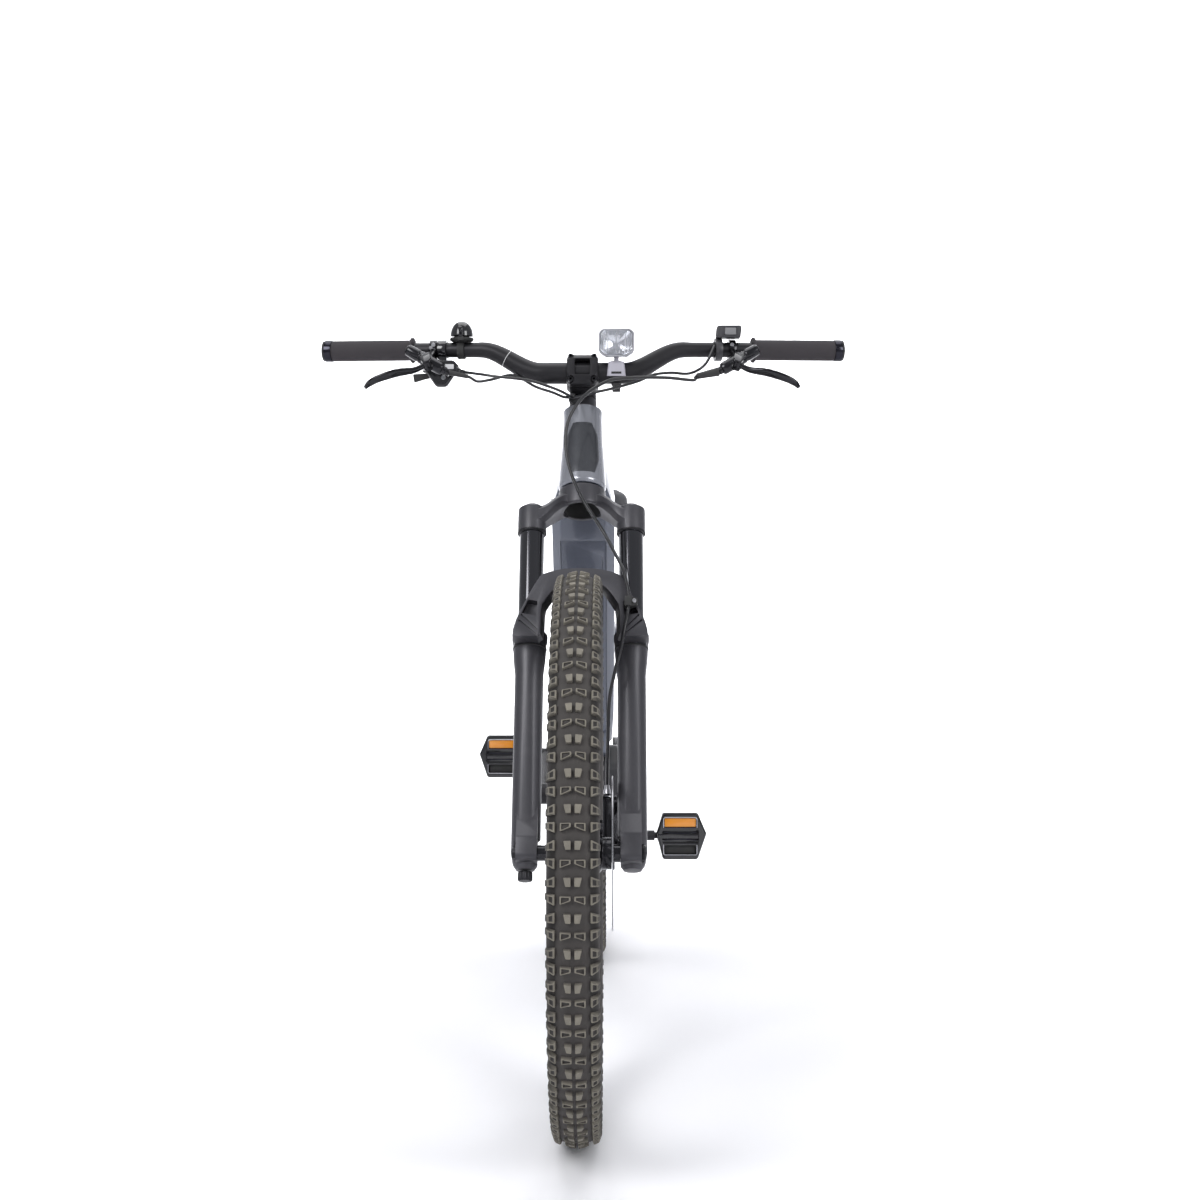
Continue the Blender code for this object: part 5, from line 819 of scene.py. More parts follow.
def smooth_route(points: Sequence[Vector], steps: int) -> list[Vector]:
    """A smooth curve through the points, with the given steps between each two."""
    route = [points[0] * 2 - points[1], *points, points[-1] * 2 - points[-2]]
    curve = []
    for a, b, c, d in zip(route, route[1:], route[2:], route[3:]):
        for step in range(steps):
            t = step / steps
            curve.append((b * 2 + (c - a) * t + (a * 2 - b * 5 + c * 4 - d) * t ** 2
                          + (b * 3 - a - c * 3 + d) * t ** 3) / 2)
    return [*curve, points[-1]]


def swept(path: Sequence[Vector], outlines: Sequence[Outline], side: Vector,
          steps: int = 6) -> bmesh.types.BMesh:
    """A smooth loft: path and outlines are both blended between the given stations."""
    fine_path = smooth_route(path, steps)
    flat = [[Vector((a, b, 0)) for a, b in outline] for outline in outlines]
    columns = [smooth_route([outline[i] for outline in flat], steps) for i in range(len(flat[0]))]
    fine = [[(column[k].x, column[k].y) for column in columns] for k in range(len(fine_path))]
    return along(fine_path, fine, side)


def joined(*meshes: bmesh.types.BMesh) -> bmesh.types.BMesh:
    """Several solids in one mesh."""
    whole = bmesh.new()
    for bm in meshes:
        carrier = bpy.data.meshes.new("carrier")
        bm.to_mesh(carrier)
        bm.free()
        whole.from_mesh(carrier)
        bpy.data.meshes.remove(carrier)
    return whole


def mirrored(bm: bmesh.types.BMesh) -> bmesh.types.BMesh:
    """The same solid on the bike's other side."""
    bmesh.ops.transform(bm, matrix=Matrix.Scale(-1, 4, X), verts=bm.verts)
    bmesh.ops.reverse_faces(bm, faces=bm.faces)
    return bm


def helper_object(bm: bmesh.types.BMesh, name: str = "helper") -> bpy.types.Object:
    """An object that holds a mesh for a while."""
    mesh = bpy.data.meshes.new(name)
    bm.to_mesh(mesh)
    bm.free()
    thing = bpy.data.objects.new(name, mesh)
    bpy.context.scene.collection.objects.link(thing)
    return thing


def discard(*things: bpy.types.Object) -> None:
    """Removes helper objects and their data."""
    for thing in things:
        data = thing.data
        bpy.data.objects.remove(thing)
        if isinstance(data, bpy.types.Mesh):
            bpy.data.meshes.remove(data)
        elif isinstance(data, bpy.types.Curve):
            bpy.data.curves.remove(data)


def evaluated_mesh(thing: bpy.types.Object) -> bpy.types.Mesh:
    """A plain mesh of the object with its modifiers applied."""
    bpy.context.view_layer.update()
    graph = bpy.context.evaluated_depsgraph_get()
    return bpy.data.meshes.new_from_object(thing.evaluated_get(graph))


def combined(bm: bmesh.types.BMesh, operation: str, *tools: bmesh.types.BMesh) -> bmesh.types.BMesh:
    """The solid after an exact Boolean with each tool in turn."""
    for tool in tools:
        solid, other = helper_object(bm), helper_object(tool)
        modifier = solid.modifiers.new("combine", "BOOLEAN")
        modifier.operation = operation
        modifier.solver = "EXACT"
        modifier.object = other
        result = evaluated_mesh(solid)
        bm = bmesh.new()
        bm.from_mesh(result)
        bpy.data.meshes.remove(result)
        discard(solid, other)
    return bm


def fused(first: bmesh.types.BMesh, *others: bmesh.types.BMesh) -> bmesh.types.BMesh:
    """The union of the solids."""
    return combined(first, "UNION", *others)


def cut(solid: bmesh.types.BMesh, *tools: bmesh.types.BMesh) -> bmesh.types.BMesh:
    """The solid with each tool taken out of it."""
    return combined(solid, "DIFFERENCE", *tools)


@dataclass
class Bevel:
    """How a piece's sharp edges are rounded."""

    width: float = 0.0006
    segments: int = 2
    angle: float = 32.0


def dress(thing: bpy.types.Object, body: Body, nodes: Sequence[str]) -> bpy.types.Object:
    """Gives a finished object to its body, in place of CAD nodes."""
    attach(thing, body.value)
    if nodes:
        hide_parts(*nodes)
    LOG.info("%s: %d faces on %s", thing.name, len(thing.data.polygons), body.value)
    return thing


def make_piece(name: str, bm: bmesh.types.BMesh, finish: Finish, bevel: Bevel | None = None,
               sharp: float = 34.0) -> bpy.types.Object:
    """Makes a piece that rides on nothing yet.

    Args:
        name: the piece's name.
        bm: its mesh, in the world frame.
        finish: what it wears.
        bevel: rounding of its sharp edges.
        sharp: edges over this angle in degrees stay sharp in the shading.

    Returns:
        The piece's object.
    """
    mesh = bpy.data.meshes.new(name)
    bm.to_mesh(mesh)
    bm.free()
    mesh.shade_smooth()
    mesh.materials.append(finish.build())
    thing = bpy.data.objects.new(name, mesh)
    bpy.context.scene.collection.objects.link(thing)
    if bevel:
        modifier = thing.modifiers.new("bevel", "BEVEL")
        modifier.width = bevel.width
        modifier.segments = bevel.segments
        modifier.limit_method = "ANGLE"
        modifier.angle_limit = math.radians(bevel.angle)
        modifier.harden_normals = False
        plain = evaluated_mesh(thing)
        plain.name = name
        thing.modifiers.clear()
        thing.data = plain
        bpy.data.meshes.remove(mesh)
        mesh = plain
    mesh.set_sharp_from_angle(angle=math.radians(sharp))
    return thing


def add_piece(name: str, bm: bmesh.types.BMesh, finish: Finish, body: Body, nodes: Sequence[str] = (),
              bevel: Bevel | None = None, sharp: float = 34.0) -> bpy.types.Object:
    """Makes a piece and hands it to its body.

    Args:
        name: the piece's name.
        bm: its mesh, in the world frame.
        finish: what it wears.
        body: what it moves with.
        nodes: the CAD nodes that it stands for.
        bevel: rounding of its sharp edges.
        sharp: edges over this angle in degrees stay sharp in the shading.

    Returns:
        The piece's object.
    """
    return dress(make_piece(name, bm, finish, bevel, sharp), body, nodes)


def add_part(name: str, bm: bmesh.types.BMesh, finish: Finish, body: Body, bevel: Bevel | None = None,
             sharp: float = 34.0) -> bpy.types.Object:
    """Makes a piece that stands for the CAD node of its own name."""
    return add_piece(name, bm, finish, body, [name], bevel, sharp)


# Geometry Nodes


class TreeMaker:
    """Builds one Geometry Nodes tree with named inputs."""

    def __init__(self, name: str) -> None:
        """Starts an empty tree with a geometry input and output."""
        self.tree = bpy.data.node_groups.new(name, "GeometryNodeTree")
        self.tree.interface.new_socket("Geometry", in_out="INPUT", socket_type="NodeSocketGeometry")
        self.tree.interface.new_socket("Geometry", in_out="OUTPUT", socket_type="NodeSocketGeometry")
        self.entry = self.tree.nodes.new("NodeGroupInput")
        self.exit = self.tree.nodes.new("NodeGroupOutput")
        self.keys: dict[str, str] = {}

    def input(self, name: str, kind: str, value: object = None) -> bpy.types.NodeSocket:
        """Adds a named input and hands back its socket inside the tree."""
        item = self.tree.interface.new_socket(name, in_out="INPUT", socket_type=kind)
        if value is not None:
            item.default_value = value
        self.keys[name] = item.identifier
        return self.entry.outputs[name]

    def node(self, kind: str, settings: dict[str, object] | None = None,
             values: dict[int | str, object] | None = None) -> bpy.types.Node:
        """Makes one node, with its properties set before its sockets."""
        node = self.tree.nodes.new(kind)
        for key, value in (settings or {}).items():
            setattr(node, key, value)
        for key, value in (values or {}).items():
            if isinstance(value, bpy.types.NodeSocket):
                self.tree.links.new(value, node.inputs[key])
            else:
                node.inputs[key].default_value = value
        return node

    def finish(self, geometry: bpy.types.NodeSocket, material: bpy.types.NodeSocket) -> None:
        """Ends the tree in Realize Instances and Set Material."""
        real = self.node("GeometryNodeRealizeInstances", values={0: geometry})
        painted = self.node("GeometryNodeSetMaterial",
                            values={"Geometry": real.outputs[0], "Material": material})
        self.tree.links.new(painted.outputs[0], self.exit.inputs[0])

    def apply(self, host: bpy.types.Object, values: dict[str, object]) -> bpy.types.Mesh:
        """Runs the tree on a host object.

        Args:
            host: the object whose geometry enters the tree.
            values: the tree's inputs by name.

        Returns:
            The result as a plain mesh.
        """
        modifier = host.modifiers.new("tree", "NODES")
        modifier.node_group = self.tree
        for name, value in values.items():
            modifier[self.keys[name]] = value
        mesh = evaluated_mesh(host)
        host.modifiers.remove(modifier)
        return mesh


class RingArray:
    """Repeats a piece around an axle along X: knobs, spokes, nipples, bolts and brake disc arms."""

    def __init__(self) -> None:
        """Builds the tree."""
        maker = TreeMaker("ring_array")
        piece = maker.input("Piece", "NodeSocketObject")
        count = maker.input("Count", "NodeSocketInt", 12)
        centre = maker.input("Centre", "NodeSocketVector")
        phase = maker.input("Phase", "NodeSocketFloat", 0.0)
        jitter = maker.input("Jitter", "NodeSocketFloat", 0.0)
        seed = maker.input("Seed", "NodeSocketInt", 7)
        material = maker.input("Material", "NodeSocketMaterial")
        points = maker.node("GeometryNodePoints", values={"Count": count, "Position": centre})
        index = maker.node("GeometryNodeInputIndex")
        share = maker.node("ShaderNodeMath", {"operation": "DIVIDE"}, {0: index.outputs[0], 1: count})
        turn = maker.node("ShaderNodeMath", {"operation": "MULTIPLY_ADD"},
                          {0: share.outputs[0], 1: 2 * math.pi, 2: phase})
        stray = maker.node("FunctionNodeRandomValue", {"data_type": "FLOAT"},
                           {"Min": -1.0, "Max": 1.0, "Seed": seed})
        angle = maker.node("ShaderNodeMath", {"operation": "MULTIPLY_ADD"},
                           {0: self._float_output(stray), 1: jitter, 2: turn.outputs[0]})
        euler = maker.node("ShaderNodeCombineXYZ", values={"X": angle.outputs[0]})
        info = maker.node("GeometryNodeObjectInfo", values={"Object": piece})
        placed = maker.node("GeometryNodeInstanceOnPoints",
                            values={"Points": points.outputs[0], "Instance": info.outputs["Geometry"],
                                    "Rotation": euler.outputs[0]})
        maker.finish(placed.outputs[0], material)
        self.maker = maker

    @staticmethod
    def _float_output(node: bpy.types.Node) -> bpy.types.NodeSocket:
        """The enabled value output of a Random Value node."""
        return next(output for output in node.outputs if output.enabled)

    def mesh(self, piece: bmesh.types.BMesh, count: int, centre: Vector, finish: Finish, phase: float = 0.0,
             jitter: float = 0.0) -> bmesh.types.BMesh:
        """The repeated piece as one mesh.

        Args:
            piece: the piece, made with the axle at the origin.
            count: how many there are.
            centre: where the axle is.
            finish: the material it gets.
            phase: angle of the first one about +X.
            jitter: largest random turn.

        Returns:
            The whole ring.
        """
        source, host = helper_object(piece, "ring_piece"), helper_object(bmesh.new(), "ring_host")
        result = self.maker.apply(host, {"Piece": source, "Count": count, "Centre": tuple(centre),
                                         "Phase": phase, "Jitter": jitter, "Material": finish.build()})
        bm = bmesh.new()
        bm.from_mesh(result)
        bpy.data.meshes.remove(result)
        discard(source, host)
        return bm


class SpotArray:
    """Sets a piece on each of a few spots, such as bolts on a cover."""

    def __init__(self) -> None:
        """Builds the tree."""
        maker = TreeMaker("spot_array")
        piece = maker.input("Piece", "NodeSocketObject")
        size = maker.input("Size", "NodeSocketFloat", 1.0)
        material = maker.input("Material", "NodeSocketMaterial")
        info = maker.node("GeometryNodeObjectInfo", values={"Object": piece})
        placed = maker.node("GeometryNodeInstanceOnPoints", values={
            "Points": maker.entry.outputs["Geometry"], "Instance": info.outputs["Geometry"], "Scale": size})
        maker.finish(placed.outputs[0], material)
        self.maker = maker

    def mesh(self, piece: bmesh.types.BMesh, spots: Sequence[Vector], finish: Finish,
             size: float = 1.0) -> bmesh.types.BMesh:
        """The piece, made at the origin, on each spot."""
        points = bmesh.new()
        for spot in spots:
            points.verts.new(spot)
        source, host = helper_object(piece, "spot_piece"), helper_object(points, "spot_host")
        result = self.maker.apply(host, {"Piece": source, "Size": size, "Material": finish.build()})
        bm = bmesh.new()
        bm.from_mesh(result)
        bpy.data.meshes.remove(result)
        discard(source, host)
        return bm


class LinkRun:
    """Lays two link shapes by turns along a closed route in a plane square to X."""

    def __init__(self) -> None:
        """Builds the tree."""
        maker = TreeMaker("link_run")
        first = maker.input("Outer link", "NodeSocketObject")
        second = maker.input("Inner link", "NodeSocketObject")
        count = maker.input("Count", "NodeSocketInt", 100)
        material = maker.input("Material", "NodeSocketMaterial")
        spaced = maker.node("GeometryNodeResampleCurve",
                            values={"Curve": maker.entry.outputs["Geometry"], "Count": count})
        tangent = maker.node("GeometryNodeInputTangent")
        level = maker.node("FunctionNodeAlignEulerToVector", {"axis": "Y", "pivot_axis": "X"},
                           {"Vector": tangent.outputs[0]})
        index = maker.node("GeometryNodeInputIndex")
        odd = maker.node("ShaderNodeMath", {"operation": "MODULO"}, {0: index.outputs[0], 1: 2.0})
        even = maker.node("ShaderNodeMath", {"operation": "SUBTRACT"}, {0: 1.0, 1: odd.outputs[0]})
        runs = []
        for link, chosen in ((first, even), (second, odd)):
            info = maker.node("GeometryNodeObjectInfo", values={"Object": link})
            placed = maker.node("GeometryNodeInstanceOnPoints",
                                values={"Points": spaced.outputs[0], "Selection": chosen.outputs[0],
                                        "Instance": info.outputs["Geometry"],
                                        "Rotation": level.outputs[0]})
            runs.append(placed.outputs[0])
        both = maker.node("GeometryNodeJoinGeometry")
        for run in runs:
            maker.tree.links.new(run, both.inputs[0])
        maker.finish(both.outputs[0], material)
        self.maker = maker

    def mesh(self, outer: bmesh.types.BMesh, inner: bmesh.types.BMesh, route: Sequence[Vector], count: int,
             finish: Finish) -> bmesh.types.BMesh:
        """The whole chain as one mesh, its links made at the origin along +Y."""
        curve = bpy.data.curves.new("link_route", "CURVE")
        curve.dimensions = "3D"
        spline = curve.splines.new("POLY")
        spline.points.add(len(route) - 1)
        spline.use_cyclic_u = True
        for place, point in zip(spline.points, route):
            place.co = (*point, 1)
        host = bpy.data.objects.new("link_route", curve)
        bpy.context.scene.collection.objects.link(host)
        links = [helper_object(outer, "outer_link"), helper_object(inner, "inner_link")]
        result = self.maker.apply(host, {"Outer link": links[0], "Inner link": links[1], "Count": count,
                                         "Material": finish.build()})
        bm = bmesh.new()
        bm.from_mesh(result)
        bpy.data.meshes.remove(result)
        discard(host, *links)
        return bm


@dataclass
class Toolbox:
    """The three repeating trees, made once."""

    ring: RingArray = field(default_factory=RingArray)
    spots: SpotArray = field(default_factory=SpotArray)
    links: LinkRun = field(default_factory=LinkRun)


def socket_bolt(radius: float, height: float, direction: Vector, sides: int = 20) -> bmesh.types.BMesh:
    """A cap screw head with its hexagon socket, at the origin, whose top faces direction."""
    place = axis_frame(Vector((0, 0, 0)), direction)
    edge = radius * 0.18
    profile = [(radius, 0), (radius, height - edge), (radius - edge, height), (radius * 0.52, height),
               (radius * 0.50, height * 0.35), (0, height * 0.35)]
    return turned([(0, 0), *profile], sides, place)


# Wheels


@dataclass
class Tyre:
    """A wide trail tyre whose tread alternates hollow and solid blocks."""

    name: str
    centre: Vector
    finish: Finish
    body: Body
    pitches: int = 57
    pitch: float = 0.04106
    crown: float = WHEEL_RADIUS

    CASING = ((0.0146, 0.3123), (0.0147, 0.3165), (0.0162, 0.3190), (0.0202, 0.3228), (0.0246, 0.3290),
              (0.0280, 0.3358), (0.0299, 0.3425), (0.0302, 0.3488), (0.0287, 0.3541), (0.0247, 0.3590),
              (0.0196, 0.3627), (0.0146, 0.3648), (0.0080, 0.3661), (0.0, 0.3666))
    LINING = ((0.0, 0.3626), (0.0120, 0.3612), (0.0200, 0.3572), (0.0255, 0.3512), (0.0262, 0.3440),
              (0.0240, 0.3350), (0.0190, 0.3260), (0.0128, 0.3195), (0.0124, 0.3123))

    # Offset, radius, slant, paleness (scuffed rubber and a painted highlight on the rims) and whether it is
    # on top, from the inner foot to the outer foot
    SHOULDER = ((0.0190, 0.3615, 0.0, 0.0, 0), (0.0206, 0.3672, 0.0, 1.0, 1),
                (0.0220, 0.3677, 0.05, 0.9, 1), (0.0229, 0.3674, 0.12, 0.0, 1),
                (0.0262, 0.3658, 0.45, 0.0, 1), (0.0272, 0.3652, 0.55, 0.9, 1),
                (0.0284, 0.3636, 0.65, 0.35, 1), (0.0312, 0.3560, 1.0, 0.15, 0),
                (0.0300, 0.3480, 1.0, 0.0, 0))
    # Share of the block's length, paleness (scuffed rubber and a painted highlight at the ends) and drop of
    # its cross sections
    SHARES = ((0.0, 0.3, 0.0011), (0.08, 1.0, 0.0), (0.17, 0.8, 0.0), (0.24, 0.0, 0.0), (0.76, 0.0, 0.0),
              (0.83, 0.8, 0.0), (0.92, 1.0, 0.0), (1.0, 0.3, 0.0011))
    SUNK = 0.0010

    def carcass(self) -> bmesh.types.BMesh:
        """The casing between its beads."""
        right = list(self.CASING) + [(-x, r) for x, r in reversed(self.CASING[:-1])]
        inside = [(-x, r) for x, r in reversed(self.LINING)] + list(self.LINING[1:])
        return turned([(r, x) for x, r in [*right, *inside]], 200, x_frame(Vector((0, 0, 0))), ring=True)

    def point(self, x: float, along_ring: float, radius: float) -> Vector:
        """A place over the wheel's top from its offset, its distance round the tyre and its radius."""
        angle = along_ring / self.crown
        return Vector((x, radius * math.sin(angle), radius * math.cos(angle)))

    def block(self, outline: Outline, shift: float, sunk: float = 0.0,
              rim: float = 0.0016) -> bmesh.types.BMesh:
        """A tread block near the middle of the tyre.

        Args:
            outline: its (x, distance) corners on top.
            shift: where its middle lies round the tyre.
            sunk: how deep its top is hollowed.
            rim: width of the raised edge about the hollow.

        Returns:
            The block, with the tread attribute set on its raised edge, which paints it pale as scuffed
            rubber with painted light.
        """
        corners = rounded(outline, 0.0009, 2)
        middle = sum((Vector(p) for p in corners), Vector((0, 0))) / len(corners)
        levels = [(-0.0016, 0.0007, 0.0), (-0.0016 + 0.0002, 0.0006, 0.0), (self.crown, 0.0, 1.0)]
        if sunk:
            levels += [(self.crown, -rim, 1.0), (self.crown - sunk, -rim - 0.0005, 0.0)]
        bm = bmesh.new()
        tread = bm.verts.layers.float.new("tread")
        loops = []
        for level, grow, mark in levels:
            loop = []
            for corner in corners:
                out = Vector(corner) - middle
                spot = middle + out * (1 + grow / out.length)
                fall = 0.0034 * (spot.x / 0.0145) ** 2
                radius = level - fall if level > 0 else 0.3650 - 0.8 * fall
                vert = bm.verts.new(self.point(spot.x, shift + spot.y, radius))
                vert[tread] = mark
                loop.append(vert)
            loops.append(loop)
        for first, second in zip(loops, loops[1:]):
            bridge(bm, first, second)
        bm.faces.new(loops[0])
        bm.faces.new(loops[-1])
        return closed(bm)

    def shoulder(self, inner: Point2, outer: Point2, shift: float, side: int) -> bmesh.types.BMesh:
        """A side block with a raised edge.

        Args:
            inner: where its inner end starts and stops round the tyre.
            outer: the same of its outer end.
            shift: where its middle lies round the tyre.
            side: 1 for the bike's left, -1 for its right.

        Returns:
            The block, with the tread attribute set on its raised edge, which paints it pale as scuffed
            rubber with painted light.
        """
        bm = bmesh.new()
        tread = bm.verts.layers.float.new("tread")
        loops = []
        for share, edge, lower in self.SHARES:
            loop = []
            for x, radius, reach, mark, top in self.SHOULDER:
                start = inner[0] + (outer[0] - inner[0]) * reach
                stop = inner[1] + (outer[1] - inner[1]) * reach
                sunk = self.SUNK if top and not mark and not edge else 0.0
                vert = bm.verts.new(self.point(side * x, shift + start + (stop - start) * share,
                                               radius - lower - sunk))
                vert[tread] = max(mark, edge * top)
                loop.append(vert)
            loops.append(loop)
        for first, second in zip(loops, loops[1:]):
            bridge(bm, first, second)
        bm.faces.new(loops[0])
        bm.faces.new(loops[-1])
        return closed(bm)

    def knobs(self) -> bmesh.types.BMesh:
        """One pitch of the tread: a hollow pair, a solid pair and two blocks on each side."""
        half = self.pitch / 2
        pieces = []
        for side in (-1, 1):
            hollow = [(side * 0.0022, 0.0045), (side * 0.0022, 0.0000), (side * 0.0143, -0.0047),
                      (side * 0.0143, 0.0045)]
            solid = [(side * 0.0022, 0.0050), (side * 0.0022, -0.0048), (side * 0.0080, -0.0048),
                     (side * 0.0103, 0.0050)]
            pieces.append(self.block(hollow, -half / 2, sunk=0.0022))
            pieces.append(self.block(solid, half / 2))
            pieces.append(self.shoulder((-0.0060, 0.0060), (-0.0010, 0.0060), -half / 2, side))
            pieces.append(self.shoulder((-0.0060, 0.0060), (-0.0060, 0.0010), half / 2, side))
        return joined(*pieces)

    def build(self, tools: Toolbox) -> None:
        """Casing and tread in one piece."""
        tread = tools.ring.mesh(self.knobs(), self.pitches, self.centre, self.finish)
        casing = self.carcass()
        bmesh.ops.translate(casing, vec=self.centre, verts=casing.verts)
        add_part(self.name, joined(casing, tread), self.finish, self.body, sharp=40)


@dataclass
class Rim:
    """A double-wall rim with its valve and spoke nipples."""

    name: str
    centre: Vector
    body: Body
    seat: float = 0.31133
    flange: float = 0.31633
    inner: float = 0.29083
    nipples: int = 28

    def build(self, tools: Toolbox) -> None:
        """Hoop, nipples and valve."""
        right = [(self.inner, 0.0050), (self.inner + 0.0012, 0.0105), (self.inner + 0.0075, 0.0160),
                 (self.flange - 0.004, 0.0174), (self.flange, 0.0172), (self.flange, 0.0155),
                 (self.seat + 0.0006, 0.0150), (self.seat, 0.0142), (self.seat - 0.0030, 0.0060)]
        profile = soft_profile([*right, *((r, -x) for r, x in reversed(right))], 0.0008, 2)
        hoop = turned(profile, 180, x_frame(self.centre), ring=True)
        add_part(self.name, hoop, Finishes.black_alloy, self.body)
        nipple = rod(Vector((0, 0, self.inner - 0.0105)), Vector((0, 0, self.inner + 0.0010)), 0.0021, 10,
                     0.0026)
        ring = tools.ring.mesh(nipple, self.nipples, self.centre, Finishes.bolt_steel)
        add_piece(self.name + "_nipples", ring, Finishes.bolt_steel, self.body)
        angle = math.radians(78)
        inward = Vector((0, math.sin(angle), math.cos(angle)))
        foot = self.centre + inward * (self.inner + 0.001)
        valve = turned(soft_profile([(0.0040, 0), (0.0040, 0.0030), (0.0030, 0.0032), (0.0030, 0.0200),
                                     (0.0034, 0.0205), (0.0034, 0.0330), (0.0020, 0.0350), (0, 0.0350)],
                                    0.0004, 2), 20, axis_frame(foot, -inward))
        add_piece(self.name + "_valve", valve, Finishes.black_bolt, self.body)


@dataclass
class LacedHub:
    """A hub with its laced spokes."""

    name: str
    centre: Vector
    body: Body
    profile: Sequence[Point2]
    bore: float
    flanges: tuple[float, float]
    spokes: int = 28
    start: float = 0.0267
    reach: float = 0.2883
    sweep: float = math.radians(62)

    def spoke(self, group: int) -> bmesh.types.BMesh:
        """One spoke of the four kinds, with its hooked head, in the plane of the wheel's top."""
        x = self.flanges[group % 2]
        lean = self.sweep if group // 2 else -self.sweep
        head = Vector((x, self.start * math.sin(lean), self.start * math.cos(lean)))
        side = 1 if x > 0 else -1
        tail = Vector((side * 0.0035, 0, self.reach))
        face = Vector((x + side * (0.0026 if group // 2 else -0.0026), head.y, head.z))
        path = [face, head.lerp(face, 0.3), head.lerp(tail, 0.006), head.lerp(tail, 0.02),
                head.lerp(tail, 0.1), head.lerp(tail, 0.9), tail]
        sizes = [0.0017, 0.0010, 0.0010, 0.0010, 0.0009, 0.0009, 0.0010]
        return along(path, [oval(s, s, 8) for s in sizes], X)

    def build(self, tools: Toolbox) -> None:
        """Hub shell and spokes."""
        outline = [(self.bore, self.profile[0][1]), *soft_profile(self.profile, 0.0012, 3),
                   (self.bore, self.profile[-1][1])]
        shell = turned(outline, 56, x_frame(self.centre), ring=True)
        holes = []
        for group in range(2):
            x = self.flanges[group]
            hole = rod(Vector((x - 0.004, 0, self.start)), Vector((x + 0.004, 0, self.start)), 0.0014, 8)
            holes.append(tools.ring.mesh(hole, self.spokes // 2, self.centre, Finishes.black_alloy,
                                         phase=0.08))
        add_part(self.name, cut(shell, joined(*holes)), Finishes.polished_black, self.body)
        laces = [tools.ring.mesh(self.spoke(g), self.spokes // 4, self.centre, Finishes.black_alloy,
                                 phase=2 * math.pi * g / self.spokes) for g in range(4)]
        add_piece(self.name + "_laces", joined(*laces), Finishes.black_alloy, self.body, sharp=60)


@dataclass
class Rotor:
    """A brake disc: a drilled band on swept arms, bolted to the hub."""

    name: str
    centre: Vector
    x: float
    body: Body
    finish: Finish
    radius: float = 0.1015
    band: float = 0.0155
    thickness: float = 0.0018
    arms: int = 6

    def build(self, tools: Toolbox) -> None:
        """Band, arms, carrier and bolts."""
        half = self.thickness / 2
        low = self.radius - self.band
        track = turned([(low, -half), (self.radius - 0.0003, -half), (self.radius, -half + 0.0003),
                        (self.radius, half - 0.0003), (self.radius - 0.0003, half), (low, half)], 144,
                       Matrix.Translation(X * self.x) @ SIDE_FRAME, ring=True)
        slot = [(-0.0022, low + 0.0030), (0.0022, low + 0.0034), (0.0036, self.radius - 0.0044),
                (0.0004, self.radius - 0.0030)]
        hole = prism(rounded(slot, 0.0016, 3), self.x - 0.01, self.x + 0.01, SIDE_FRAME)
        dot = prism([(a + 0.0048, b + low + 0.0050) for a, b in oval(0.0013, 0.0013, 10)], self.x - 0.01,
                    self.x + 0.01, SIDE_FRAME)
        origin = Vector((0, 0, 0))
        band = cut(track, tools.ring.mesh(joined(hole, dot), 44, origin, self.finish))
        inner = 0.0235
        turn = math.radians(34)
        path = [(inner, 0.0), (0.045, turn * 0.30), (0.068, turn * 0.68), (low + 0.0030, turn)]
        width = [0.0085, 0.0042, 0.0036, 0.0062]
        left, right = [], []
        for (radius, angle), w in zip(path, width):
            out = Vector((math.sin(angle), math.cos(angle)))
            across = Vector((out.y, -out.x))
            left.append(tuple(out * radius + across * w))
            right.append(tuple(out * radius - across * w))
        arm = prism([*left, *reversed(right)], self.x - half + 0.0001, self.x + half - 0.0001, SIDE_FRAME)
        arms = tools.ring.mesh(arm, self.arms, origin, self.finish)
        carrier = turned(rectangle(0.0124, -half + 0.00015, 0.0262, half - 0.00015), 72,
                         Matrix.Translation(X * self.x) @ SIDE_FRAME, ring=True)
        disc = joined(band, arms, carrier)
        bmesh.ops.translate(disc, vec=self.centre, verts=disc.verts)
        add_part(self.name, disc, self.finish, self.body, sharp=25)
        bolt = socket_bolt(0.0036, 0.0020, X)
        bmesh.ops.translate(bolt, vec=(self.x + half, 0, 0.0195), verts=bolt.verts)
        bolts = tools.ring.mesh(bolt, 6, self.centre, Finishes.black_bolt, phase=math.radians(30))
        add_piece(self.name + "_bolts", bolts, Finishes.black_bolt, self.body)


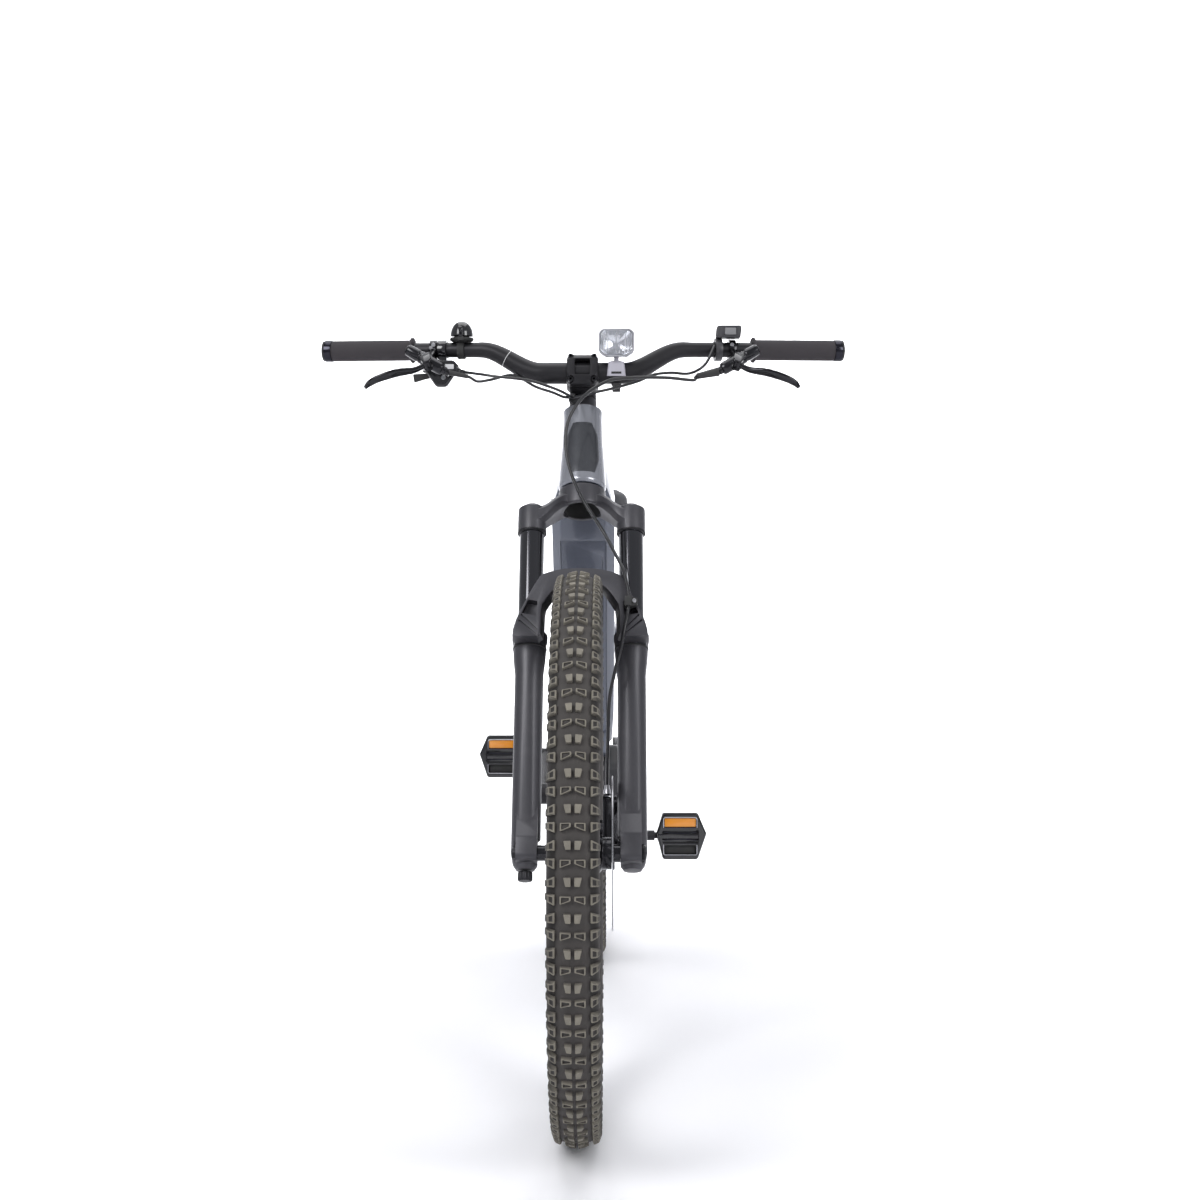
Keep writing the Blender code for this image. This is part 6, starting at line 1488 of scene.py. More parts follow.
@dataclass
class Wheels:
    """Both wheels."""

    front_hub: tuple[Point2, ...] = ((0.0105, -0.0545), (0.0105, -0.0420), (0.0160, -0.0380),
                                     (0.0285, -0.0325), (0.0285, -0.0285), (0.0150, -0.0240),
                                     (0.0150, 0.0180), (0.0285, 0.0225), (0.0285, 0.0265),
                                     (0.0215, 0.0310), (0.0215, 0.0433), (0.0120, 0.0433),
                                     (0.0120, 0.0545))
    rear_hub: tuple[Point2, ...] = ((0.0120, -0.0310), (0.0220, -0.0290), (0.0285, -0.0270),
                                    (0.0285, -0.0230), (0.0160, -0.0180), (0.0160, 0.0270),
                                    (0.0285, 0.0320), (0.0285, 0.0360), (0.0215, 0.0420),
                                    (0.0215, 0.0573), (0.0120, 0.0573), (0.0120, 0.0735))

    def build(self, tools: Toolbox) -> None:
        """Tyre, rim, laced hub and disc of each wheel."""
        Tyre("front_tyre", FRONT_AXLE, Finishes.front_tyre, Body.FRONT_WHEEL).build(tools)
        Rim("front_rim", FRONT_AXLE, Body.FRONT_WHEEL).build(tools)
        LacedHub("front_hub_and_spokes", FRONT_AXLE, Body.FRONT_WHEEL, self.front_hub, 0.0079,
                 (-0.0305, 0.0245)).build(tools)
        Rotor("front_brake_disc", FRONT_AXLE, 0.0445, Body.FRONT_WHEEL, Finishes.front_disc).build(tools)
        Tyre("rear_tyre", REAR_AXLE, Finishes.rear_tyre, Body.REAR_WHEEL).build(tools)
        Rim("rear_rim", REAR_AXLE, Body.REAR_WHEEL).build(tools)
        LacedHub("rear_hub_and_spokes", REAR_AXLE, Body.REAR_WHEEL, self.rear_hub, 0.0064,
                 (-0.0250, 0.0340)).build(tools)
        Rotor("rear_brake_disc", REAR_AXLE, 0.0585, Body.REAR_WHEEL, Finishes.rear_disc).build(tools)


# Fork


def leg_frame(side: int) -> Matrix:
    """A frame on a fork leg's centre line, level with the crown race."""
    return axis_frame(fork_point(side * LEG_X, -LEG_LEAD, 0), UP_STEER)


# Where the brake hose enters and leaves its clip on the arch
HOSE_STOPS = ((0.0664, -0.0852, -0.1990), (0.0655, -0.0852, -0.2260))


@dataclass
class ForkTop:
    """Crown, steerer, stanchions and headset cover."""

    clamp_top: float = -0.0440
    clamp_low: float = -0.084
    clamp_radius: float = 0.0205
    stanchion: float = 0.0175
    sides: int = 56

    # Offset, front, back, bottom, top and chamfer of the bridge's sections
    BRIDGE = ((0.000, -0.0215, 0.0290, -0.0300, -0.0080, 0.0050),
              (0.022, -0.0270, 0.0230, -0.0335, -0.0120, 0.0060),
              (0.036, -0.0400, 0.0100, -0.0480, -0.0230, 0.0085),
              (0.052, -0.0480, -0.0080, -0.0680, -0.0395, 0.0085),
              (0.071, -0.0490, -0.0115, -0.0790, -0.0480, 0.0060))

    def crown(self) -> bmesh.types.BMesh:
        """Forged bridge with its steerer column and two clamps."""
        column = turned(soft_profile([(0.0325, -0.0312), (0.0338, -0.0290), (0.0345, -0.0020),
                                      (0.0300, -0.0003), (0.0255, -0.0003), (0.0255, 0.0110),
                                      (0.0199, 0.0110), (0.0199, 0.0180), (0.0143, 0.0600),
                                      (0.0143, 0.1890)], 0.0014, 3), self.sides, FORK_FRAME)
        stations = [(-x, *sizes) for x, *sizes in reversed(self.BRIDGE[1:])] + list(self.BRIDGE)
        rings = []
        for x, front, back, low, high, chamfer in stations:
            outline = faceted((back - front) / 2, (high - low) / 2, chamfer, 0.0016)
            rings.append([Vector((x, (front + back) / 2 + a, (low + high) / 2 + b)) for a, b in outline])
        columns = [smooth_route([ring[i] for ring in rings], 5) for i in range(len(rings[0]))]
        fine = [[fork_point(*column[k]) for column in columns] for k in range(len(columns[0]))]
        clamp = soft_profile([(0.0190, self.clamp_low), (self.clamp_radius, self.clamp_low + 0.003),
                              (self.clamp_radius, self.clamp_top - 0.0015), (0.0190, self.clamp_top)],
                             0.001, 3)
        clamps = [turned(clamp, self.sides, leg_frame(side)) for side in (-1, 1)]
        crown = fused(column, loft(fine), *clamps)
        bores = [rod(fork_point(side * LEG_X, -LEG_LEAD, self.clamp_low - 0.01),
                     fork_point(side * LEG_X, -LEG_LEAD, 0.01), self.stanchion + GAP, self.sides)
                 for side in (-1, 1)]
        hollow = turned([(0.0275, -0.0450), (0.0275, -0.0290), (0.0245, -0.0180), (0.0180, -0.0020),
                         (0.0150, 0.0180), (0.0120, 0.0600), (0.0120, 0.2200)], 56, FORK_FRAME)
        return cut(crown, *bores, hollow)

    def steerer_lining(self) -> bmesh.types.BMesh:
        """A dark sleeve inside the steerer, open below, which paints the shade in the crown's hollow."""
        outside = [(0.0273, -0.0306), (0.0273, -0.0291), (0.0243, -0.0181), (0.0178, -0.0021),
                   (0.0148, 0.0179), (0.0118, 0.0600)]
        inside = [(radius - 0.0012, up) for radius, up in reversed(outside)]
        return turned([*outside, *inside], 56, FORK_FRAME, ring=True)

    def stanchion_end(self, name: str, place: Matrix) -> None:
        """Tube, top cap and lower clamp ring of one leg."""
        top, low, outer = self.clamp_top, self.clamp_low, self.clamp_radius
        tube = turned([(0.0150, -0.3800), (self.stanchion, -0.3785), (self.stanchion, top - 0.0012),
                       (self.stanchion - 0.0006, top - 0.0010), (0, top - 0.0010)], 72, place)
        add_part(name, tube, Finishes.stanchion, Body.STEERING)
        cap = turned(soft_profile([(0.0165, top - 0.0010), (0.0165, top + 0.0010), (0.0150, top + 0.0022),
                                   (0.0130, top + 0.0024), (0.0120, top + 0.0050), (0.0060, top + 0.0050),
                                   (0.0052, top + 0.0028), (0, top + 0.0028)], 0.0005, 2), 48, place)
        add_piece(name + "_cap", cap, Finishes.polished_black, Body.STEERING)
        skirt = turned([(outer - 0.0004, low + 0.0002), (outer + 0.0002, low + 0.0008),
                        (outer + 0.0002, low + 0.0030), (outer - 0.0004, low + 0.0036),
                        (self.stanchion + 0.0004, low + 0.0036), (self.stanchion + 0.0004, low + 0.0002)],
                       64, place, ring=True)
        add_piece(name + "_ring", skirt, Finishes.black_alloy, Body.STEERING)

    def build(self) -> None:
        """All pieces above the lowers."""
        add_part("fork_crown_and_steerer", self.crown(), Finishes.fork_paint, Body.STEERING,
                 Bevel(0.0010, 3, 28))
        # Dark sleeve that paints the shade inside the crown's hollow
        add_piece("steerer_lining", self.steerer_lining(), Finishes.black_plastic, Body.STEERING)
        for side, name in ((1, "stanchion_left"), (-1, "stanchion_right")):
            self.stanchion_end(name, leg_frame(side))
        profile = [(0.0146, 0.1195), (0.0213, 0.1195), (0.0213, 0.1302), (0.0280, 0.1303),
                   (0.0278, 0.1312), (0.0225, 0.1330), (0.0208, 0.1345), (0.0205, 0.1508),
                   (0.0196, 0.1512), (0.0146, 0.1512)]
        cover = turned(soft_profile(profile, 0.0006, 3), 64, FORK_FRAME, ring=True)
        add_part("headset_cover", cover, Finishes.cover_grey, Body.STEERING)


@dataclass
class ForkLowers:
    """The sliding legs with their bridge, caliper, axle and dial."""

    axle_up: float = -FORK_RISE
    sides: int = 56

    # Offset, height and inward reach of the rear face, from the arch's crest round to its underside
    ARCH = ((0, -0.1582, 0), (0.0213, -0.1590, 0), (0.0337, -0.1614, 0), (0.0420, -0.1635, 0),
            (0.0505, -0.1666, 0), (0.0562, -0.1702, 0), (0.0663, -0.1880, 0), (0.0745, -0.2052, 0),
            (0.0822, -0.2210, 0), (0.0886, -0.2363, 0), (0.0925, -0.2505, 0), (0.0930, -0.2600, 0),
            (0.0580, -0.2600, 0), (0.0552, -0.2560, 0.0040), (0.0545, -0.2400, 0.0050),
            (0.0545, -0.2240, 0.0052), (0.0530, -0.2130, 0.0052), (0.0470, -0.2030, 0.0050),
            (0.0412, -0.1945, 0.0045), (0.0345, -0.1870, 0.0040), (0.0250, -0.1800, 0.0020),
            (0, -0.1752, 0))

    def arch(self, place: Matrix) -> bmesh.types.BMesh:
        """The bridge over the tyre, whose inner face slants towards the wheel."""
        layers = []
        for back, reach in ((-0.0780, 0.0), (-0.0525, 1.0)):
            half = [(x - inward * reach, up) for x, up, inward in self.ARCH]
            whole = half + [(-x, up) for x, up in reversed(half) if x > 0]
            layers.append([place @ Vector((x, up, back)) for x, up in whole])
        return loft(layers)

    def grooves(self, place: Matrix) -> list[bmesh.types.BMesh]:
        """The dark recess and the two slanted lines on each root of the arch."""
        cutters = []
        pocket = rounded([(0.0592, -0.2085), (0.0720, -0.2058), (0.0808, -0.2262), (0.0600, -0.2300)],
                         0.0015, 3)
        lines = [[(0.0806, -0.2270), (0.0590, -0.2500), (0.0590, -0.2528), (0.0820, -0.2292)],
                 [(0.0842, -0.2352), (0.0590, -0.2576), (0.0590, -0.2604), (0.0856, -0.2376)]]
        for side in (-1, 1):
            cutters.append(prism([(side * x, up) for x, up in pocket], -0.0900, -0.0640, place))
            cutters += [prism([(side * x, up) for x, up in line], -0.0900, -0.0745, place)
                        for line in lines]
        return cutters

    def casting(self) -> bmesh.types.BMesh:
        """Both legs and the bridge over the tyre."""
        a = self.axle_up
        leg = soft_profile([(0.0120, a - 0.0200), (0.0170, a - 0.0130), (0.0198, a + 0.004),
                            (0.0198, -0.3000), (0.0222, -0.2780), (0.0230, -0.2640), (0.0232, -0.2560),
                            (0.0250, -0.2480), (0.0246, -0.2405), (0.0230, -0.2388)], 0.0030, 4)
        legs = [turned(leg, self.sides, leg_frame(side)) for side in (-1, 1)]
        place = FORK_FRAME @ FRONT_FRAME
        root = rounded([(0.0560, -0.2400), (0.0900, -0.2400), (0.0922, -0.2500), (0.0922, -0.2598),
                        (0.0560, -0.2598)], 0.002, 3)
        roots = [prism([(side * x, z) for x, z in root], -0.0760, -0.0400, place) for side in (-1, 1)]
        foot = prism(rounded([(-0.0360, a + 0.092), (-0.0500, a + 0.052), (-0.0640, a + 0.022),
                              (-0.0640, a - 0.015), (-0.018, a - 0.015), (-0.014, a + 0.030)], 0.010, 6),
                     LEG_X - 0.0160, LEG_X + 0.0120, FORK_FRAME @ SIDE_FRAME)
        other = prism(rounded([(-0.0360, a + 0.082), (-0.0490, a + 0.044), (-0.0615, a + 0.018),
                               (-0.0615, a - 0.013), (-0.030, a - 0.013), (-0.024, a + 0.020)], 0.009, 6),
                      -LEG_X - 0.0120, -LEG_X + 0.0160, FORK_FRAME @ SIDE_FRAME)
        tabs = [box((LEG_X - 0.0080, up - 0.0070, -0.0200), (LEG_X + 0.0060, up + 0.0070, 0.0080), place)
                for up in (-0.5380, -0.4640)]
        casting = fused(self.arch(place), *legs, *roots, foot, other, *tabs)
        bores = [turned([(0.0178, a + 0.0200), (0.0178, -0.1000)], self.sides, leg_frame(side))
                 for side in (-1, 1)]
        wheel_room = box((-0.055, -0.1, a - 0.05), (0.055, 0.03, a + 0.022), FORK_FRAME)
        recess = rounded([(-0.0555, a + 0.0160), (-0.0555, a - 0.0060), (-0.0330, a - 0.0060),
                          (-0.0330, a + 0.0160)], 0.004, 4)
        window = prism(recess, -LEG_X - 0.0140, -LEG_X - 0.0085, FORK_FRAME @ SIDE_FRAME)
        eye = rod(fork_point(-0.12, -FORK_OFFSET, a), fork_point(0.12, -FORK_OFFSET, a), 0.0078, 40)
        seat = rod(fork_point(LEG_X + 0.0120, -FORK_OFFSET, a), fork_point(0.12, -FORK_OFFSET, a), 0.0122,
                   40)
        return cut(casting, *bores, *self.grooves(place), wheel_room, window, eye, seat)

    def root_shadow_bands(self) -> bmesh.types.BMesh:
        """Dark rubber rings under the roots of the arch, which paint the shadow the roots cast on the legs.
        """
        band = soft_profile([(0.0225, -0.2600), (0.0238, -0.2602), (0.0238, -0.2624), (0.0228, -0.2632)],
                            0.0004, 2)
        return joined(*[turned([*band, (0.0220, -0.2632), (0.0220, -0.2600)], self.sides, leg_frame(side),
                               ring=True) for side in (-1, 1)])

    def seals(self) -> bmesh.types.BMesh:
        """The two dust wipers on top of the legs."""
        wiper = soft_profile([(0.0178, -0.2386), (0.0212, -0.2386), (0.0216, -0.2374), (0.0208, -0.2358),
                              (0.0190, -0.2350), (0.0178, -0.2350)], 0.0003, 2)
        return joined(*(turned(wiper, self.sides, leg_frame(side), ring=True) for side in (-1, 1)))

    def caliper(self) -> bmesh.types.BMesh:
        """The front brake's two halves around the disc."""
        side_frame = FORK_FRAME @ SIDE_FRAME
        outline = rounded([(0.0110, -0.5420), (0.0500, -0.5450), (0.0640, -0.5100), (0.0560, -0.4640),
                           (0.0250, -0.4560), (0.0110, -0.4620)], 0.008, 5)
        block = prism(outline, 0.0310, 0.0590, side_frame)
        lugs = prism(rounded([(0.0084, -0.5460), (0.0200, -0.5460), (0.0240, -0.4580), (0.0084, -0.4560)],
                             0.002, 3), 0.0500, LEG_X + 0.0060, side_frame)
        piston = rod(fork_point(0.0240, 0.0340, -0.5040), fork_point(0.0400, 0.0340, -0.5040), 0.0155, 40)
        dimple = rod(fork_point(0.0220, 0.0340, -0.5040), fork_point(0.0256, 0.0340, -0.5040), 0.0105, 40)
        slot = box((0.0425, -0.0100, -0.6000), (0.0465, 0.0592, -0.4000), FORK_FRAME)
        waist = prism(rounded(rectangle(0.0300, -0.5300, 0.0600, -0.4780), 0.006, 3), 0.0560, 0.0700,
                      side_frame)
        return cut(fused(block, lugs, piston), dimple, slot, waist)

    def build(self, tools: Toolbox) -> None:
        """All pieces of the sliding part."""
        add_part("fork_lowers", self.casting(), Finishes.fork_paint, Body.LOWERS, Bevel(0.0012, 3, 30))
        add_piece("fork_wipers", self.seals(), Finishes.rubber, Body.LOWERS)
        add_part("front_brake_caliper", self.caliper(), Finishes.polished_black, Body.LOWERS,
                 Bevel(0.0009, 3, 30))
        pads = [box((0.0431 + x, 0.0140, -0.5280), (0.0437 + x, 0.0560, -0.4780), FORK_FRAME)
                for x in (-0.0004, 0.0021)]
        add_piece("front_brake_pads", joined(*pads), Finishes.black_bolt, Body.LOWERS)
        spots = [fork_point(0.0565 + 0.0085, 0.0242, up) for up in (-0.5380, -0.4640)]
        heads = tools.spots.mesh(socket_bolt(0.0040, 0.0030, BACK_STEER), spots, Finishes.black_bolt)
        add_piece("front_caliper_bolts", heads, Finishes.black_bolt, Body.LOWERS)
        banjo = turned(soft_profile([(0.0048, 0), (0.0048, 0.0070), (0.0040, 0.0078), (0.0036, 0.0130),
                                     (0, 0.0130)], 0.0004, 2), 24,
                       axis_frame(fork_point(0.0370, 0.0150, -0.4575), UP_STEER))
        add_piece("front_banjo", banjo, Finishes.bolt_steel, Body.LOWERS)
        axle = turned(soft_profile([(0.0060, -0.0890), (0.0075, -0.0880), (0.0075, 0.0835),
                                    (0.0110, 0.0835), (0.0110, 0.0870), (0.0095, 0.0885),
                                    (0.0046, 0.0885), (0.0042, 0.0850), (0, 0.0850)], 0.0005, 2), 40,
                      x_frame(FRONT_AXLE))
        add_part("front_thru_axle", axle, Finishes.black_bolt, Body.LOWERS)
        base = self.axle_up - 0.0213
        outline = []
        for i in range(72):
            angle = 2 * math.pi * i / 72
            radius = 0.0098 if i % 4 < 2 else 0.0091
            outline.append((radius * math.cos(angle), radius * math.sin(angle)))
        place = axis_frame(fork_point(-LEG_X, -LEG_LEAD, 0), UP_STEER)
        knob = pillow(outline, base - 0.0130, base - 0.0004, place, 0.0020)
        add_part("rebound_dial", knob, Finishes.black_bolt, Body.DIAL, sharp=40)
        guide = self.hose_guide()
        add_piece("hose_guide", guide, Finishes.black_plastic, Body.LOWERS, bevel=Bevel(0.0004, 2))
        screw = socket_bolt(0.0030, 0.0022, -BACK_STEER)
        # Dark rings that paint the shadow under the arch's roots
        add_piece("fork_root_bands", self.root_shadow_bands(), Finishes.rubber, Body.LOWERS)
        spot = fork_point(0.0742, -0.0868, -0.2120)
        add_piece("hose_guide_screw", tools.spots.mesh(screw, [spot], Finishes.bolt_steel),
                  Finishes.bolt_steel, Body.LOWERS)

    @staticmethod
    def hose_guide() -> bmesh.types.BMesh:
        """The clip that holds the brake hose on the bridge, with the hose's channel through it."""
        place = FORK_FRAME @ FRONT_FRAME
        outline = rounded([(0.0612, -0.2050), (0.0700, -0.2050), (0.0790, -0.2080), (0.0790, -0.2160),
                           (0.0700, -0.2195), (0.0605, -0.2195)], 0.003, 4)
        block = closed(prism(outline, -0.0868, -0.0770, place))
        strap = closed(prism(rounded([(0.0612, -0.2050), (0.0712, -0.2050), (0.0705, -0.2195),
                                      (0.0605, -0.2195)], 0.002, 4), -0.0895, -0.0800, place))
        channel = rod(fork_point(*HOSE_STOPS[0]), fork_point(*HOSE_STOPS[1]), 0.0030, 24)
        return cut(fused(block, strap), channel)


# Frame

DOWN_TUBE_TOP = fork_point(0, 0.034, 0.005) + DOWN_NORMAL * 0.040
# Middle between the two bottle bosses on top of the down tube
BOSS_MIDDLE = Vector((0, -0.122565, 0.758656))
BOSS_HALF_SPACING = 0.032
# Radius of the head tube against height
HEAD_PROFILE = ((0.0012, 0.0320), (0.006, 0.0345), (0.030, 0.0335), (0.080, 0.0300), (0.118, 0.0285),
                (HEAD_TUBE_LENGTH, 0.0292))
# Half angle of the dark panel on the head tube against height
SHIELD_SPREAD = ((0.0169, 32.0), (0.042, 47.0), (0.0815, 47.0), (0.1008, 27.0))


def tube_frame(distance: float, lift: float = 0.0) -> Matrix:
    """A frame on the down tube's centre line: local Z runs down the tube, local Y points up and back."""
    origin = DOWN_TUBE_TOP + DOWN_AXIS * distance + DOWN_NORMAL * lift
    return Matrix(((-1, 0, 0, origin.x), (0, DOWN_NORMAL.y, DOWN_AXIS.y, origin.y),
                   (0, DOWN_NORMAL.z, DOWN_AXIS.z, origin.z), (0, 0, 0, 1)))


def motor_outline(grow: float) -> list[Point2]:
    """Side outline of the drive unit about the crank axis, as (y, z) points, grown by a clearance."""
    points = [(-0.150, 0.060), (-0.128, -0.030), (-0.090, -0.062), (0.005, -0.068), (0.040, -0.042),
              (0.046, 0.018), (0.022, 0.062), (-0.046, 0.090), (-0.115, 0.094)]
    middle = Vector((-0.050, 0.015))
    grown = []
    for point in points:
        outward = Vector(point) - middle
        grown.append(tuple(middle + outward * (1 + grow / outward.length)))
    return [(BB.y + a, BB.z + b) for a, b in rounded(grown, 0.022, 6)]


@dataclass
class MainFrame:
    """The welded frame with its battery, seat clamp and rear brake."""

    width: float = 0.0475
    depth: float = 0.040
    facet: float = 0.013
    length: float = 0.524
    battery: tuple[float, float] = (0.080, 0.480)

    def stay_rings(self, side: int) -> list[bmesh.types.BMesh]:
        """Chainstay and seatstay of one side."""
        y = BB.y + 0.0635
        low = [Vector(p) for p in ((side * 0.0300, y, BB.z + 0.004),
                                   (side * 0.0345, y + 0.010, BB.z + 0.004),
                                   (side * 0.0500, y + 0.040, BB.z + 0.003),
                                   (side * 0.0600, y + 0.115, BB.z + 0.002),
                                   (side * 0.0715, y + 0.250, BB.z + 0.004),
                                   (side * 0.0785, REAR_AXLE.y - 0.030, WHEEL_RADIUS))]
        sizes = [(0.0070, 0.0140, 0.003), (0.0070, 0.0140, 0.003), (0.0075, 0.0130, 0.003),
                 (0.0070, 0.0110, 0.003), (0.0060, 0.0100, 0.003), (0.0045, 0.0110, 0.002)]
        chain = swept(low, [faceted(*s, 0.0012) for s in sizes], X, 3)
        top = BB + SEAT_AXIS * 0.355
        high = [top + Vector((side * 0.0165, 0.002, 0.010)), top + Vector((side * 0.0205, 0.022, -0.007)),
                top + Vector((side * 0.0490, 0.085, -0.061)), top + Vector((side * 0.0580, 0.175, -0.140)),
                Vector((side * 0.0765, REAR_AXLE.y - 0.035, WHEEL_RADIUS + 0.055)),
                Vector((side * 0.0785, REAR_AXLE.y - 0.014, WHEEL_RADIUS + 0.020))]
        sizes = [(0.0055, 0.0100, 0.002), (0.0055, 0.0100, 0.002), (0.0060, 0.0085, 0.002),
                 (0.0060, 0.0080, 0.002), (0.0045, 0.0080, 0.002), (0.0040, 0.0090, 0.002)]
        return [chain, swept(high, [faceted(*s, 0.0010) for s in sizes], X, 3)]

    def dropout(self, side: int) -> list[bmesh.types.BMesh]:
        """The plate that holds the rear axle, with the hanger or the brake mount."""
        y, z = REAR_AXLE.y, WHEEL_RADIUS
        shape = rounded([(y - 0.060, z - 0.014), (y + 0.004, z - 0.022), (y + 0.022, z + 0.002),
                         (y + 0.010, z + 0.024), (y - 0.034, z + 0.062), (y - 0.050, z + 0.040)], 0.008,
                        6)
        parts = [prism(shape, side * 0.0743, side * 0.0825, SIDE_FRAME)]
        if side < 0:
            hanger = rounded([(y - 0.004, z - 0.010), (y + 0.004, z - 0.040), (y + 0.024, z - 0.040),
                              (y + 0.018, z - 0.004)], 0.006, 5)
            parts.append(prism(hanger, -0.0822, -0.0760, SIDE_FRAME))
        else:
            parts.append(box((0.0640, y - 0.105, BB.z + 0.006), (0.0740, y - 0.045, z + 0.0160)))
        return parts

    def rear(self, side: int) -> bmesh.types.BMesh:
        """One side of the rear triangle."""
        half = fused(*[closed(part) for part in [*self.stay_rings(side), *self.dropout(side)]])
        hole = rod(REAR_AXLE - X * 0.1, REAR_AXLE + X * 0.1, 0.0063, 40)
        room = box((-0.074, REAR_AXLE.y - 0.030, 0.3), (0.074, REAR_AXLE.y + 0.05, 0.45))
        return cut(half, hole, room)

    def front(self) -> bmesh.types.BMesh:
        """Head tube, down tube, top tube, seat tube and motor cradle."""
        head = turned(soft_profile([(radius, up) for up, radius in HEAD_PROFILE], 0.004, 4), 64, FORK_FRAME)
        w, d, c = self.width, self.depth, self.facet
        stations = [(-0.020, w - 0.016, d - 0.006), (0.010, w - 0.006, d - 0.003), (0.045, w, d),
                    (0.300, w, d), (0.460, w - 0.001, d), (self.length, w - 0.004, d)]
        down = loft([[tube_frame(s) @ Vector((a, b, 0)) for a, b in faceted(x, y, c, 0.0035)]
                     for s, x, y in stations])
        start = fork_point(0, 0.010, HEAD_TUBE_LENGTH - 0.030)
        end = BB + SEAT_AXIS * 0.388
        path = [start, start.lerp(end, 0.35), start.lerp(end, 0.7), end]
        sizes = [(0.0225, 0.0240, 0.010), (0.0235, 0.0220, 0.010), (0.0200, 0.0190, 0.009),
                 (0.0165, 0.0185, 0.008)]
        top = swept(path, [faceted(*s, 0.0035) for s in sizes], X, 5)
        seat = rod(BB + SEAT_AXIS * 0.080, SEAT_TOP, 0.0185, 56)
        y, z = BB.y, BB.z
        cradle = prism(rounded([(y - 0.160, z + 0.120), (y - 0.156, z + 0.085), (y - 0.120, z + 0.070),
                                (y, z + 0.055), (y + 0.030, z), (y + 0.040, z - 0.040),
                                (y + 0.0655, z - 0.034), (y + 0.0655, z + 0.045), (y + 0.058, z + 0.105),
                                (y + 0.040, z + 0.150), (y - 0.030, z + 0.150), (y - 0.072, z + 0.165)],
                               0.008, 4), -0.038, 0.038, SIDE_FRAME)
        return fused(head, down, closed(top), seat, cradle)

    def build(self, tools: Toolbox) -> None:
        """Frame, covers, battery, clamp and small fittings."""
        pocket = box((-0.035, -(self.depth + 0.010), self.battery[0]),
                     (0.035, self.depth - 0.012, self.battery[1]), tube_frame(0))
        room = prism(motor_outline(GAP * 2), -0.060, 0.060, SIDE_FRAME)
        bearing = turned([(0.0262, -0.02), (0.0262, 0.0116), (0.0222, 0.0126), (0.0222, 0.2000)], 56,
                         FORK_FRAME)
        seat_bore = rod(BB + SEAT_AXIS * 0.160, SEAT_TOP + SEAT_AXIS * 0.05, 0.0161, 48)
        frame = cut(fused(self.front(), self.rear(-1), self.rear(1)), pocket, room, bearing, seat_bore)
        add_part("main_frame", frame, Finishes.frame_paint, Body.FRAME, Bevel(0.0013, 3, 26))
        self.battery_and_cover()
        self.head_panel()
        self.weld_beads()
        self.bosses(tools)
        self.clamp()
        self.rear_brake(tools)

    def battery_and_cover(self) -> None:
        """The pack inside the down tube and its lower cover."""
        outline = faceted(0.033, self.depth - 0.0110, 0.006, 0.002)
        pack = pillow(outline, 0.0830, self.battery[1] - 0.003, tube_frame(0, -0.0013), 0.003)
        add_part("battery_pack", pack, Finishes.black_plastic, Body.FRAME)
        half = self.width - self.facet - 0.0004
        shape = rectangle(-half, -self.depth, half, -self.depth + 0.005)
        cover = prism(shape, self.battery[0] + 0.0003, self.battery[1] - 0.0003, tube_frame(0))
        slots = [box((-half + 0.004, -self.depth - 0.01, s),
                     (-half + 0.0065, -self.depth + 0.0016, s + 0.034), tube_frame(0))
                 for s in (0.110, 0.160)]
        catch = box((half - 0.014, -self.depth - 0.01, 0.430),
                    (half - 0.004, -self.depth + 0.0012, 0.444), tube_frame(0))
        add_part("battery_cover", cut(cover, *slots, catch), Finishes.frame_paint, Body.FRAME,
                 Bevel(0.0004, 2, 30))
        key = turned(soft_profile([(0.0065, 0), (0.0065, 0.0012), (0.0030, 0.0012), (0.0028, 0.0004),
                                   (0, 0.0004)], 0.0002, 2), 28,
                     axis_frame(tube_frame(0.440) @ Vector((-self.width + 0.0012, 0.010, 0)), X))
        bmesh.ops.translate(key, vec=X * -0.0014, verts=key.verts)
        add_piece("battery_lock", key, Finishes.bolt_steel, Body.FRAME)

    def head_panel(self) -> None:
        """The dark bare shield on the front of the head tube."""
        rows = []
        for k in range(15):
            up = SHIELD_SPREAD[0][0] + (SHIELD_SPREAD[-1][0] - SHIELD_SPREAD[0][0]) * k / 14
            spread = math.radians(between(SHIELD_SPREAD, up))
            rows.append([(between(HEAD_PROFILE, up), -math.pi / 2 + spread * (i / 8 - 1), up)
                         for i in range(17)])
        bm = bmesh.new()
        layers = []
        for lift in (-0.0004, 0.0012):
            grid = []
            for k, row in enumerate(rows):
                line = []
                for i, (radius, angle, up) in enumerate(row):
                    edge = 0.0005 if lift > 0 and (i in (0, 16) or k in (0, 14)) else 0.0
                    r = radius + lift - edge
                    line.append(bm.verts.new(fork_point(r * math.cos(angle), r * math.sin(angle), up)))
                grid.append(line)
            layers.append(grid)
        for grid in layers:
            for first, second in zip(grid, grid[1:]):
                for i in range(16):
                    bm.faces.new((first[i], first[i + 1], second[i + 1], second[i]))
        border = [(0, i) for i in range(16)] + [(k, 16) for k in range(14)]
        border += [(14, i) for i in range(16, 0, -1)] + [(k, 0) for k in range(14, 0, -1)]
        for a, b in zip(border, border[1:] + border[:1]):
            bm.faces.new((layers[0][a[0]][a[1]], layers[0][b[0]][b[1]], layers[1][b[0]][b[1]],
                          layers[1][a[0]][a[1]]))
        add_piece("head_tube_shield", closed(bm), Finishes.head_panel, Body.FRAME)
        shell = [(between(HEAD_PROFILE, up) + 0.0005, up)
                 for up in (0.0018, 0.006, 0.030, 0.055, 0.080, 0.118, 0.1310)]
        inner = [(radius - 0.0020, up) for radius, up in reversed(shell)]
        skin = turned([*soft_profile(shell, 0.004, 4), *inner], 96, FORK_FRAME, ring=True)
        room = box((-0.06, 0.0120, -0.02), (0.06, 0.08, 0.16), FORK_FRAME)
        add_piece("head_tube_skin", cut(skin, room), Finishes.head_paint, Body.FRAME)

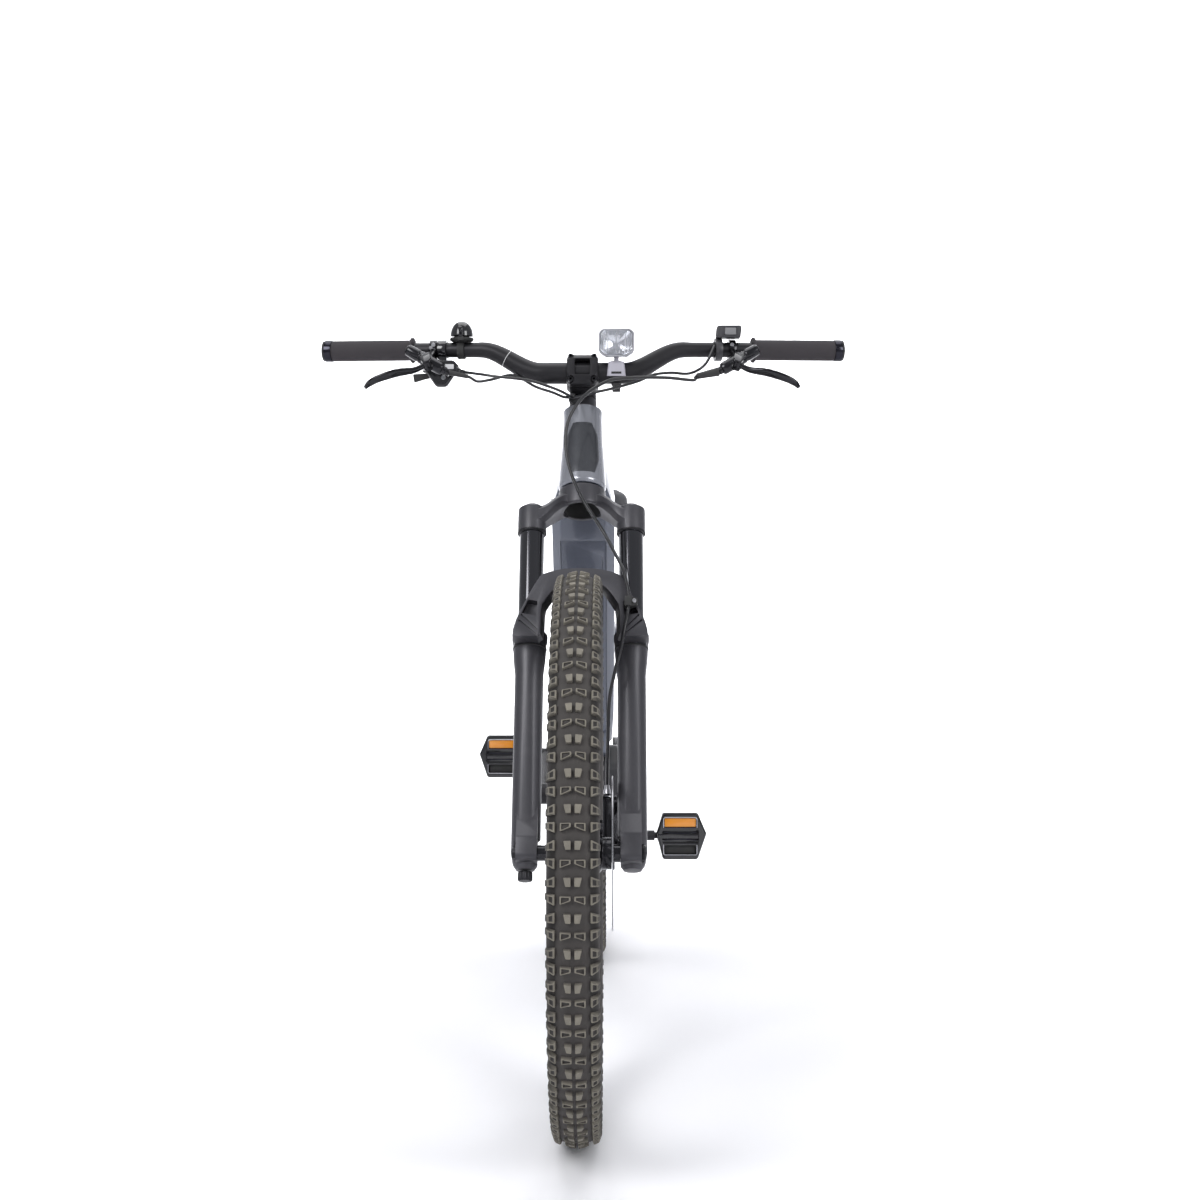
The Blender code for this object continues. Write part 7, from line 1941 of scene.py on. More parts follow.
    def weld_beads(self) -> None:
        """Rippled weld beads where the seat tube meets the top tube and the cradle."""
        beads = []
        for distance, radius in ((0.412, 0.0186), (0.166, 0.0187)):
            place = axis_frame(BB + SEAT_AXIS * distance, SEAT_AXIS)
            rings = []
            for i in range(160):
                angle = 2 * math.pi * i / 160
                ripple = 0.0003 * math.sin(angle * 40)
                wave = 0.010 * math.sin(angle)
                spots = []
                for k in range(8):
                    turn = 2 * math.pi * k / 8
                    r = radius + (0.0011 + ripple) * math.cos(turn)
                    spots.append(place @ Vector((r * math.cos(angle), r * math.sin(angle),
                                                 wave + 0.0022 * math.sin(turn))))
                rings.append(spots)
            beads.append(loft(rings, ring=True))
        add_piece("weld_beads", joined(*beads), Finishes.frame_paint, Body.FRAME, sharp=60)

    def bosses(self, tools: Toolbox) -> None:
        """The two bottle bosses on top of the down tube."""
        spots = [BOSS_MIDDLE + DOWN_AXIS * s for s in (-BOSS_HALF_SPACING, BOSS_HALF_SPACING)]
        bolt = tools.spots.mesh(socket_bolt(0.0042, 0.0018, DOWN_NORMAL), spots, Finishes.black_bolt)
        add_piece("bottle_bolts", bolt, Finishes.black_bolt, Body.FRAME)

    def clamp(self) -> None:
        """The seat clamp with its bolt."""
        place = axis_frame(SEAT_TOP, SEAT_AXIS)
        collar = turned(soft_profile([(0.0188, -0.017), (0.0228, -0.017), (0.0232, -0.004),
                                      (0.0225, -0.001), (0.0188, -0.001)], 0.0008, 3), 64, place,
                        ring=True)
        ear = box((-0.008, -0.0310, -0.0155), (0.008, -0.0205, -0.0025), place)
        slit = box((-0.0010, -0.0400, -0.0200), (0.0010, -0.0100, 0.0050), place)
        start = SEAT_TOP - SEAT_AXIS * 0.009 + Vector((-0.012, 0.0262, 0))
        bolt = rod(start, start + X * 0.025, 0.0030, 24)
        add_part("seat_clamp", fused(cut(fused(collar, ear), slit), bolt), Finishes.black_alloy,
                 Body.FRAME, Bevel(0.0006, 2))

    def rear_brake(self, tools: Toolbox) -> None:
        """Rear caliper and thru axle."""
        y, low = REAR_AXLE.y, WHEEL_RADIUS + 0.0163
        outline = rounded([(y - 0.108, low), (y - 0.042, low), (y - 0.036, low + 0.030),
                           (y - 0.060, low + 0.048), (y - 0.098, low + 0.034)], 0.007, 5)
        block = prism(outline, 0.0445, 0.0725, SIDE_FRAME)
        slot = box((0.0565, y - 0.104, low - 0.02), (0.0605, y, low + 0.07))
        dimple = rod(Vector((0.0712, y - 0.072, low + 0.020)), Vector((0.0740, y - 0.072, low + 0.020)),
                     0.0110, 40)
        add_part("rear_brake_caliper", cut(block, slot, dimple), Finishes.polished_black, Body.FRAME,
                 Bevel(0.0009, 3, 30))
        heads = tools.spots.mesh(socket_bolt(0.0038, 0.0030, Vector((0, 0, 1))),
                                 [Vector((0.0690, y - 0.101, low)), Vector((0.0690, y - 0.049, low))],
                                 Finishes.black_bolt)
        add_piece("rear_caliper_bolts", heads, Finishes.black_bolt, Body.FRAME)
        axle = turned(soft_profile([(0.0045, -0.0855), (0.0060, -0.0845), (0.0060, 0.0828),
                                    (0.0095, 0.0828), (0.0095, 0.0865), (0.0080, 0.0880),
                                    (0.0040, 0.0880), (0.0036, 0.0850), (0, 0.0850)], 0.0005, 2), 40,
                      x_frame(REAR_AXLE))
        add_part("rear_thru_axle", axle, Finishes.black_bolt, Body.FRAME)


# Drive


@dataclass
class DriveUnit:
    """The mid motor."""

    right: float = -0.045
    left: float = 0.055

    def build(self, tools: Toolbox) -> None:
        """Case, side covers and their screws."""
        outline = motor_outline(0)
        case = pillow(outline, self.right, self.left, SIDE_FRAME, 0.005, 4)
        right_boss = rod(BB + X * (self.right + 0.002), BB + X * (self.right - 0.0030), 0.0340, 72, 0.0320)
        left_boss = rod(BB + X * (self.left - 0.002), BB + X * (self.left + 0.0040), 0.0380, 72, 0.0340)
        bore = rod(BB - X * 0.09, BB + X * 0.09, 0.0104, 48)
        seam = prism(motor_outline(0.003), 0.0040, 0.0052, SIDE_FRAME)
        core = prism(motor_outline(-0.0012), 0.0, 0.01, SIDE_FRAME)
        groove = cut(seam, core)
        case = cut(fused(case, right_boss, left_boss), bore, groove)
        add_part("drive_motor", case, Finishes.motor_plastic, Body.FRAME, Bevel(0.0007, 2, 40))
        fins = []
        for i in range(6):
            y = BB.y - 0.105 + i * 0.009
            fins.append(box((self.left - 0.003, y, BB.z - 0.030),
                            (self.left + 0.0012, y + 0.004, BB.z + 0.040 + i * 0.004)))
        add_piece("motor_fins", joined(*fins), Finishes.motor_plastic, Body.FRAME, bevel=Bevel(0.0008, 2))
        spots = []
        for i, (y, z) in enumerate(((-0.120, 0.055), (-0.100, -0.045), (-0.030, -0.056), (0.030, -0.030),
                                    (0.030, 0.030), (-0.030, 0.075), (-0.080, 0.080))):
            spots.append(BB + Vector((self.left - 0.0006, y, z)))
        screws = tools.spots.mesh(socket_bolt(0.0036, 0.0022, X), spots, Finishes.bolt_steel)
        other = tools.spots.mesh(socket_bolt(0.0036, 0.0022, -X),
                                 [Vector((self.right + 0.0006, s.y, s.z)) for s in spots],
                                 Finishes.bolt_steel)
        add_piece("motor_screws", joined(screws, other), Finishes.bolt_steel, Body.FRAME)


def pitch_radius(teeth: int) -> float:
    """Radius of the chain's pitch line on a toothed wheel."""
    return teeth * CHAIN_PITCH / (2 * math.pi)


def tip_radius(teeth: int) -> float:
    """Radius of the tooth tips, just under the chain."""
    radius = pitch_radius(teeth)
    return radius - 0.004 - radius * (1 - math.cos(math.pi / teeth)) - GAP


@dataclass
class ToothedWheel:
    """A sprocket or chainring."""

    teeth: int
    x: float
    thickness: float
    inner: float
    flat: bool = False

    def outline(self) -> list[Point2]:
        """Tooth tips and rounded valleys."""
        tip = tip_radius(self.teeth)
        root = tip - 0.0038
        width = 0.16 if self.flat else 0.09
        marks = ((-width, tip), (width, tip), (0.34, root + 0.0008), (0.42, root), (0.58, root),
                 (0.66, root + 0.0008))
        points = []
        for i in range(self.teeth):
            for part, radius in marks:
                angle = 2 * math.pi * (i + part) / self.teeth
                points.append((radius * math.cos(angle), radius * math.sin(angle)))
        return points

    def mesh(self, centre: Vector, holes: int = 0, hole: float = 0.0, hole_ring: float = 0.0,
             tools: Toolbox | None = None) -> bmesh.types.BMesh:
        """The plate about an axle, with a ring of round holes."""
        half = self.thickness / 2
        plate_mesh = prism(self.outline(), self.x - half, self.x + half, x_frame(centre))
        bore = rod(centre + X * (self.x - 0.01), centre + X * (self.x + 0.01), self.inner, 48)
        cutters = [bore]
        if holes and tools:
            spot = rod(Vector((self.x - 0.01, 0, hole_ring)), Vector((self.x + 0.01, 0, hole_ring)), hole,
                       16)
            cutters.append(tools.ring.mesh(spot, holes, centre, Finishes.cassette))
        return cut(plate_mesh, *cutters)


@dataclass
class Chain:
    """The roller chain on its route."""

    upper: Vector = field(default_factory=lambda: REAR_AXLE + Vector((0, 0.0200, -0.1010)))
    lower: Vector = field(default_factory=lambda: REAR_AXLE + Vector((0, -0.0150, -0.1830)))

    @staticmethod
    def tangent(first: tuple, second: tuple) -> tuple[Vector, Vector]:
        """The straight run between two wheels, each given as (centre, radius, sense)."""
        (c1, r1, s1), (c2, r2, s2) = first, second
        across = Vector((c2.y - c1.y, c2.z - c1.z))
        angle = math.atan2(across.y, across.x) + math.asin((s1 * r1 - s2 * r2) / across.length)
        normal = Vector((0, math.sin(angle), -math.cos(angle)))
        return c1 + normal * s1 * r1, c2 + normal * s2 * r2

    def route(self) -> tuple[list[Vector], int]:
        """The pitch line and the number of its links."""
        pulley = pitch_radius(PULLEY_TEETH)
        wheels = [(BB, pitch_radius(CHAINRING_TEETH), 1), (self.lower, pulley, 1),
                  (self.upper, pulley, -1), (REAR_AXLE, pitch_radius(COG_TEETH), 1)]
        line = []
        for i, wheel in enumerate(wheels):
            centre, radius, sense = wheel
            leaves, _ = self.tangent(wheel, wheels[(i + 1) % len(wheels)])
            _, arrives = self.tangent(wheels[i - 1], wheel)
            begin = math.atan2(arrives.z - centre.z, arrives.y - centre.y)
            sweep = (math.atan2(leaves.z - centre.z, leaves.y - centre.y) - begin) * sense % (2 * math.pi)
            steps = max(2, int(sweep * radius / 0.002))
            for step in range(steps + 1):
                angle = begin + sense * sweep * step / steps
                line.append(Vector((CHAINLINE, centre.y + radius * math.cos(angle),
                                    centre.z + radius * math.sin(angle))))
        length = sum((b - a).length for a, b in zip(line, line[1:] + line[:1]))
        return line, 2 * round(length / CHAIN_PITCH / 2)

    @staticmethod
    def link(half_gap: float, thickness: float) -> bmesh.types.BMesh:
        """Two side plates with a waist, and the rollers or pins at one end."""
        outline = []
        for centre, start in ((CHAIN_PITCH / 2, -80), (-CHAIN_PITCH / 2, 100)):
            for step in range(9):
                angle = math.radians(start + step * 20)
                outline.append((centre + 0.0039 * math.cos(angle), 0.0039 * math.sin(angle)))
            outline.append((0.0, 0.0028 if centre > 0 else -0.0028))
        plates = [prism(outline, side * half_gap, side * (half_gap + thickness), SIDE_FRAME)
                  for side in (-1, 1)]
        return joined(*[closed(p) for p in plates])

    def build(self, tools: Toolbox) -> None:
        """Links, rollers and pins."""
        line, count = self.route()
        roller = rod(Vector((-0.0011, -CHAIN_PITCH / 2, 0)), Vector((0.0011, -CHAIN_PITCH / 2, 0)),
                     0.0034, 12)
        pins = [rod(Vector((-0.0030, y, 0)), Vector((0.0030, y, 0)), 0.0016, 10)
                for y in (-CHAIN_PITCH / 2, CHAIN_PITCH / 2)]
        other_roller = rod(Vector((-0.0011, CHAIN_PITCH / 2, 0)), Vector((0.0011, CHAIN_PITCH / 2, 0)),
                           0.0034, 12)
        outer = joined(self.link(0.0021, 0.0009), *pins)
        inner = joined(self.link(0.0012, 0.0008), roller, other_roller)
        run = tools.links.mesh(outer, inner, line, count, Finishes.chain)
        add_part("chain", run, Finishes.chain, Body.FRAME, sharp=30)


@dataclass
class Gears:
    """Cassette, derailleur and pulleys."""

    counts: tuple[int, ...] = (11, 13, 15, 18, 22, 26, 30, 34)
    cage_pivot: Vector = field(default_factory=lambda: REAR_AXLE
                               + Vector((CHAINLINE - 0.012, 0.014, -0.0880)))

    def build(self, tools: Toolbox, chain: Chain) -> None:
        """Everything behind the chain."""
        discs = []
        for i, teeth in enumerate(self.counts):
            x = CHAINLINE - (4 - i) * 0.0048
            wheel = ToothedWheel(teeth, x, 0.0018, 0.0150)
            ring = tip_radius(teeth) - 0.0115
            holes = max(6, int(ring * 2 * math.pi / 0.011)) if teeth > 15 else 0
            discs.append(wheel.mesh(REAR_AXLE, holes, 0.0034, ring, tools))
        core = turned(soft_profile([(0.0064, -0.0732), (0.0120, -0.0732), (0.0120, -0.0724),
                                    (0.0160, -0.0718), (0.0160, -0.0313), (0.0064, -0.0313)], 0.0005, 2),
                      56, x_frame(REAR_AXLE), ring=True)
        add_part("cassette", joined(*discs, core), Finishes.cassette, Body.CASSETTE, sharp=25)
        self.derailleur(tools, chain)

    def derailleur(self, tools: Toolbox, chain: Chain) -> None:
        """Arm, cage and pulleys."""
        hang = REAR_AXLE + Vector((-0.0825, 0.0140, -0.0310))
        pivot = self.cage_pivot
        upper = rod(hang, hang - X * 0.0160, 0.0100, 48)
        knuckle = turned(soft_profile([(0.0125, 0.0003), (0.0125, 0.0185), (0.0110, 0.0200),
                                       (0.0060, 0.0200), (0.0050, 0.0180), (0, 0.0180)], 0.0006, 2), 48,
                         axis_frame(pivot, -X))
        path = [hang - X * 0.0080, hang + Vector((-0.0070, 0.0060, -0.0280)), pivot - X * 0.0120]
        link = swept(path, [faceted(0.0065, h, 0.002, 0.001) for h in (0.0080, 0.0095, 0.0100)], X, 6)
        add_part("derailleur_body", fused(upper, closed(link), knuckle), Finishes.black_alloy, Body.FRAME,
                 Bevel(0.0006, 2))
        bolt = socket_bolt(0.0052, 0.0016, -X)
        add_piece("derailleur_bolt", tools.spots.mesh(bolt, [hang - X * 0.0160], Finishes.bolt_steel),
                  Finishes.bolt_steel, Body.FRAME)
        outline = []
        for spot, radius, begin in ((chain.upper, 0.0130, -0.7), (chain.lower, 0.0110, 2.4)):
            for step in range(13):
                angle = begin + step * 0.258
                outline.append((spot.y + radius * math.cos(angle), spot.z + radius * math.sin(angle)))
        middle = (chain.upper + chain.lower) / 2
        run = (chain.lower - chain.upper).normalized()
        across = Vector((0, -run.z, run.y))
        corners = [middle + run * a + across * b for a, b in (
            (-0.020, -0.004), (0.022, -0.004), (0.022, 0.004), (-0.020, 0.004))]
        window = prism(rounded([(p.y, p.z) for p in corners], 0.003, 4), -0.08, -0.03, SIDE_FRAME)
        low = CHAINLINE - 0.0100
        outer = prism(outline, low, low + 0.0018, SIDE_FRAME)
        inner = prism(outline, CHAINLINE + 0.0056, CHAINLINE + 0.0070, SIDE_FRAME)
        hub = rod(pivot, pivot + X * (low + 0.0009 - pivot.x), 0.0115, 40)
        pins = [rod(spot + X * low, spot + X * (CHAINLINE + 0.0070), 0.0025, 24)
                for spot in (chain.upper, chain.lower)]
        plates = cut(joined(outer, inner), window)
        add_part("derailleur_cage", fused(plates, hub, *pins), Finishes.black_alloy, Body.CAGE,
                 Bevel(0.0004, 2))
        for spot, name, body in ((chain.upper, "derailleur_pulley_upper", Body.UPPER_PULLEY),
                                 (chain.lower, "derailleur_pulley_lower", Body.LOWER_PULLEY)):
            wheel = ToothedWheel(PULLEY_TEETH, CHAINLINE, 0.0022, 0.0050)
            wheel = wheel.mesh(spot, 6, 0.0022, 0.0110, tools)
            bush = turned(rectangle(0.0028, -0.0040, 0.0060, 0.0040), 32, x_frame(spot + X * CHAINLINE),
                          ring=True)
            add_part(name, fused(wheel, bush), Finishes.black_plastic, body, Bevel(0.0003, 2))


@dataclass
class Cranks:
    """Chainring, crank arms and pedals."""

    thickness: float = 0.015
    inner: float = 0.0715

    def arm(self, side: int) -> bmesh.types.BMesh:
        """A forged arm between the boss and the pedal eye."""
        run = CRANK_FORWARD * side
        x = side * (self.inner + self.thickness / 2)
        start, end = BB + X * x, BB + X * x + run * CRANK_LENGTH
        path = [start, start + run * 0.030, start + run * 0.090, start + run * 0.145, end]
        sizes = [(0.0075, 0.0160), (0.0075, 0.0150), (0.0070, 0.0130), (0.0066, 0.0125), (0.0065, 0.0125)]
        body = swept(path, [faceted(w, h, 0.0030, 0.0018) for w, h in sizes], X, 5)
        inside = 0.0593 if side > 0 else 0.0534
        boss = turned(soft_profile([(0.0175, 0), (0.0185, 0.0010),
                                    (0.0185, self.inner + self.thickness - inside - 0.001),
                                    (0.0172, self.inner + self.thickness - inside)], 0.0008, 3), 56,
                      axis_frame(BB + X * side * inside, X * side))
        eye = turned(soft_profile([(0.0138, 0), (0.0145, 0.0008), (0.0145, 0.0142), (0.0138, 0.0150)],
                                  0.0006, 2), 56, axis_frame(end - X * side * 0.0075, X * side))
        scoop_path = [start + run * s + X * side * 0.0088 for s in (0.032, 0.060, 0.135)]
        scoop = along(scoop_path, [oval(0.0032, 0.0052), oval(0.0034, 0.0062), oval(0.0030, 0.0050)], X)
        whole = cut(fused(closed(body), boss, eye), closed(scoop))
        return whole

    def build(self, tools: Toolbox) -> None:
        """Ring, arms, axles and pedals."""
        self.chainring(tools)
        for side, name in ((1, "crank_left"), (-1, "crank_right")):
            eye = BB + CRANK_FORWARD * side * CRANK_LENGTH
            axle = rod(eye + X * side * 0.0800, eye + X * side * 0.1930, 0.0055, 40, 0.0048)
            collar = rod(eye + X * side * 0.0860, eye + X * side * 0.1145, 0.0085, 40)
            parts = [self.arm(side), axle, collar]
            if side > 0:
                parts.append(rod(BB - X * 0.0850, BB + X * 0.0700, 0.0100, 48))
            add_part(name, fused(*parts), Finishes.black_alloy, Body.CRANKS, Bevel(0.0007, 2, 30))
            cap = turned(soft_profile([(0.0120, -0.0010), (0.0120, 0.0002), (0.0085, 0.0004),
                                       (0.0050, 0.0004), (0.0046, -0.0008), (0, -0.0008)], 0.0003, 2), 48,
                         axis_frame(BB + X * side * 0.0865, X * side))
            add_piece(name + "_cap", cap, Finishes.polished_black, Body.CRANKS)
            Pedal(side).build()

    def chainring(self, tools: Toolbox) -> None:
        """The toothed ring with its five windows and bolts."""
        ring = ToothedWheel(CHAINRING_TEETH, CHAINLINE, 0.0022, 0.0103, flat=True).mesh(BB)
        windows = []
        for i in range(5):
            angle = 2 * math.pi * (i + 0.5) / 5
            corners = [(0.057 * math.cos(angle + s), 0.057 * math.sin(angle + s))
                       for s in (-0.46, -0.2, 0.2, 0.46)]
            corners += [(0.030 * math.cos(angle + s), 0.030 * math.sin(angle + s))
                        for s in (0.30, 0, -0.30)]
            windows.append(prism(rounded(corners, 0.004, 4), -0.06, -0.04, x_frame(BB)))
        add_part("chainring", cut(ring, joined(*windows)), Finishes.black_alloy, Body.CRANKS,
                 Bevel(0.0003, 2))
        bolt = socket_bolt(0.0045, 0.0016, -X)
        bmesh.ops.translate(bolt, vec=(CHAINLINE - 0.0011, 0, 0.0245), verts=bolt.verts)
        bolts = tools.ring.mesh(bolt, 5, BB, Finishes.bolt_steel)
        add_piece("chainring_bolts", bolts, Finishes.bolt_steel, Body.CRANKS)


@dataclass
class Pedal:
    """A hexagonal gloss pedal with reflector blocks."""

    side: int

    OUTLINE = ((0.044, 0.004), (0.029, 0.039), (-0.029, 0.039), (-0.040, 0.004), (-0.029, -0.039),
               (0.029, -0.039))

    def build(self) -> None:
        """Cage, bearing barrel, reflector."""
        side = self.side
        name = "pedal_left" if side > 0 else "pedal_right"
        body = Body.LEFT_PEDAL if side > 0 else Body.RIGHT_PEDAL
        centre = BB + CRANK_FORWARD * side * CRANK_LENGTH + X * side * PEDAL_MIDDLE
        place = Matrix.Translation(centre) @ FRONT_FRAME
        outline = rounded([(side * x, z) for x, z in self.OUTLINE], 0.006, 6)
        cage = closed(pillow(outline, -0.0120, 0.0120, place, 0.0028, 4))
        windows = []
        for low in (0.0150, -0.0300):
            hole = rounded(rectangle(-0.0265, low, 0.0265, low + 0.0150), 0.0022, 4)
            windows.append(prism(hole, -0.02, 0.02, place))
        pockets = [prism(rounded(rectangle(-0.0300, low, 0.0300, low + 0.0080), 0.002, 3), face,
                         face + 0.009, place) for low in (0.0035, -0.0115) for face in (-0.0160, 0.0070)]
        bore = rod(centre - X * side * 0.0600, centre + X * side * 0.0365, 0.0059, 40)
        barrel = turned(soft_profile([(0.0080, 0), (0.0100, 0.0020), (0.0100, 0.0180), (0.0093, 0.0200),
                                      (0.0093, 0.0560), (0.0100, 0.0580), (0.0100, 0.0760),
                                      (0.0080, 0.0780)], 0.001, 3), 56,
                        axis_frame(centre - X * side * 0.0380, X * side))
        solid = cut(fused(cut(cage, *windows, *pockets), barrel), bore)
        add_part(name, solid, Finishes.gloss_black, body, Bevel(0.0007, 3, 30))
        self.trim(name, body, place)
        block = prism(plate(0.0262, 0.0072, 0.0020, 4), -0.0104, 0.0104,
                      Matrix.Translation(centre + Z * 0.0225) @ FRONT_FRAME)
        add_part(name + "_reflector", closed(block), Finishes.reflector, body, Bevel(0.0005, 2))
        lower = prism(plate(0.0262, 0.0072, 0.0020, 4), -0.0070, 0.0070,
                      Matrix.Translation(centre - Z * 0.0225) @ FRONT_FRAME)
        add_piece(name + "_insert", closed(lower), Finishes.black_plastic, body, bevel=Bevel(0.0005, 2))

    @staticmethod
    def trim(name: str, body: Body, place: Matrix) -> None:
        """Bright silver wires round the two openings, which paint the highlights along their rims, and the
        ridges across the middle, on both faces.
        """
        rim_highlights = []
        ridges = []
        for face in (-1, 1):
            for way in (-1, 1):
                corners = [(-0.0278, way * 0.0143), (-0.0278, way * 0.0288), (-0.0258, way * 0.0310),
                           (0.0258, way * 0.0310), (0.0278, way * 0.0288), (0.0278, way * 0.0143)]
                route = [place @ Vector((x, z, face * 0.0121)) for x, z in corners]
                rim_highlights += [rod(first, second, 0.0006, 10) for first, second in zip(route, route[1:])]
                bow = [place @ Vector((x, way * (0.0066 - 0.0016 * math.cos(math.pi * x / 0.054)),
                                       face * 0.0118))
                       for x in (-0.0270, -0.0180, -0.0090, 0, 0.0090, 0.0180, 0.0270)]
                ridges.append(closed(along(bow, [oval(0.0011, 0.0011, 12)] * len(bow), Vector((0, 1, 0)))))
        # Silver wires painted as the highlights on the window rims
        add_piece(name + "_window_rims", joined(*rim_highlights), Finishes.silver, body)
        add_piece(name + "_ridges", joined(*ridges), Finishes.dark_chrome, body)


# Seat


@dataclass
class Seat:
    """Seatpost and saddle."""

    stations: tuple[tuple[float, float, float, float], ...] = (
        (-0.158, 0.010, 0.030, 0.020), (-0.150, 0.018, 0.034, 0.014), (-0.110, 0.021, 0.038, 0.012),
        (-0.050, 0.026, 0.040, 0.012), (0.000, 0.038, 0.041, 0.012), (0.050, 0.060, 0.045, 0.012),
        (0.085, 0.072, 0.048, 0.013), (0.108, 0.068, 0.047, 0.018), (0.118, 0.050, 0.042, 0.026))

    # The shell's cross section as shares of the half width and heights over the edge
    SHELL_RING = ((-1, -0.0028), (-1, -0.0004), (-0.5, 0.0006), (0.5, 0.0006), (1, -0.0004),
                  (1, -0.0028), (0.5, -0.0020), (-0.5, -0.0020))
    SHELL_SHARE = 0.94
    RAIL = ((0.0100, -0.1240, 0.0092), (0.0140, -0.1060, 0.0045), (0.0200, -0.0700, 0),
            (0.0220, -0.0300, 0), (0.0220, 0.0300, 0), (0.0270, 0.0560, 0.0012),
            (0.0330, 0.0760, 0.0090))

    def sections(self, steps: int) -> list[tuple[float, float, float, float]]:
        """The stations with smooth steps between them."""
        lead = smooth_route([Vector(s[:3]) for s in self.stations], steps)
        edge = smooth_route([Vector((s[3], 0, 0)) for s in self.stations], steps)
        return [(p.x, p.y, p.z, e.x) for p, e in zip(lead, edge)]

    @staticmethod
    def crown_point(across: float) -> float:
        """Share of the crown's height at a share of the half width, with the channel along the middle."""
        dome = max(1 - across * across, 0.0) ** 0.30
        return dome - 0.08 * math.exp(-(across / 0.18) ** 2)

    def cushion(self) -> bmesh.types.BMesh:
        """The padded top as one closed crowned form with a pressed seam line."""
        rings = []
        for y, half, crown, edge in self.sections(6):
            base = SADDLE_CLAMP + Vector((0, y, 0))
            ring = []
            for i in range(41):
                across = -math.cos(math.pi * i / 40)
                seam = 0.0011 * math.exp(-((abs(across) - 0.80) / 0.022) ** 2)
                height = (crown - edge) * self.crown_point(across) - seam
                ring.append(base + Vector((half * across, 0, edge + 0.0010 + max(height, 0.0))))
            ring += [base + Vector((half * a, 0, edge + 0.0008)) for a in (0.92, 0.5, 0, -0.5, -0.92)]
            rings.append(ring)
        return loft(rings)

    def thread(self) -> bmesh.types.BMesh:
        """Stitches along both seams."""
        stitches = []
        sections = self.sections(6)
        for side in (-1, 1):
            for share in (0.765, 0.835):
                line = []
                for y, half, crown, edge in sections[4:-3]:
                    height = (crown - edge) * self.crown_point(share) + 0.0004
                    line.append(SADDLE_CLAMP + Vector((side * half * share, y, edge + 0.0010 + height)))
                fine = smooth_route(line, 3)
                for i in range(0, len(fine) - 1, 2):
                    a, b = fine[i], fine[i].lerp(fine[i + 1], 0.72)
                    stitches.append(along([a - Z * 0.0006, a.lerp(b, 0.3), a.lerp(b, 0.7), b - Z * 0.0006],
                                          [oval(0.0003, 0.0003, 6)] * 4, X))
        return joined(*stitches)

    def build(self, tools: Toolbox) -> None:
        """Post, head, saddle shell, rails, cushion."""
        head = Matrix.Translation(SADDLE_CLAMP)
        post = rod(SEAT_TOP - SEAT_AXIS * 0.200, SADDLE_CLAMP - SEAT_AXIS * 0.010, 0.0158, 64)
        lower = prism(plate(0.0270, 0.0200, 0.004), -0.0170, -0.0038, head)
        web = box((-0.0175, -0.0200, -0.0100), (0.0175, 0.0200, 0.0090), head)
        upper = prism(plate(0.0270, 0.0200, 0.004), 0.0038, 0.0080, head)
        add_part("seatpost", fused(post, lower, web, upper), Finishes.black_alloy, Body.SEAT,
                 Bevel(0.0008, 3, 30))
        bolts = tools.spots.mesh(socket_bolt(0.0040, 0.0026, -Z),
                                 [SADDLE_CLAMP + Vector((0, y, -0.0168)) for y in (-0.0150, 0.0160)],
                                 Finishes.bolt_steel)
        add_piece("seatpost_bolts", bolts, Finishes.bolt_steel, Body.SEAT)
        marks = []
        for i in range(9):
            spot = SEAT_TOP + SEAT_AXIS * (-0.150 + i * 0.010)
            marks.append(turned([(0.01585, 0), (0.01585, 0.0004), (0.0150, 0.0004), (0.0150, 0)], 48,
                                axis_frame(spot, SEAT_AXIS), ring=True))
        add_piece("seatpost_scale", joined(*marks), Finishes.bolt_steel, Body.SEAT)
        shell = []
        for y, half, _, edge in self.sections(4):
            base = SADDLE_CLAMP + Vector((0, y, 0))
            shell.append([base + Vector((half * self.SHELL_SHARE * a, 0, edge + b))
                          for a, b in self.SHELL_RING])
        add_part("saddle_base_and_rails", loft(shell), Finishes.black_plastic, Body.SEAT,
                 Bevel(0.0005, 2))
        rails = []
        for side in (-1, 1):
            path = [SADDLE_CLAMP + Vector((side * x, y, z)) for x, y, z in self.RAIL]
            fine = smooth_route(path, 5)
            rails.append(along(fine, [oval(0.0034, 0.0034, 20)] * len(fine), X))
        add_piece("saddle_rails", joined(*rails), Finishes.black_bolt, Body.SEAT)
        cushion = add_part("saddle_cushion", self.cushion(), Finishes.leather, Body.SEAT, sharp=50)
        add_piece("saddle_stitching", self.thread(), Finishes.thread, Body.SEAT)


# Cockpit


def bar_sleeve(low: float, high: float, profile: Sequence[Point2], sides: int = 48,
               lift: float = 0.0007) -> bmesh.types.BMesh:
    """A clamp ring around the handlebar between two places along it.

    Args:
        low: where it starts.
        high: where it ends.
        profile: (share of its length, radius) points of its outside.
        sides: how many it has.
        lift: clearance over the bar.

    Returns:
        The ring.
    """
    place = axis_frame(bar_point(low), bar_point(high) - bar_point(low))
    length = (bar_point(high) - bar_point(low)).length
    inner = bar_radius(min(abs(low), abs(high))) + lift
    outline = [(radius, share * length) for share, radius in profile]
    outline = [(inner, outline[0][1]), *soft_profile(outline, 0.0006, 2), (inner, outline[-1][1])]
    return turned(outline, sides, place, ring=True)


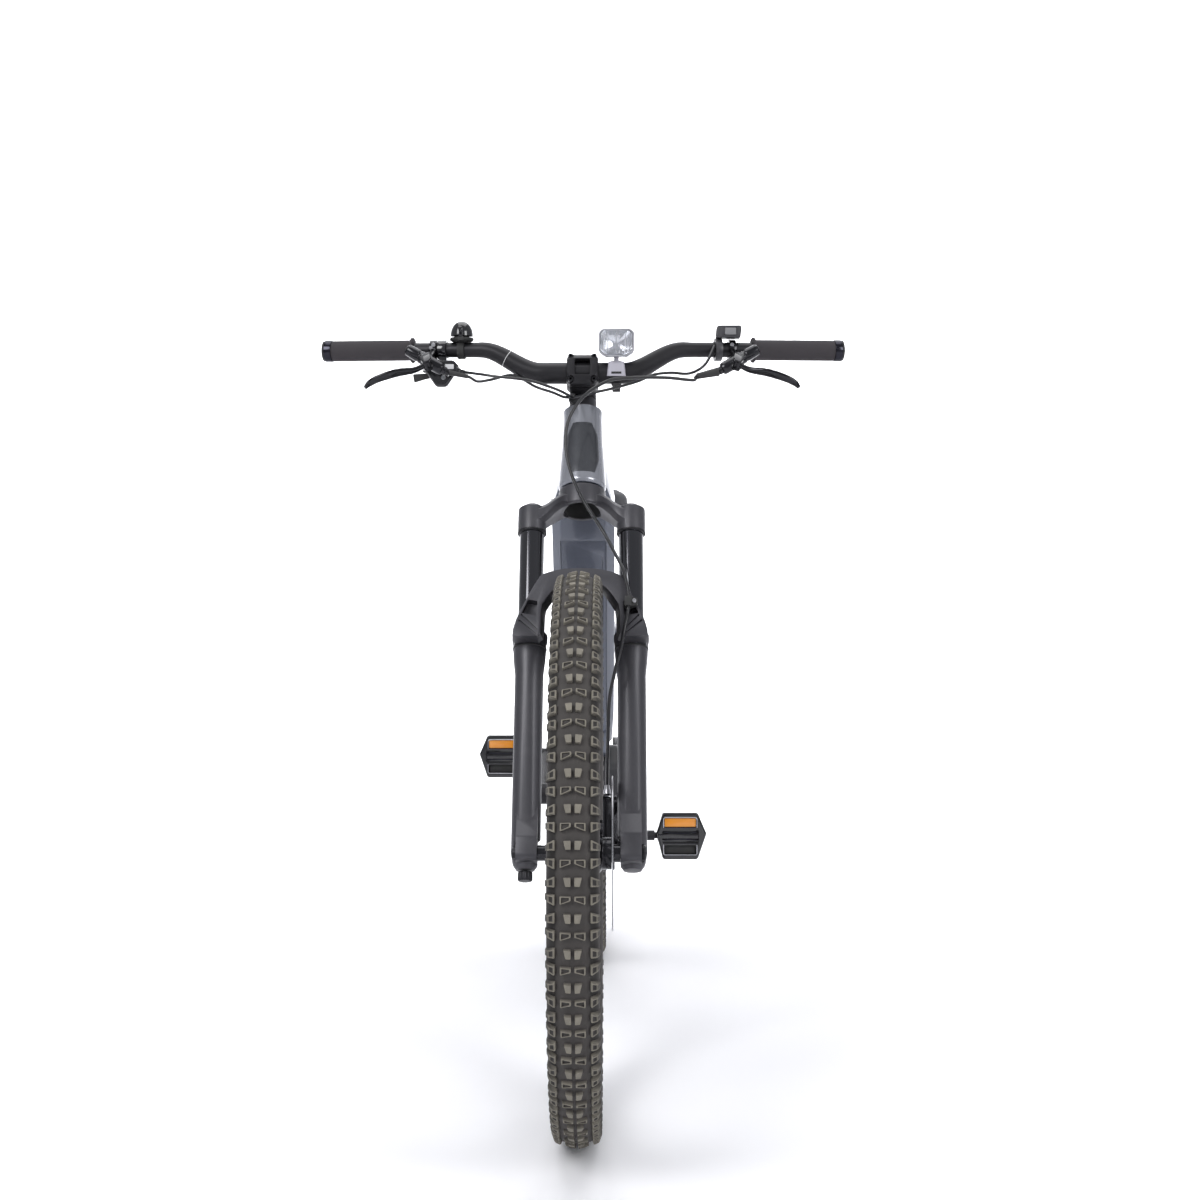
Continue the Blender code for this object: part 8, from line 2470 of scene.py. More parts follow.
@dataclass
class Handlebar:
    """Riser bar, grips and stem."""

    grip_length: float = 0.136
    # Where the slim ring sits on the bar
    ring_x: float = -0.1116

    def bar(self) -> bmesh.types.BMesh:
        """The bar on its swept and raised centre line."""
        count = 120
        rings = []
        for i in range(count + 1):
            x = -BAR_HALF_WIDTH + 2 * BAR_HALF_WIDTH * i / count
            direction = bar_tangent(x)
            across = (Vector((0, 1, 0)) - direction * direction.y).normalized()
            other = direction.cross(across)
            rings.append([bar_point(x) + across * a + other * b
                          for a, b in oval(bar_radius(x), bar_radius(x), 40)])
        return loft(rings)

    def grip(self, side: int) -> None:
        """A lock-on grip: smooth rubber, inner flange, outer ring and end plug."""
        name = "grip_left" if side > 0 else "grip_right"
        out = bar_tangent(side * BAR_HALF_WIDTH) * side
        start = bar_point(side * (BAR_HALF_WIDTH - self.grip_length))
        length = (bar_point(side * BAR_HALF_WIDTH) - start).length
        place = axis_frame(start, out)
        profile = [(0.0175, 0), (0.0188, 0.0010), (0.0188, 0.0032), (0.0168, 0.0046), (0.0152, 0.0062),
                   (0.0152, length - 0.0150), (0.0148, length - 0.0120)]
        rubber = turned([(0.0116, 0), *profile, (0.0116, length - 0.0120)], 64, place, ring=True)
        add_part(name, rubber, Finishes.grip, Body.STEERING, sharp=45)
        ring = turned(soft_profile([(0.0118, length - 0.0118), (0.0161, length - 0.0118),
                                    (0.0162, length - 0.0010), (0.0118, length - 0.0010)], 0.0007, 3), 64,
                      place, ring=True)
        add_piece(name + "_lock_ring", ring, Finishes.dark_chrome, Body.STEERING)
        plug = turned(soft_profile([(0.0155, length - 0.0010), (0.0150, length + 0.0020),
                                    (0.0120, length + 0.0030), (0, length + 0.0030)], 0.0008, 2), 48,
                      place)
        add_piece(name + "_plug", plug, Finishes.rubber, Body.STEERING)

    def stem(self, tools: Toolbox) -> None:
        """Stem, faceplate and bolts."""
        up, low, high = STEM_CENTRE, STEM_CENTRE - 0.020, STEM_CENTRE + 0.020
        clamp = turned(soft_profile([(0.0185, low), (0.0200, low + 0.002), (0.0200, high - 0.002),
                                     (0.0185, high)], 0.0008, 3), 64, FORK_FRAME)
        body = loft([[fork_point(a, back, up + b) for a, b in faceted(w, h, 0.005, 0.002)]
                     for back, w, h in ((0.0100, 0.0150, 0.0190), (-0.0150, 0.0160, 0.0180),
                                        (-0.0230, 0.0170, 0.0182), (-0.0285, 0.0200, 0.0205),
                                        (-0.0320, 0.0230, 0.0240), (-0.0345, 0.0234, 0.0245),
                                        (-STEM_REACH + 0.0010, 0.0234, 0.0245))])
        ears = box((-0.0110, 0.0150, low + 0.004), (0.0110, 0.0300, high - 0.004), FORK_FRAME)
        slit = box((-0.0010, 0.0100, low - 0.01), (0.0010, 0.0400, high + 0.01), FORK_FRAME)
        bore = turned([(0.0146, 0.1), (0.0146, 0.3)], 56, FORK_FRAME)
        bar_bore = rod(BAR_CENTRE - X * 0.05, BAR_CENTRE + X * 0.05, BAR_CLAMP_RADIUS + GAP, 64)
        slot = box((-0.0260, -STEM_REACH - 0.002, up + 0.010), (0.0260, -STEM_REACH + 0.0008, up + 0.030),
                   FORK_FRAME)
        stem = cut(fused(clamp, closed(body), ears), slit, bore, bar_bore, slot)
        add_part("stem", stem, Finishes.black_alloy, Body.STEERING, Bevel(0.0009, 3, 30))
        cap = turned(soft_profile([(0.0165, high + 0.0002), (0.0175, high + 0.0012),
                                   (0.0165, high + 0.0040), (0.0060, high + 0.0052),
                                   (0.0050, high + 0.0052), (0.0046, high + 0.0025), (0, high + 0.0025)],
                                  0.0006, 3), 64, FORK_FRAME)
        add_piece("stem_top_cap", cap, Finishes.polished_black, Body.STEERING)
        rings = [[fork_point(a, back, up + b) for a, b in faceted(w, h, 0.005, 0.002)] for back, w, h in (
            (-STEM_REACH - 0.0010, 0.0234, 0.0245), (-STEM_REACH - 0.0120, 0.0234, 0.0245),
            (-STEM_REACH - 0.0170, 0.0230, 0.0200), (-STEM_REACH - 0.0200, 0.0224, 0.0150))]
        window = prism(plate(0.0115, 0.0135, 0.003), -0.0900, -STEM_REACH,
                       FORK_FRAME @ Matrix.Translation((0, 0, up)) @ FRONT_FRAME)
        seats = [rod(fork_point(x, -STEM_REACH - 0.0115, up + h),
                     fork_point(x, -STEM_REACH - 0.0300, up + h), 0.0048, 32) for x in (-0.0172, 0.0172)
                 for h in (-0.0195, 0.0195)]
        second = rod(BAR_CENTRE - X * 0.05, BAR_CENTRE + X * 0.05, BAR_CLAMP_RADIUS + GAP, 64)
        face = cut(closed(loft(rings)), second, closed(window), *seats)
        add_part("stem_faceplate", face, Finishes.black_alloy, Body.STEERING, Bevel(0.0008, 3, 30))
        spots = [fork_point(x, -STEM_REACH - 0.0110, up + h) for x in (-0.0172, 0.0172)
                 for h in (-0.0195, 0.0195)]
        bolts = tools.spots.mesh(socket_bolt(0.0042, 0.0072, -BACK_STEER, 28), spots, Finishes.black_bolt)
        add_piece("stem_bolts", bolts, Finishes.black_bolt, Body.STEERING)

    def build(self, tools: Toolbox) -> None:
        """Bar, grips, stem."""
        add_part("handlebar", self.bar(), Finishes.black_alloy, Body.STEERING)
        place = axis_frame(bar_point(self.ring_x), bar_tangent(self.ring_x))
        radius = bar_radius(self.ring_x)
        line = turned(rectangle(radius - 0.0004, -0.0004, radius + 0.0003, 0.0004), 48, place, ring=True)
        add_piece("bar_line", line, Finishes.pale_strip, Body.STEERING)
        for side in (-1, 1):
            self.grip(side)
        self.stem(tools)


MASTER_CLAMP_X = 0.2215
MASTER_LOW = BAR_CENTRE + Vector((0.2050, -0.0270, 0.0020))
MASTER_HIGH = BAR_CENTRE + Vector((0.2580, -0.0220, 0.0330))
MASTER_AXIS = (MASTER_HIGH - MASTER_LOW).normalized()
HOSE_PORT = MASTER_LOW - MASTER_AXIS * 0.0120
BOOT_END = HOSE_PORT + Vector((-0.0270, -0.0035, -0.0045))
LEVER_PIVOT = BAR_CENTRE + Vector((0.2260, -0.0440, 0.0080))
LEVER_TIP = LEVER_PIVOT + Vector((0.0860, -0.0080, -0.0290))
LEVER_AXIS = (LEVER_TIP - LEVER_PIVOT).cross(Vector((0, 0.804, 0.595))).normalized()
LEVER_BACK = (Vector((0, 1, 0)) - LEVER_AXIS * LEVER_AXIS.y).normalized()
LEVER_HALF_HEIGHT = 0.0048


def lever_frame() -> Matrix:
    """A frame on the left lever's pivot: local Z along its pin, local X back towards the bar."""
    turn = Matrix((LEVER_BACK, LEVER_AXIS.cross(LEVER_BACK), LEVER_AXIS)).transposed().to_4x4()
    return Matrix.Translation(LEVER_PIVOT) @ turn


@dataclass
class Brakes:
    """Both master cylinders and levers, mirror images of each other."""

    def master(self) -> bmesh.types.BMesh:
        """The left master cylinder with its bar clamp and lever yoke."""
        length = (MASTER_HIGH - MASTER_LOW).length
        ring = bar_sleeve(MASTER_CLAMP_X - 0.0050, MASTER_CLAMP_X + 0.0050, ((0, 0.0150), (1, 0.0150)))
        barrel = turned(soft_profile([(0.0045, -0.012), (0.0050, -0.006), (0.0060, -0.0055),
                                      (0.0060, -0.0010), (0.0085, 0), (0.0095, 0.004),
                                      (0.0095, length * 0.6), (0.0086, length * 0.62),
                                      (0.0086, length * 0.66), (0.0092, length * 0.68),
                                      (0.0086, length - 0.003), (0.0060, length), (0.0030, length),
                                      (0.0028, length - 0.002), (0, length - 0.002)], 0.0006, 2), 48,
                        axis_frame(MASTER_LOW, MASTER_AXIS))
        neck = along([bar_point(MASTER_CLAMP_X) + Vector((0, -0.0125, -0.0040)),
                      MASTER_LOW + MASTER_AXIS * 0.0240], [faceted(0.0045, 0.0050, 0.0015, 0.0008)] * 2,
                     X)
        yoke = prism([(-0.0060, -0.0045), (0, -0.0070), (0.0200, -0.0070), (0.0200, 0.0070), (0, 0.0070),
                      (-0.0060, 0.0045)], -0.0085, 0.0085, lever_frame())
        slot = box((-0.0200, -0.0200, -LEVER_HALF_HEIGHT - 0.0004),
                   (0.0085, 0.0200, LEVER_HALF_HEIGHT + 0.0004), lever_frame())
        pin = turned([(0.0024, -0.0080), (0.0024, 0.0080)], 24, lever_frame())
        space = rod(bar_point(MASTER_CLAMP_X - 0.02), bar_point(MASTER_CLAMP_X + 0.02),
                    BAR_GRIP_RADIUS + 0.0007, 48)
        return cut(fused(cut(yoke, slot), pin, closed(neck), ring, barrel), space)

    def lever(self) -> bmesh.types.BMesh:
        """The left lever blade with its pivot eye and hooked tip."""
        eye = turned([(0.0062, -LEVER_HALF_HEIGHT), (0.0062, LEVER_HALF_HEIGHT)], 36, lever_frame())
        bore = turned([(0.0027, -0.0100), (0.0027, 0.0100)], 24, lever_frame())
        run = LEVER_TIP - LEVER_PIVOT
        path = [LEVER_PIVOT + run * share - LEVER_BACK * bow for share, bow in (
            (0, 0), (0.22, 0.0030), (0.50, 0.0050), (0.80, 0.0030), (0.97, 0.0010), (1.05, 0.0050))]
        lifts = (0, -0.0015, 0.0040, 0.0032, -0.0008, -0.0035)
        path = [point + LEVER_AXIS * lift for point, lift in zip(path, lifts)]
        sizes = [(0.0036, 0.0038), (0.0048, 0.0040), (0.0065, 0.0036), (0.0060, 0.0034), (0.0050, 0.0034),
                 (0.0030, 0.0025)]
        blade = swept(path, [oval(a, b, 24) for a, b in sizes], LEVER_AXIS, 6)
        holes = [rod(LEVER_PIVOT + run * s - LEVER_AXIS * 0.02 - LEVER_BACK * 0.0046,
                     LEVER_PIVOT + run * s + LEVER_AXIS * 0.02 - LEVER_BACK * 0.0046, 0.0020, 20)
                 for s in (0.34, 0.46, 0.58)]
        return cut(fused(eye, closed(blade)), bore, *holes)

    def build(self, tools: Toolbox) -> None:
        """Both sides."""
        for side, hand, body in ((1, "left", Body.LEFT_LEVER), (-1, "right", Body.RIGHT_LEVER)):
            master, lever = self.master(), self.lever()
            screw = socket_bolt(0.0030, 0.0022, Vector((0, -1, 0)))
            spot = bar_point(MASTER_CLAMP_X) + Vector((0.0, -0.0140, 0.0060))
            screws = tools.spots.mesh(screw, [spot], Finishes.bolt_steel)
            boot = rod(HOSE_PORT + MASTER_AXIS * 0.0055, BOOT_END, 0.0066, 28, 0.0044)
            if side < 0:
                slim = rod(HOSE_PORT + MASTER_AXIS * 0.0055, BOOT_END, 0.0040, 28, 0.0032)
                master, lever, screws, boot = (mirrored(mesh) for mesh in (master, lever, screws, slim))
            add_part(f"brake_master_{hand}", master, Finishes.polished_black, Body.STEERING,
                     Bevel(0.0005, 2, 32))
            add_part(f"brake_lever_{hand}", lever, Finishes.polished_black, body, Bevel(0.0004, 2, 36))
            add_piece(f"brake_clamp_screw_{hand}", screws, Finishes.bolt_steel, Body.STEERING)
            add_piece(f"brake_hose_boot_{hand}", boot, Finishes.rubber, Body.STEERING)


@dataclass
class Controls:
    """Shifter, remote, bell and headlight."""

    shifter_x: float = -0.2080
    remote_x: float = 0.2010
    bell_x: float = -0.1800
    light_x: float = 0.0500

    def shifter(self, tools: Toolbox) -> None:
        """Pod under the bar with its thumb lever and release lever."""
        x = self.shifter_x
        pivot = bar_point(x) + Vector((-0.006, 0.0060, -0.0340))
        place = Matrix.Translation(bar_point(x) + Vector((0, 0.0, -0.0350))) @ FRONT_FRAME
        outline = rounded([(-0.0300, 0.0090), (-0.0220, 0.0175), (0.0170, 0.0180), (0.0270, 0.0070),
                           (0.0060, -0.0220), (-0.0090, -0.0220)], 0.008, 6)
        pod = closed(pillow(outline, -0.0200, 0.0030, place, 0.0035, 4))
        ring = bar_sleeve(x - 0.0060, x + 0.0060, ((0, 0.0150), (1, 0.0150)))
        neck = box((-0.0060, 0.0100, -0.0100), (0.0060, 0.0260, 0.0030), place)
        space = rod(bar_point(x - 0.02), bar_point(x + 0.02), bar_radius(x) + 0.0006, 48)
        post = rod(pivot + Vector((0, -0.0050, 0)), pivot + Vector((0, 0.0135, 0)), 0.0035, 32)
        add_part("shifter_body", cut(fused(pod, neck, ring, post), space), Finishes.gloss_black,
                 Body.STEERING, Bevel(0.0006, 2, 32))
        strip = prism(plate(0.0155, 0.0035, 0.0012), -0.0206, -0.0196,
                      place @ Matrix.Translation((0.002, 0.0080, 0)))
        add_piece("shifter_strip", closed(strip), Finishes.pale_strip, Body.STEERING,
                  bevel=Bevel(0.0002, 2))
        screw = socket_bolt(0.0034, 0.0016, Vector((0, -1, 0)))
        spot = bar_point(x) + Vector((0.0020, -0.0196, -0.0430))
        add_piece("shifter_screw", tools.spots.mesh(screw, [spot], Finishes.bolt_steel),
                  Finishes.bolt_steel, Body.STEERING)
        spout = rod(pivot + Vector((0.0150, -0.0150, 0.0040)), pivot + Vector((0.0325, -0.0155, 0.0000)),
                    0.0078, 32, 0.0055)
        add_piece("shifter_cable_spout", spout, Finishes.gloss_black, Body.STEERING,
                  bevel=Bevel(0.0008, 2, 32))
        adjuster = turned(soft_profile([(0.0040, 0), (0.0042, 0.0030), (0.0034, 0.0040), (0.0032, 0.0060),
                                        (0.0026, 0.0070)], 0.0004, 2), 32,
                          axis_frame(pivot + Vector((0.0326, -0.0155, 0.0000)), X))
        add_piece("shifter_adjuster", adjuster, Finishes.black_bolt, Body.STEERING)
        for name, body, y, reach, turn in (("shift_lever", Body.SHIFT_LEVER, 0.0045, 0.040,
                                            math.radians(190)),
                                           ("release_lever", Body.RELEASE_LEVER, 0.0092, 0.026,
                                            math.radians(160))):
            frame = Matrix.Translation(pivot + Vector((0, y - 0.0010, 0))) @ FRONT_FRAME
            hub = turned(rectangle(0.0038, -0.0016, 0.0075, 0.0016), 40, frame, ring=True)
            direction = Vector((math.cos(turn), math.sin(turn)))
            normal = Vector((-direction.y, direction.x))
            ahead = [(0.006, 0.0040), (reach * 0.6, 0.0045), (reach, 0.0065)]
            sides = [tuple(direction * s + normal * w) for s, w in ahead]
            sides += [tuple(direction * s - normal * w) for s, w in reversed(ahead)]
            blade = prism(rounded(sides, 0.0022, 5), -0.0014, 0.0014, frame)
            add_part(name, fused(hub, closed(blade)), Finishes.black_plastic, body, Bevel(0.0005, 2, 32))

    def remote(self) -> None:
        """Assist remote with one push button."""
        x = self.remote_x
        centre = bar_point(x) + Vector((0.0180, -0.0050, 0.0255))
        ring = bar_sleeve(x - 0.0050, x + 0.0050, ((0, 0.0168), (1, 0.0168)))
        place = Matrix.Translation(centre) @ FRONT_FRAME
        outline = rounded([(-0.0220, -0.0095), (0.0150, -0.0095), (0.0170, 0.0090), (-0.0200, 0.0090)],
                          0.004, 6)
        case = closed(pillow(outline, -0.0110, 0.0110, place, 0.0018, 3))
        space = rod(bar_point(x - 0.02), bar_point(x + 0.03), BAR_GRIP_RADIUS + 0.0007, 48)
        pocket = prism(plate(0.0085, 0.0055, 0.0015), -0.0200, -0.0070, place)
        groove = prism(plate(0.0140, 0.0078, 0.0025), -0.0120, -0.0106, place)
        island = prism(plate(0.0134, 0.0072, 0.0022), -0.0130, -0.0100, place)
        add_part("remote_housing", cut(fused(case, ring), closed(pocket),
                                       cut(closed(groove), closed(island)), space), Finishes.remote_shell,
                 Body.STEERING, Bevel(0.0003, 2, 36))
        key = closed(pillow(plate(0.0082, 0.0052, 0.0014), -0.0125, -0.0090, place, 0.0008, 3))
        add_part("remote_button", key, Finishes.grey_plastic, Body.BUTTON)

    def bell(self) -> None:
        """Dome bell and its striker."""
        x = self.bell_x
        base = bar_point(x) + Vector((0, 0.0, 0.0128))
        striker = base + Vector((0.0, -0.0200, 0.0060))
        place = Matrix.Translation(base)
        ring = bar_sleeve(x - 0.0050, x + 0.0050, ((0, 0.0135), (1, 0.0135)))
        foot = turned(soft_profile([(0, -0.0020), (0.0120, -0.0020), (0.0175, 0.0010), (0.0180, 0.0045),
                                    (0.0130, 0.0055), (0.0100, 0.0075), (0, 0.0075)], 0.0006, 2), 56,
                      place)
        ears = box((-0.0045, -0.0230, -0.0010), (0.0045, -0.0100, 0.0040), place)
        space = rod(bar_point(x - 0.02), bar_point(x + 0.02), bar_radius(x) + 0.0008, 48)
        add_part("bell", cut(fused(foot, ring, ears), space), Finishes.black_plastic, Body.STEERING,
                 Bevel(0.0005, 2, 32))
        profile = [(0.0164, 0.0068), (0.0170, 0.0072)]
        for i in range(15):
            angle = math.pi / 2 * i / 14
            profile.append((0.0170 * math.cos(angle) ** 0.86 if i < 14 else 0.0,
                            0.0085 + 0.0213 * math.sin(angle)))
        dome = turned([(0, 0.0074), *profile], 72, place)
        add_piece("bell_dome", dome, Finishes.gloss_black, Body.STEERING, sharp=50)
        block = prism(plate(0.0030, 0.0010, 0.0004, 2), -0.0017, 0.0060, Matrix.Translation(striker))
        arm = rod(striker + Vector((0, 0, 0.0040)), striker + Vector((0, -0.0120, 0.0100)), 0.0022, 24,
                  0.0032)
        add_part("bell_striker", fused(closed(block), arm), Finishes.gloss_black, Body.STRIKER,
                 Bevel(0.0003, 2, 36))

    def headlight(self) -> None:
        """Clip-on lamp: strap bracket, tilting head, mirror and clear lens."""
        x = self.light_x
        pivot = BAR_CENTRE + Vector((x, -0.0120, 0.0290))
        centre = BAR_CENTRE + Vector((x, 0, 0.0410))
        strap = bar_sleeve(x - 0.0075, x + 0.0075, ((0, 0.0185), (1, 0.0185)))
        foot = loft([[BAR_CENTRE + Vector((x + a, b - 0.0080, z)) for a, b in faceted(w, d, 0.002, 0.001)]
                     for w, d, z in ((0.0140, 0.0100, -0.0060), (0.0132, 0.0106, 0.0020),
                                     (0.0122, 0.0110, 0.0100), (0.0115, 0.0100, 0.0155))])
        post = box((-0.0035, -0.0045, -0.0160), (0.0035, 0.0045, 0.0045), Matrix.Translation(pivot))
        peg = rod(pivot - X * 0.0080, pivot + X * 0.0080, 0.0028, 24)
        space = rod(BAR_CENTRE + X * (x - 0.03), BAR_CENTRE + X * (x + 0.03), BAR_CLAMP_RADIUS + 0.0007, 56)
        add_part("headlight_bracket", cut(fused(closed(foot), post, peg), space), Finishes.lamp_bracket,
                 Body.STEERING, Bevel(0.0006, 2, 32))
        tail = prism(rounded(rectangle(x - 0.0060, -0.0130, x + 0.0060, 0.0010), 0.003, 4), -0.0280,
                     -0.0160, Matrix.Translation(BAR_CENTRE))
        clear = rod(BAR_CENTRE + X * (x - 0.03), BAR_CENTRE + X * (x + 0.03), BAR_CLAMP_RADIUS + 0.0007, 56)
        add_piece("headlight_strap", cut(fused(strap, closed(tail)), clear), Finishes.rubber, Body.STEERING,
                  bevel=Bevel(0.0006, 2, 32))
        place = Matrix.Translation(centre) @ FRONT_FRAME
        corners = [(-0.0265, -0.0130), (-0.0160, -0.0200), (0.0160, -0.0200), (0.0265, -0.0130),
                   (0.0265, 0.0160), (0.0200, 0.0210), (-0.0200, 0.0210), (-0.0265, 0.0160)]
        shape = rounded(corners, 0.0070, 6)
        case = loft([[place @ Vector((a * scale, b * scale, y)) for a, b in shape] for y, scale in (
            (0.0220, 0.50), (0.0200, 0.58), (0.0100, 0.85), (-0.0050, 0.94), (-0.0290, 1.0),
            (-0.0300, 0.985))])
        hollow = prism([(a * 0.90, b * 0.90) for a, b in shape], -0.0400, -0.0150, place)
        slot = box((-0.0040, -0.0300, -0.0200), (0.0040, -0.0060, -0.0040), place)
        hole = rod(pivot - X * 0.0084, pivot + X * 0.0084, 0.0031, 24)
        add_part("headlight_head", cut(closed(case), closed(hollow), slot, hole), Finishes.silver,
                 Body.LAMP, Bevel(0.0004, 2, 40))
        bowl = []
        for k in range(13):
            depth = -0.0290 + 0.0125 * k / 12
            scale = 0.885 * math.sqrt(max(1 - k / 12.0, 0.0)) if k < 12 else 0.02
            bowl.append([place @ Vector((a * scale, b * scale, depth)) for a, b in shape])
        back = [[place @ Vector((a * 0.89, b * 0.89, d)) for a, b in shape] for d in (-0.0158, -0.0290)]
        mirror = loft([*bowl, *back], ring=True)
        add_piece("headlight_mirror", mirror, Finishes.mirror, Body.LAMP, sharp=60)
        lens = closed(pillow([(a * 0.865, b * 0.865) for a, b in shape], -0.0320, -0.0292, place, 0.0012,
                             3))
        add_part("headlight_lens", lens, Finishes.lens, Body.LAMP)
        ribs = [rod(centre + Vector((a, -0.0290, -0.0150)), centre + Vector((a, -0.0290, 0.0160)), 0.0004,
                    8) for a in (-0.0130, 0.0, 0.0130)]
        add_piece("headlight_ribs", joined(*ribs), Finishes.silver, Body.LAMP)

    def build(self, tools: Toolbox) -> None:
        """All four."""
        self.shifter(tools)
        self.remote()
        self.bell()
        self.headlight()


@dataclass
class Cords:
    """Hose, cable and lead."""

    def tube(self, route: Sequence[Vector], radius: float, steps: int = 8) -> bmesh.types.BMesh:
        """A round cord through its route."""
        path = smooth_route(route, steps)
        return along(path, [oval(radius, radius, 16)] * len(path), Z)

    def front_hose(self) -> None:
        """The front brake hose as one piece in place of the CAD hose; it is given to no body."""
        front = [HOSE_PORT - MASTER_AXIS * GAP * 2, BOOT_END,
                 *(Vector(p) for p in ((0.1625, -0.3600, 1.0276), (0.1280, -0.3670, 1.0300),
                                       (0.0940, -0.3730, 1.0300), (0.0600, -0.3800, 1.0280),
                                       (0.0368, -0.3860, 1.0229), (0.0072, -0.3930, 1.0042),
                                       (-0.0127, -0.3990, 0.9789), (-0.0220, -0.4060, 0.9512),
                                       (-0.0216, -0.4140, 0.9170), (-0.0134, -0.4220, 0.8835),
                                       (0.0020, -0.4300, 0.8496), (0.0153, -0.4370, 0.8281),
                                       (0.0335, -0.4470, 0.7992), (0.0480, -0.4660, 0.7716),
                                       (0.0588, -0.4870, 0.7498))),
                 *(fork_point(*p) for p in ((0.0640, -0.0845, -0.1850), HOSE_STOPS[0], HOSE_STOPS[1],
                                            (0.0600, -0.0850, -0.2560), (0.0549, -0.0770, -0.2810),
                                            (0.0480, -0.0700, -0.3080), (0.0400, -0.0520, -0.3450),
                                            (0.0380, -0.0250, -0.4000), (0.0370, 0.0150, -0.4440)))]
        hose = make_piece("front_brake_hose", self.tube(front, 0.0025), Finishes.hose, sharp=60)
        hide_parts("front_brake_hose")
        tuple(fork_point(0, 0, 0.135))
        tuple(fork_point(0, 0, -0.150))
        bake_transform(hose)

    def build(self) -> None:
        """The front brake hose, and the bundle that enters the headset cover."""
        self.front_hose()
        entry = fork_point(-0.0130, -0.0260, HEAD_TUBE_LENGTH + 0.0100)
        outward = Vector((-0.25, -0.95, 0.20)).normalized()
        pivot = bar_point(-0.2080) + Vector((-0.006, 0.0060, -0.0340))
        port = [Vector((-p.x, p.y, p.z)) for p in (HOSE_PORT - MASTER_AXIS * GAP * 2, BOOT_END)]
        rear = [*port, *(Vector(p) for p in ((-0.1535, -0.3500, 1.0273), (-0.1329, -0.3400, 1.0314),
                                             (-0.1018, -0.3300, 1.0387), (-0.0700, -0.3260, 1.0225),
                                             (-0.0450, -0.3360, 1.0130), (-0.0280, -0.3460, 1.0050)))]
        shift = [pivot + Vector((0.0390, -0.0155, 0.0000)),
                 *(Vector(p) for p in ((-0.1480, -0.3420, 1.0385), (-0.1265, -0.3500, 1.0345),
                                       (-0.0810, -0.3560, 1.0285), (-0.0497, -0.3590, 1.0190),
                                       (-0.0280, -0.3560, 1.0105)))]
        remote = [bar_point(0.2010) + Vector((-0.0056, -0.0142, 0.0040)),
                  *(Vector(p) for p in ((0.1800, -0.3470, 1.0520), (0.1570, -0.3520, 1.0385),
                                        (0.1300, -0.3520, 1.0395), (0.1050, -0.3490, 1.0370),
                                        (0.0800, -0.3470, 1.0270), (0.0450, -0.3530, 1.0165),
                                        (0.0180, -0.3580, 1.0100)))]
        tubes = []
        for route, aside in ((rear, -0.0040), (shift, 0), (remote, 0.0040)):
            tubes.append(self.tube([*route, entry + outward * 0.0120 + X * aside,
                                    entry + X * aside * 0.5 + outward * 0.0020], 0.0022))
        add_part("control_cables", joined(*tubes), Finishes.hose, Body.STEERING, sharp=60)
        grommet = turned(soft_profile([(0.0075, -0.0010), (0.0075, 0.0030), (0.0062, 0.0040),
                                       (0.0060, 0.0080), (0, 0.0080)], 0.0006, 2), 40,
                         axis_frame(entry, outward))
        add_piece("cable_grommet", grommet, Finishes.rubber, Body.STEERING)


# Studio


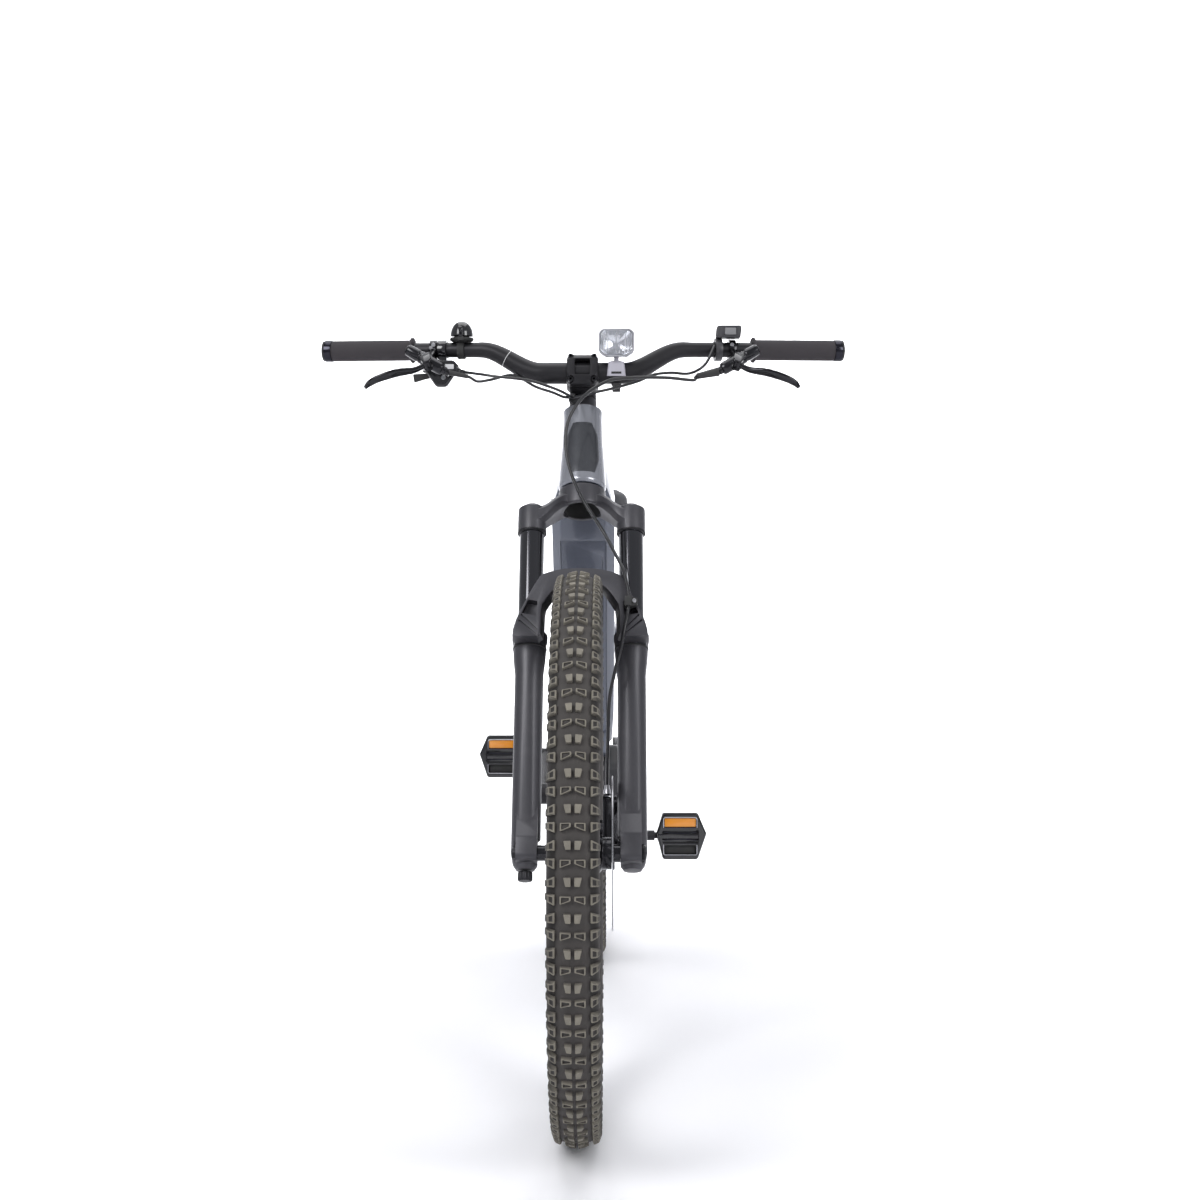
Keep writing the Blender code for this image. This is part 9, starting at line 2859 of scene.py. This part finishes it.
@dataclass
class Studio:
    """Pale floor and wall, soft lamps and the photo's camera."""

    floor: Colour = (0.90, 0.90, 0.92)
    sky: tuple[float, float, float, float] = (0.93, 0.95, 1.0, 1)
    eye: tuple[float, float, float] = (0.045, -2.94, 0.7065)
    pan: float = math.radians(0.42)
    focal_length: float = 52.98
    # Where the floor bends up, the radius of that bend and the width of the backdrop to each side
    bend_start: float = 3.4
    bend_radius: float = 1.6
    half_width: float = 25.0

    def backdrop(self) -> None:
        """A floor that runs up into a wall behind the bike."""
        mesh = bpy.data.meshes.new("studio_floor")
        rows = []
        for i in range(41):
            if i < 12:
                rows.append((self.bend_start - (12 - i) ** 2 * 0.17, 0.0))
            elif i < 32:
                angle = math.pi / 2 * (i - 12) / 20
                rows.append((self.bend_start + self.bend_radius * math.sin(angle),
                             self.bend_radius - self.bend_radius * math.cos(angle)))
            else:
                rows.append((self.bend_start + self.bend_radius, self.bend_radius + (i - 32) * 0.6))
        verts = [(x, y, z) for y, z in rows for x in (-self.half_width, self.half_width)]
        faces = [(2 * i, 2 * i + 1, 2 * i + 3, 2 * i + 2) for i in range(len(rows) - 1)]
        mesh.from_pydata(verts, [], faces)
        mesh.shade_smooth()
        material = bpy.data.materials.new("studio_paper")
        material.use_nodes = True
        shader = material.node_tree.nodes["Principled BSDF"]
        shader.inputs["Base Color"].default_value = (*self.floor, 1)
        shader.inputs["Roughness"].default_value = 0.85
        mesh.materials.append(material)
        floor = bpy.data.objects.new("studio_floor", mesh)
        bpy.context.scene.collection.objects.link(floor)

    @staticmethod
    def lamp(name: str, place: Sequence[float], aim: Sequence[float], size: tuple[float, float],
             power: float) -> None:
        """One soft rectangular lamp."""
        light = bpy.data.lights.new(name, "AREA")
        light.shape = "RECTANGLE"
        light.size, light.size_y = size
        light.energy = power
        lamp = bpy.data.objects.new(name, light)
        lamp.location = place
        lamp.rotation_euler = (Vector(aim) - Vector(place)).to_track_quat("-Z", "Y").to_euler()
        bpy.context.scene.collection.objects.link(lamp)

    def camera(self) -> None:
        """The photo's view: level, from in front, a little to the bike's left."""
        data = bpy.data.cameras.new("photo_camera")
        data.sensor_width = 36.0
        data.lens = self.focal_length
        camera = bpy.data.objects.new("photo_camera", data)
        camera.location = self.eye
        camera.rotation_euler = (math.radians(90), 0.0, self.pan)
        bpy.context.scene.collection.objects.link(camera)
        bpy.context.scene.camera = camera

    def build(self) -> None:
        """Everything around the bike."""
        self.backdrop()
        world = bpy.data.worlds.new("studio_world")
        world.use_nodes = True
        sky = world.node_tree.nodes["Background"]
        sky.inputs["Color"].default_value = self.sky
        sky.inputs["Strength"].default_value = 0.50
        bpy.context.scene.world = world
        bpy.context.scene.view_settings.view_transform = "Standard"
        self.lamp("key", (-1.9, -3.1, 2.7), (0, -0.3, 0.8), (1.6, 1.8), 74)
        self.lamp("fill", (2.4, -2.8, 2.0), (0, -0.3, 0.7), (1.4, 1.6), 44)
        self.lamp("top", (0, 0.2, 3.4), (0, 0.2, 0), (2.6, 2.6), 50)
        self.lamp("wall", (0, 2.2, 3.0), (0, 5.0, 1.4), (4.0, 1.5), 260)
        self.camera()


def main() -> None:
    """Builds every sub-assembly in order, then the studio."""
    logging.basicConfig(level=logging.INFO, format="%(message)s")
    tools = Toolbox()
    chain = Chain()
    Wheels().build(tools)
    ForkTop().build()
    ForkLowers().build(tools)
    MainFrame().build(tools)
    DriveUnit().build(tools)
    Gears().build(tools, chain)
    chain.build(tools)
    Cranks().build(tools)
    Seat().build(tools)
    Handlebar().build(tools)
    Brakes().build(tools)
    Controls().build(tools)
    Cords().build()
    Studio().build()


if __name__ == "__main__":
    main()
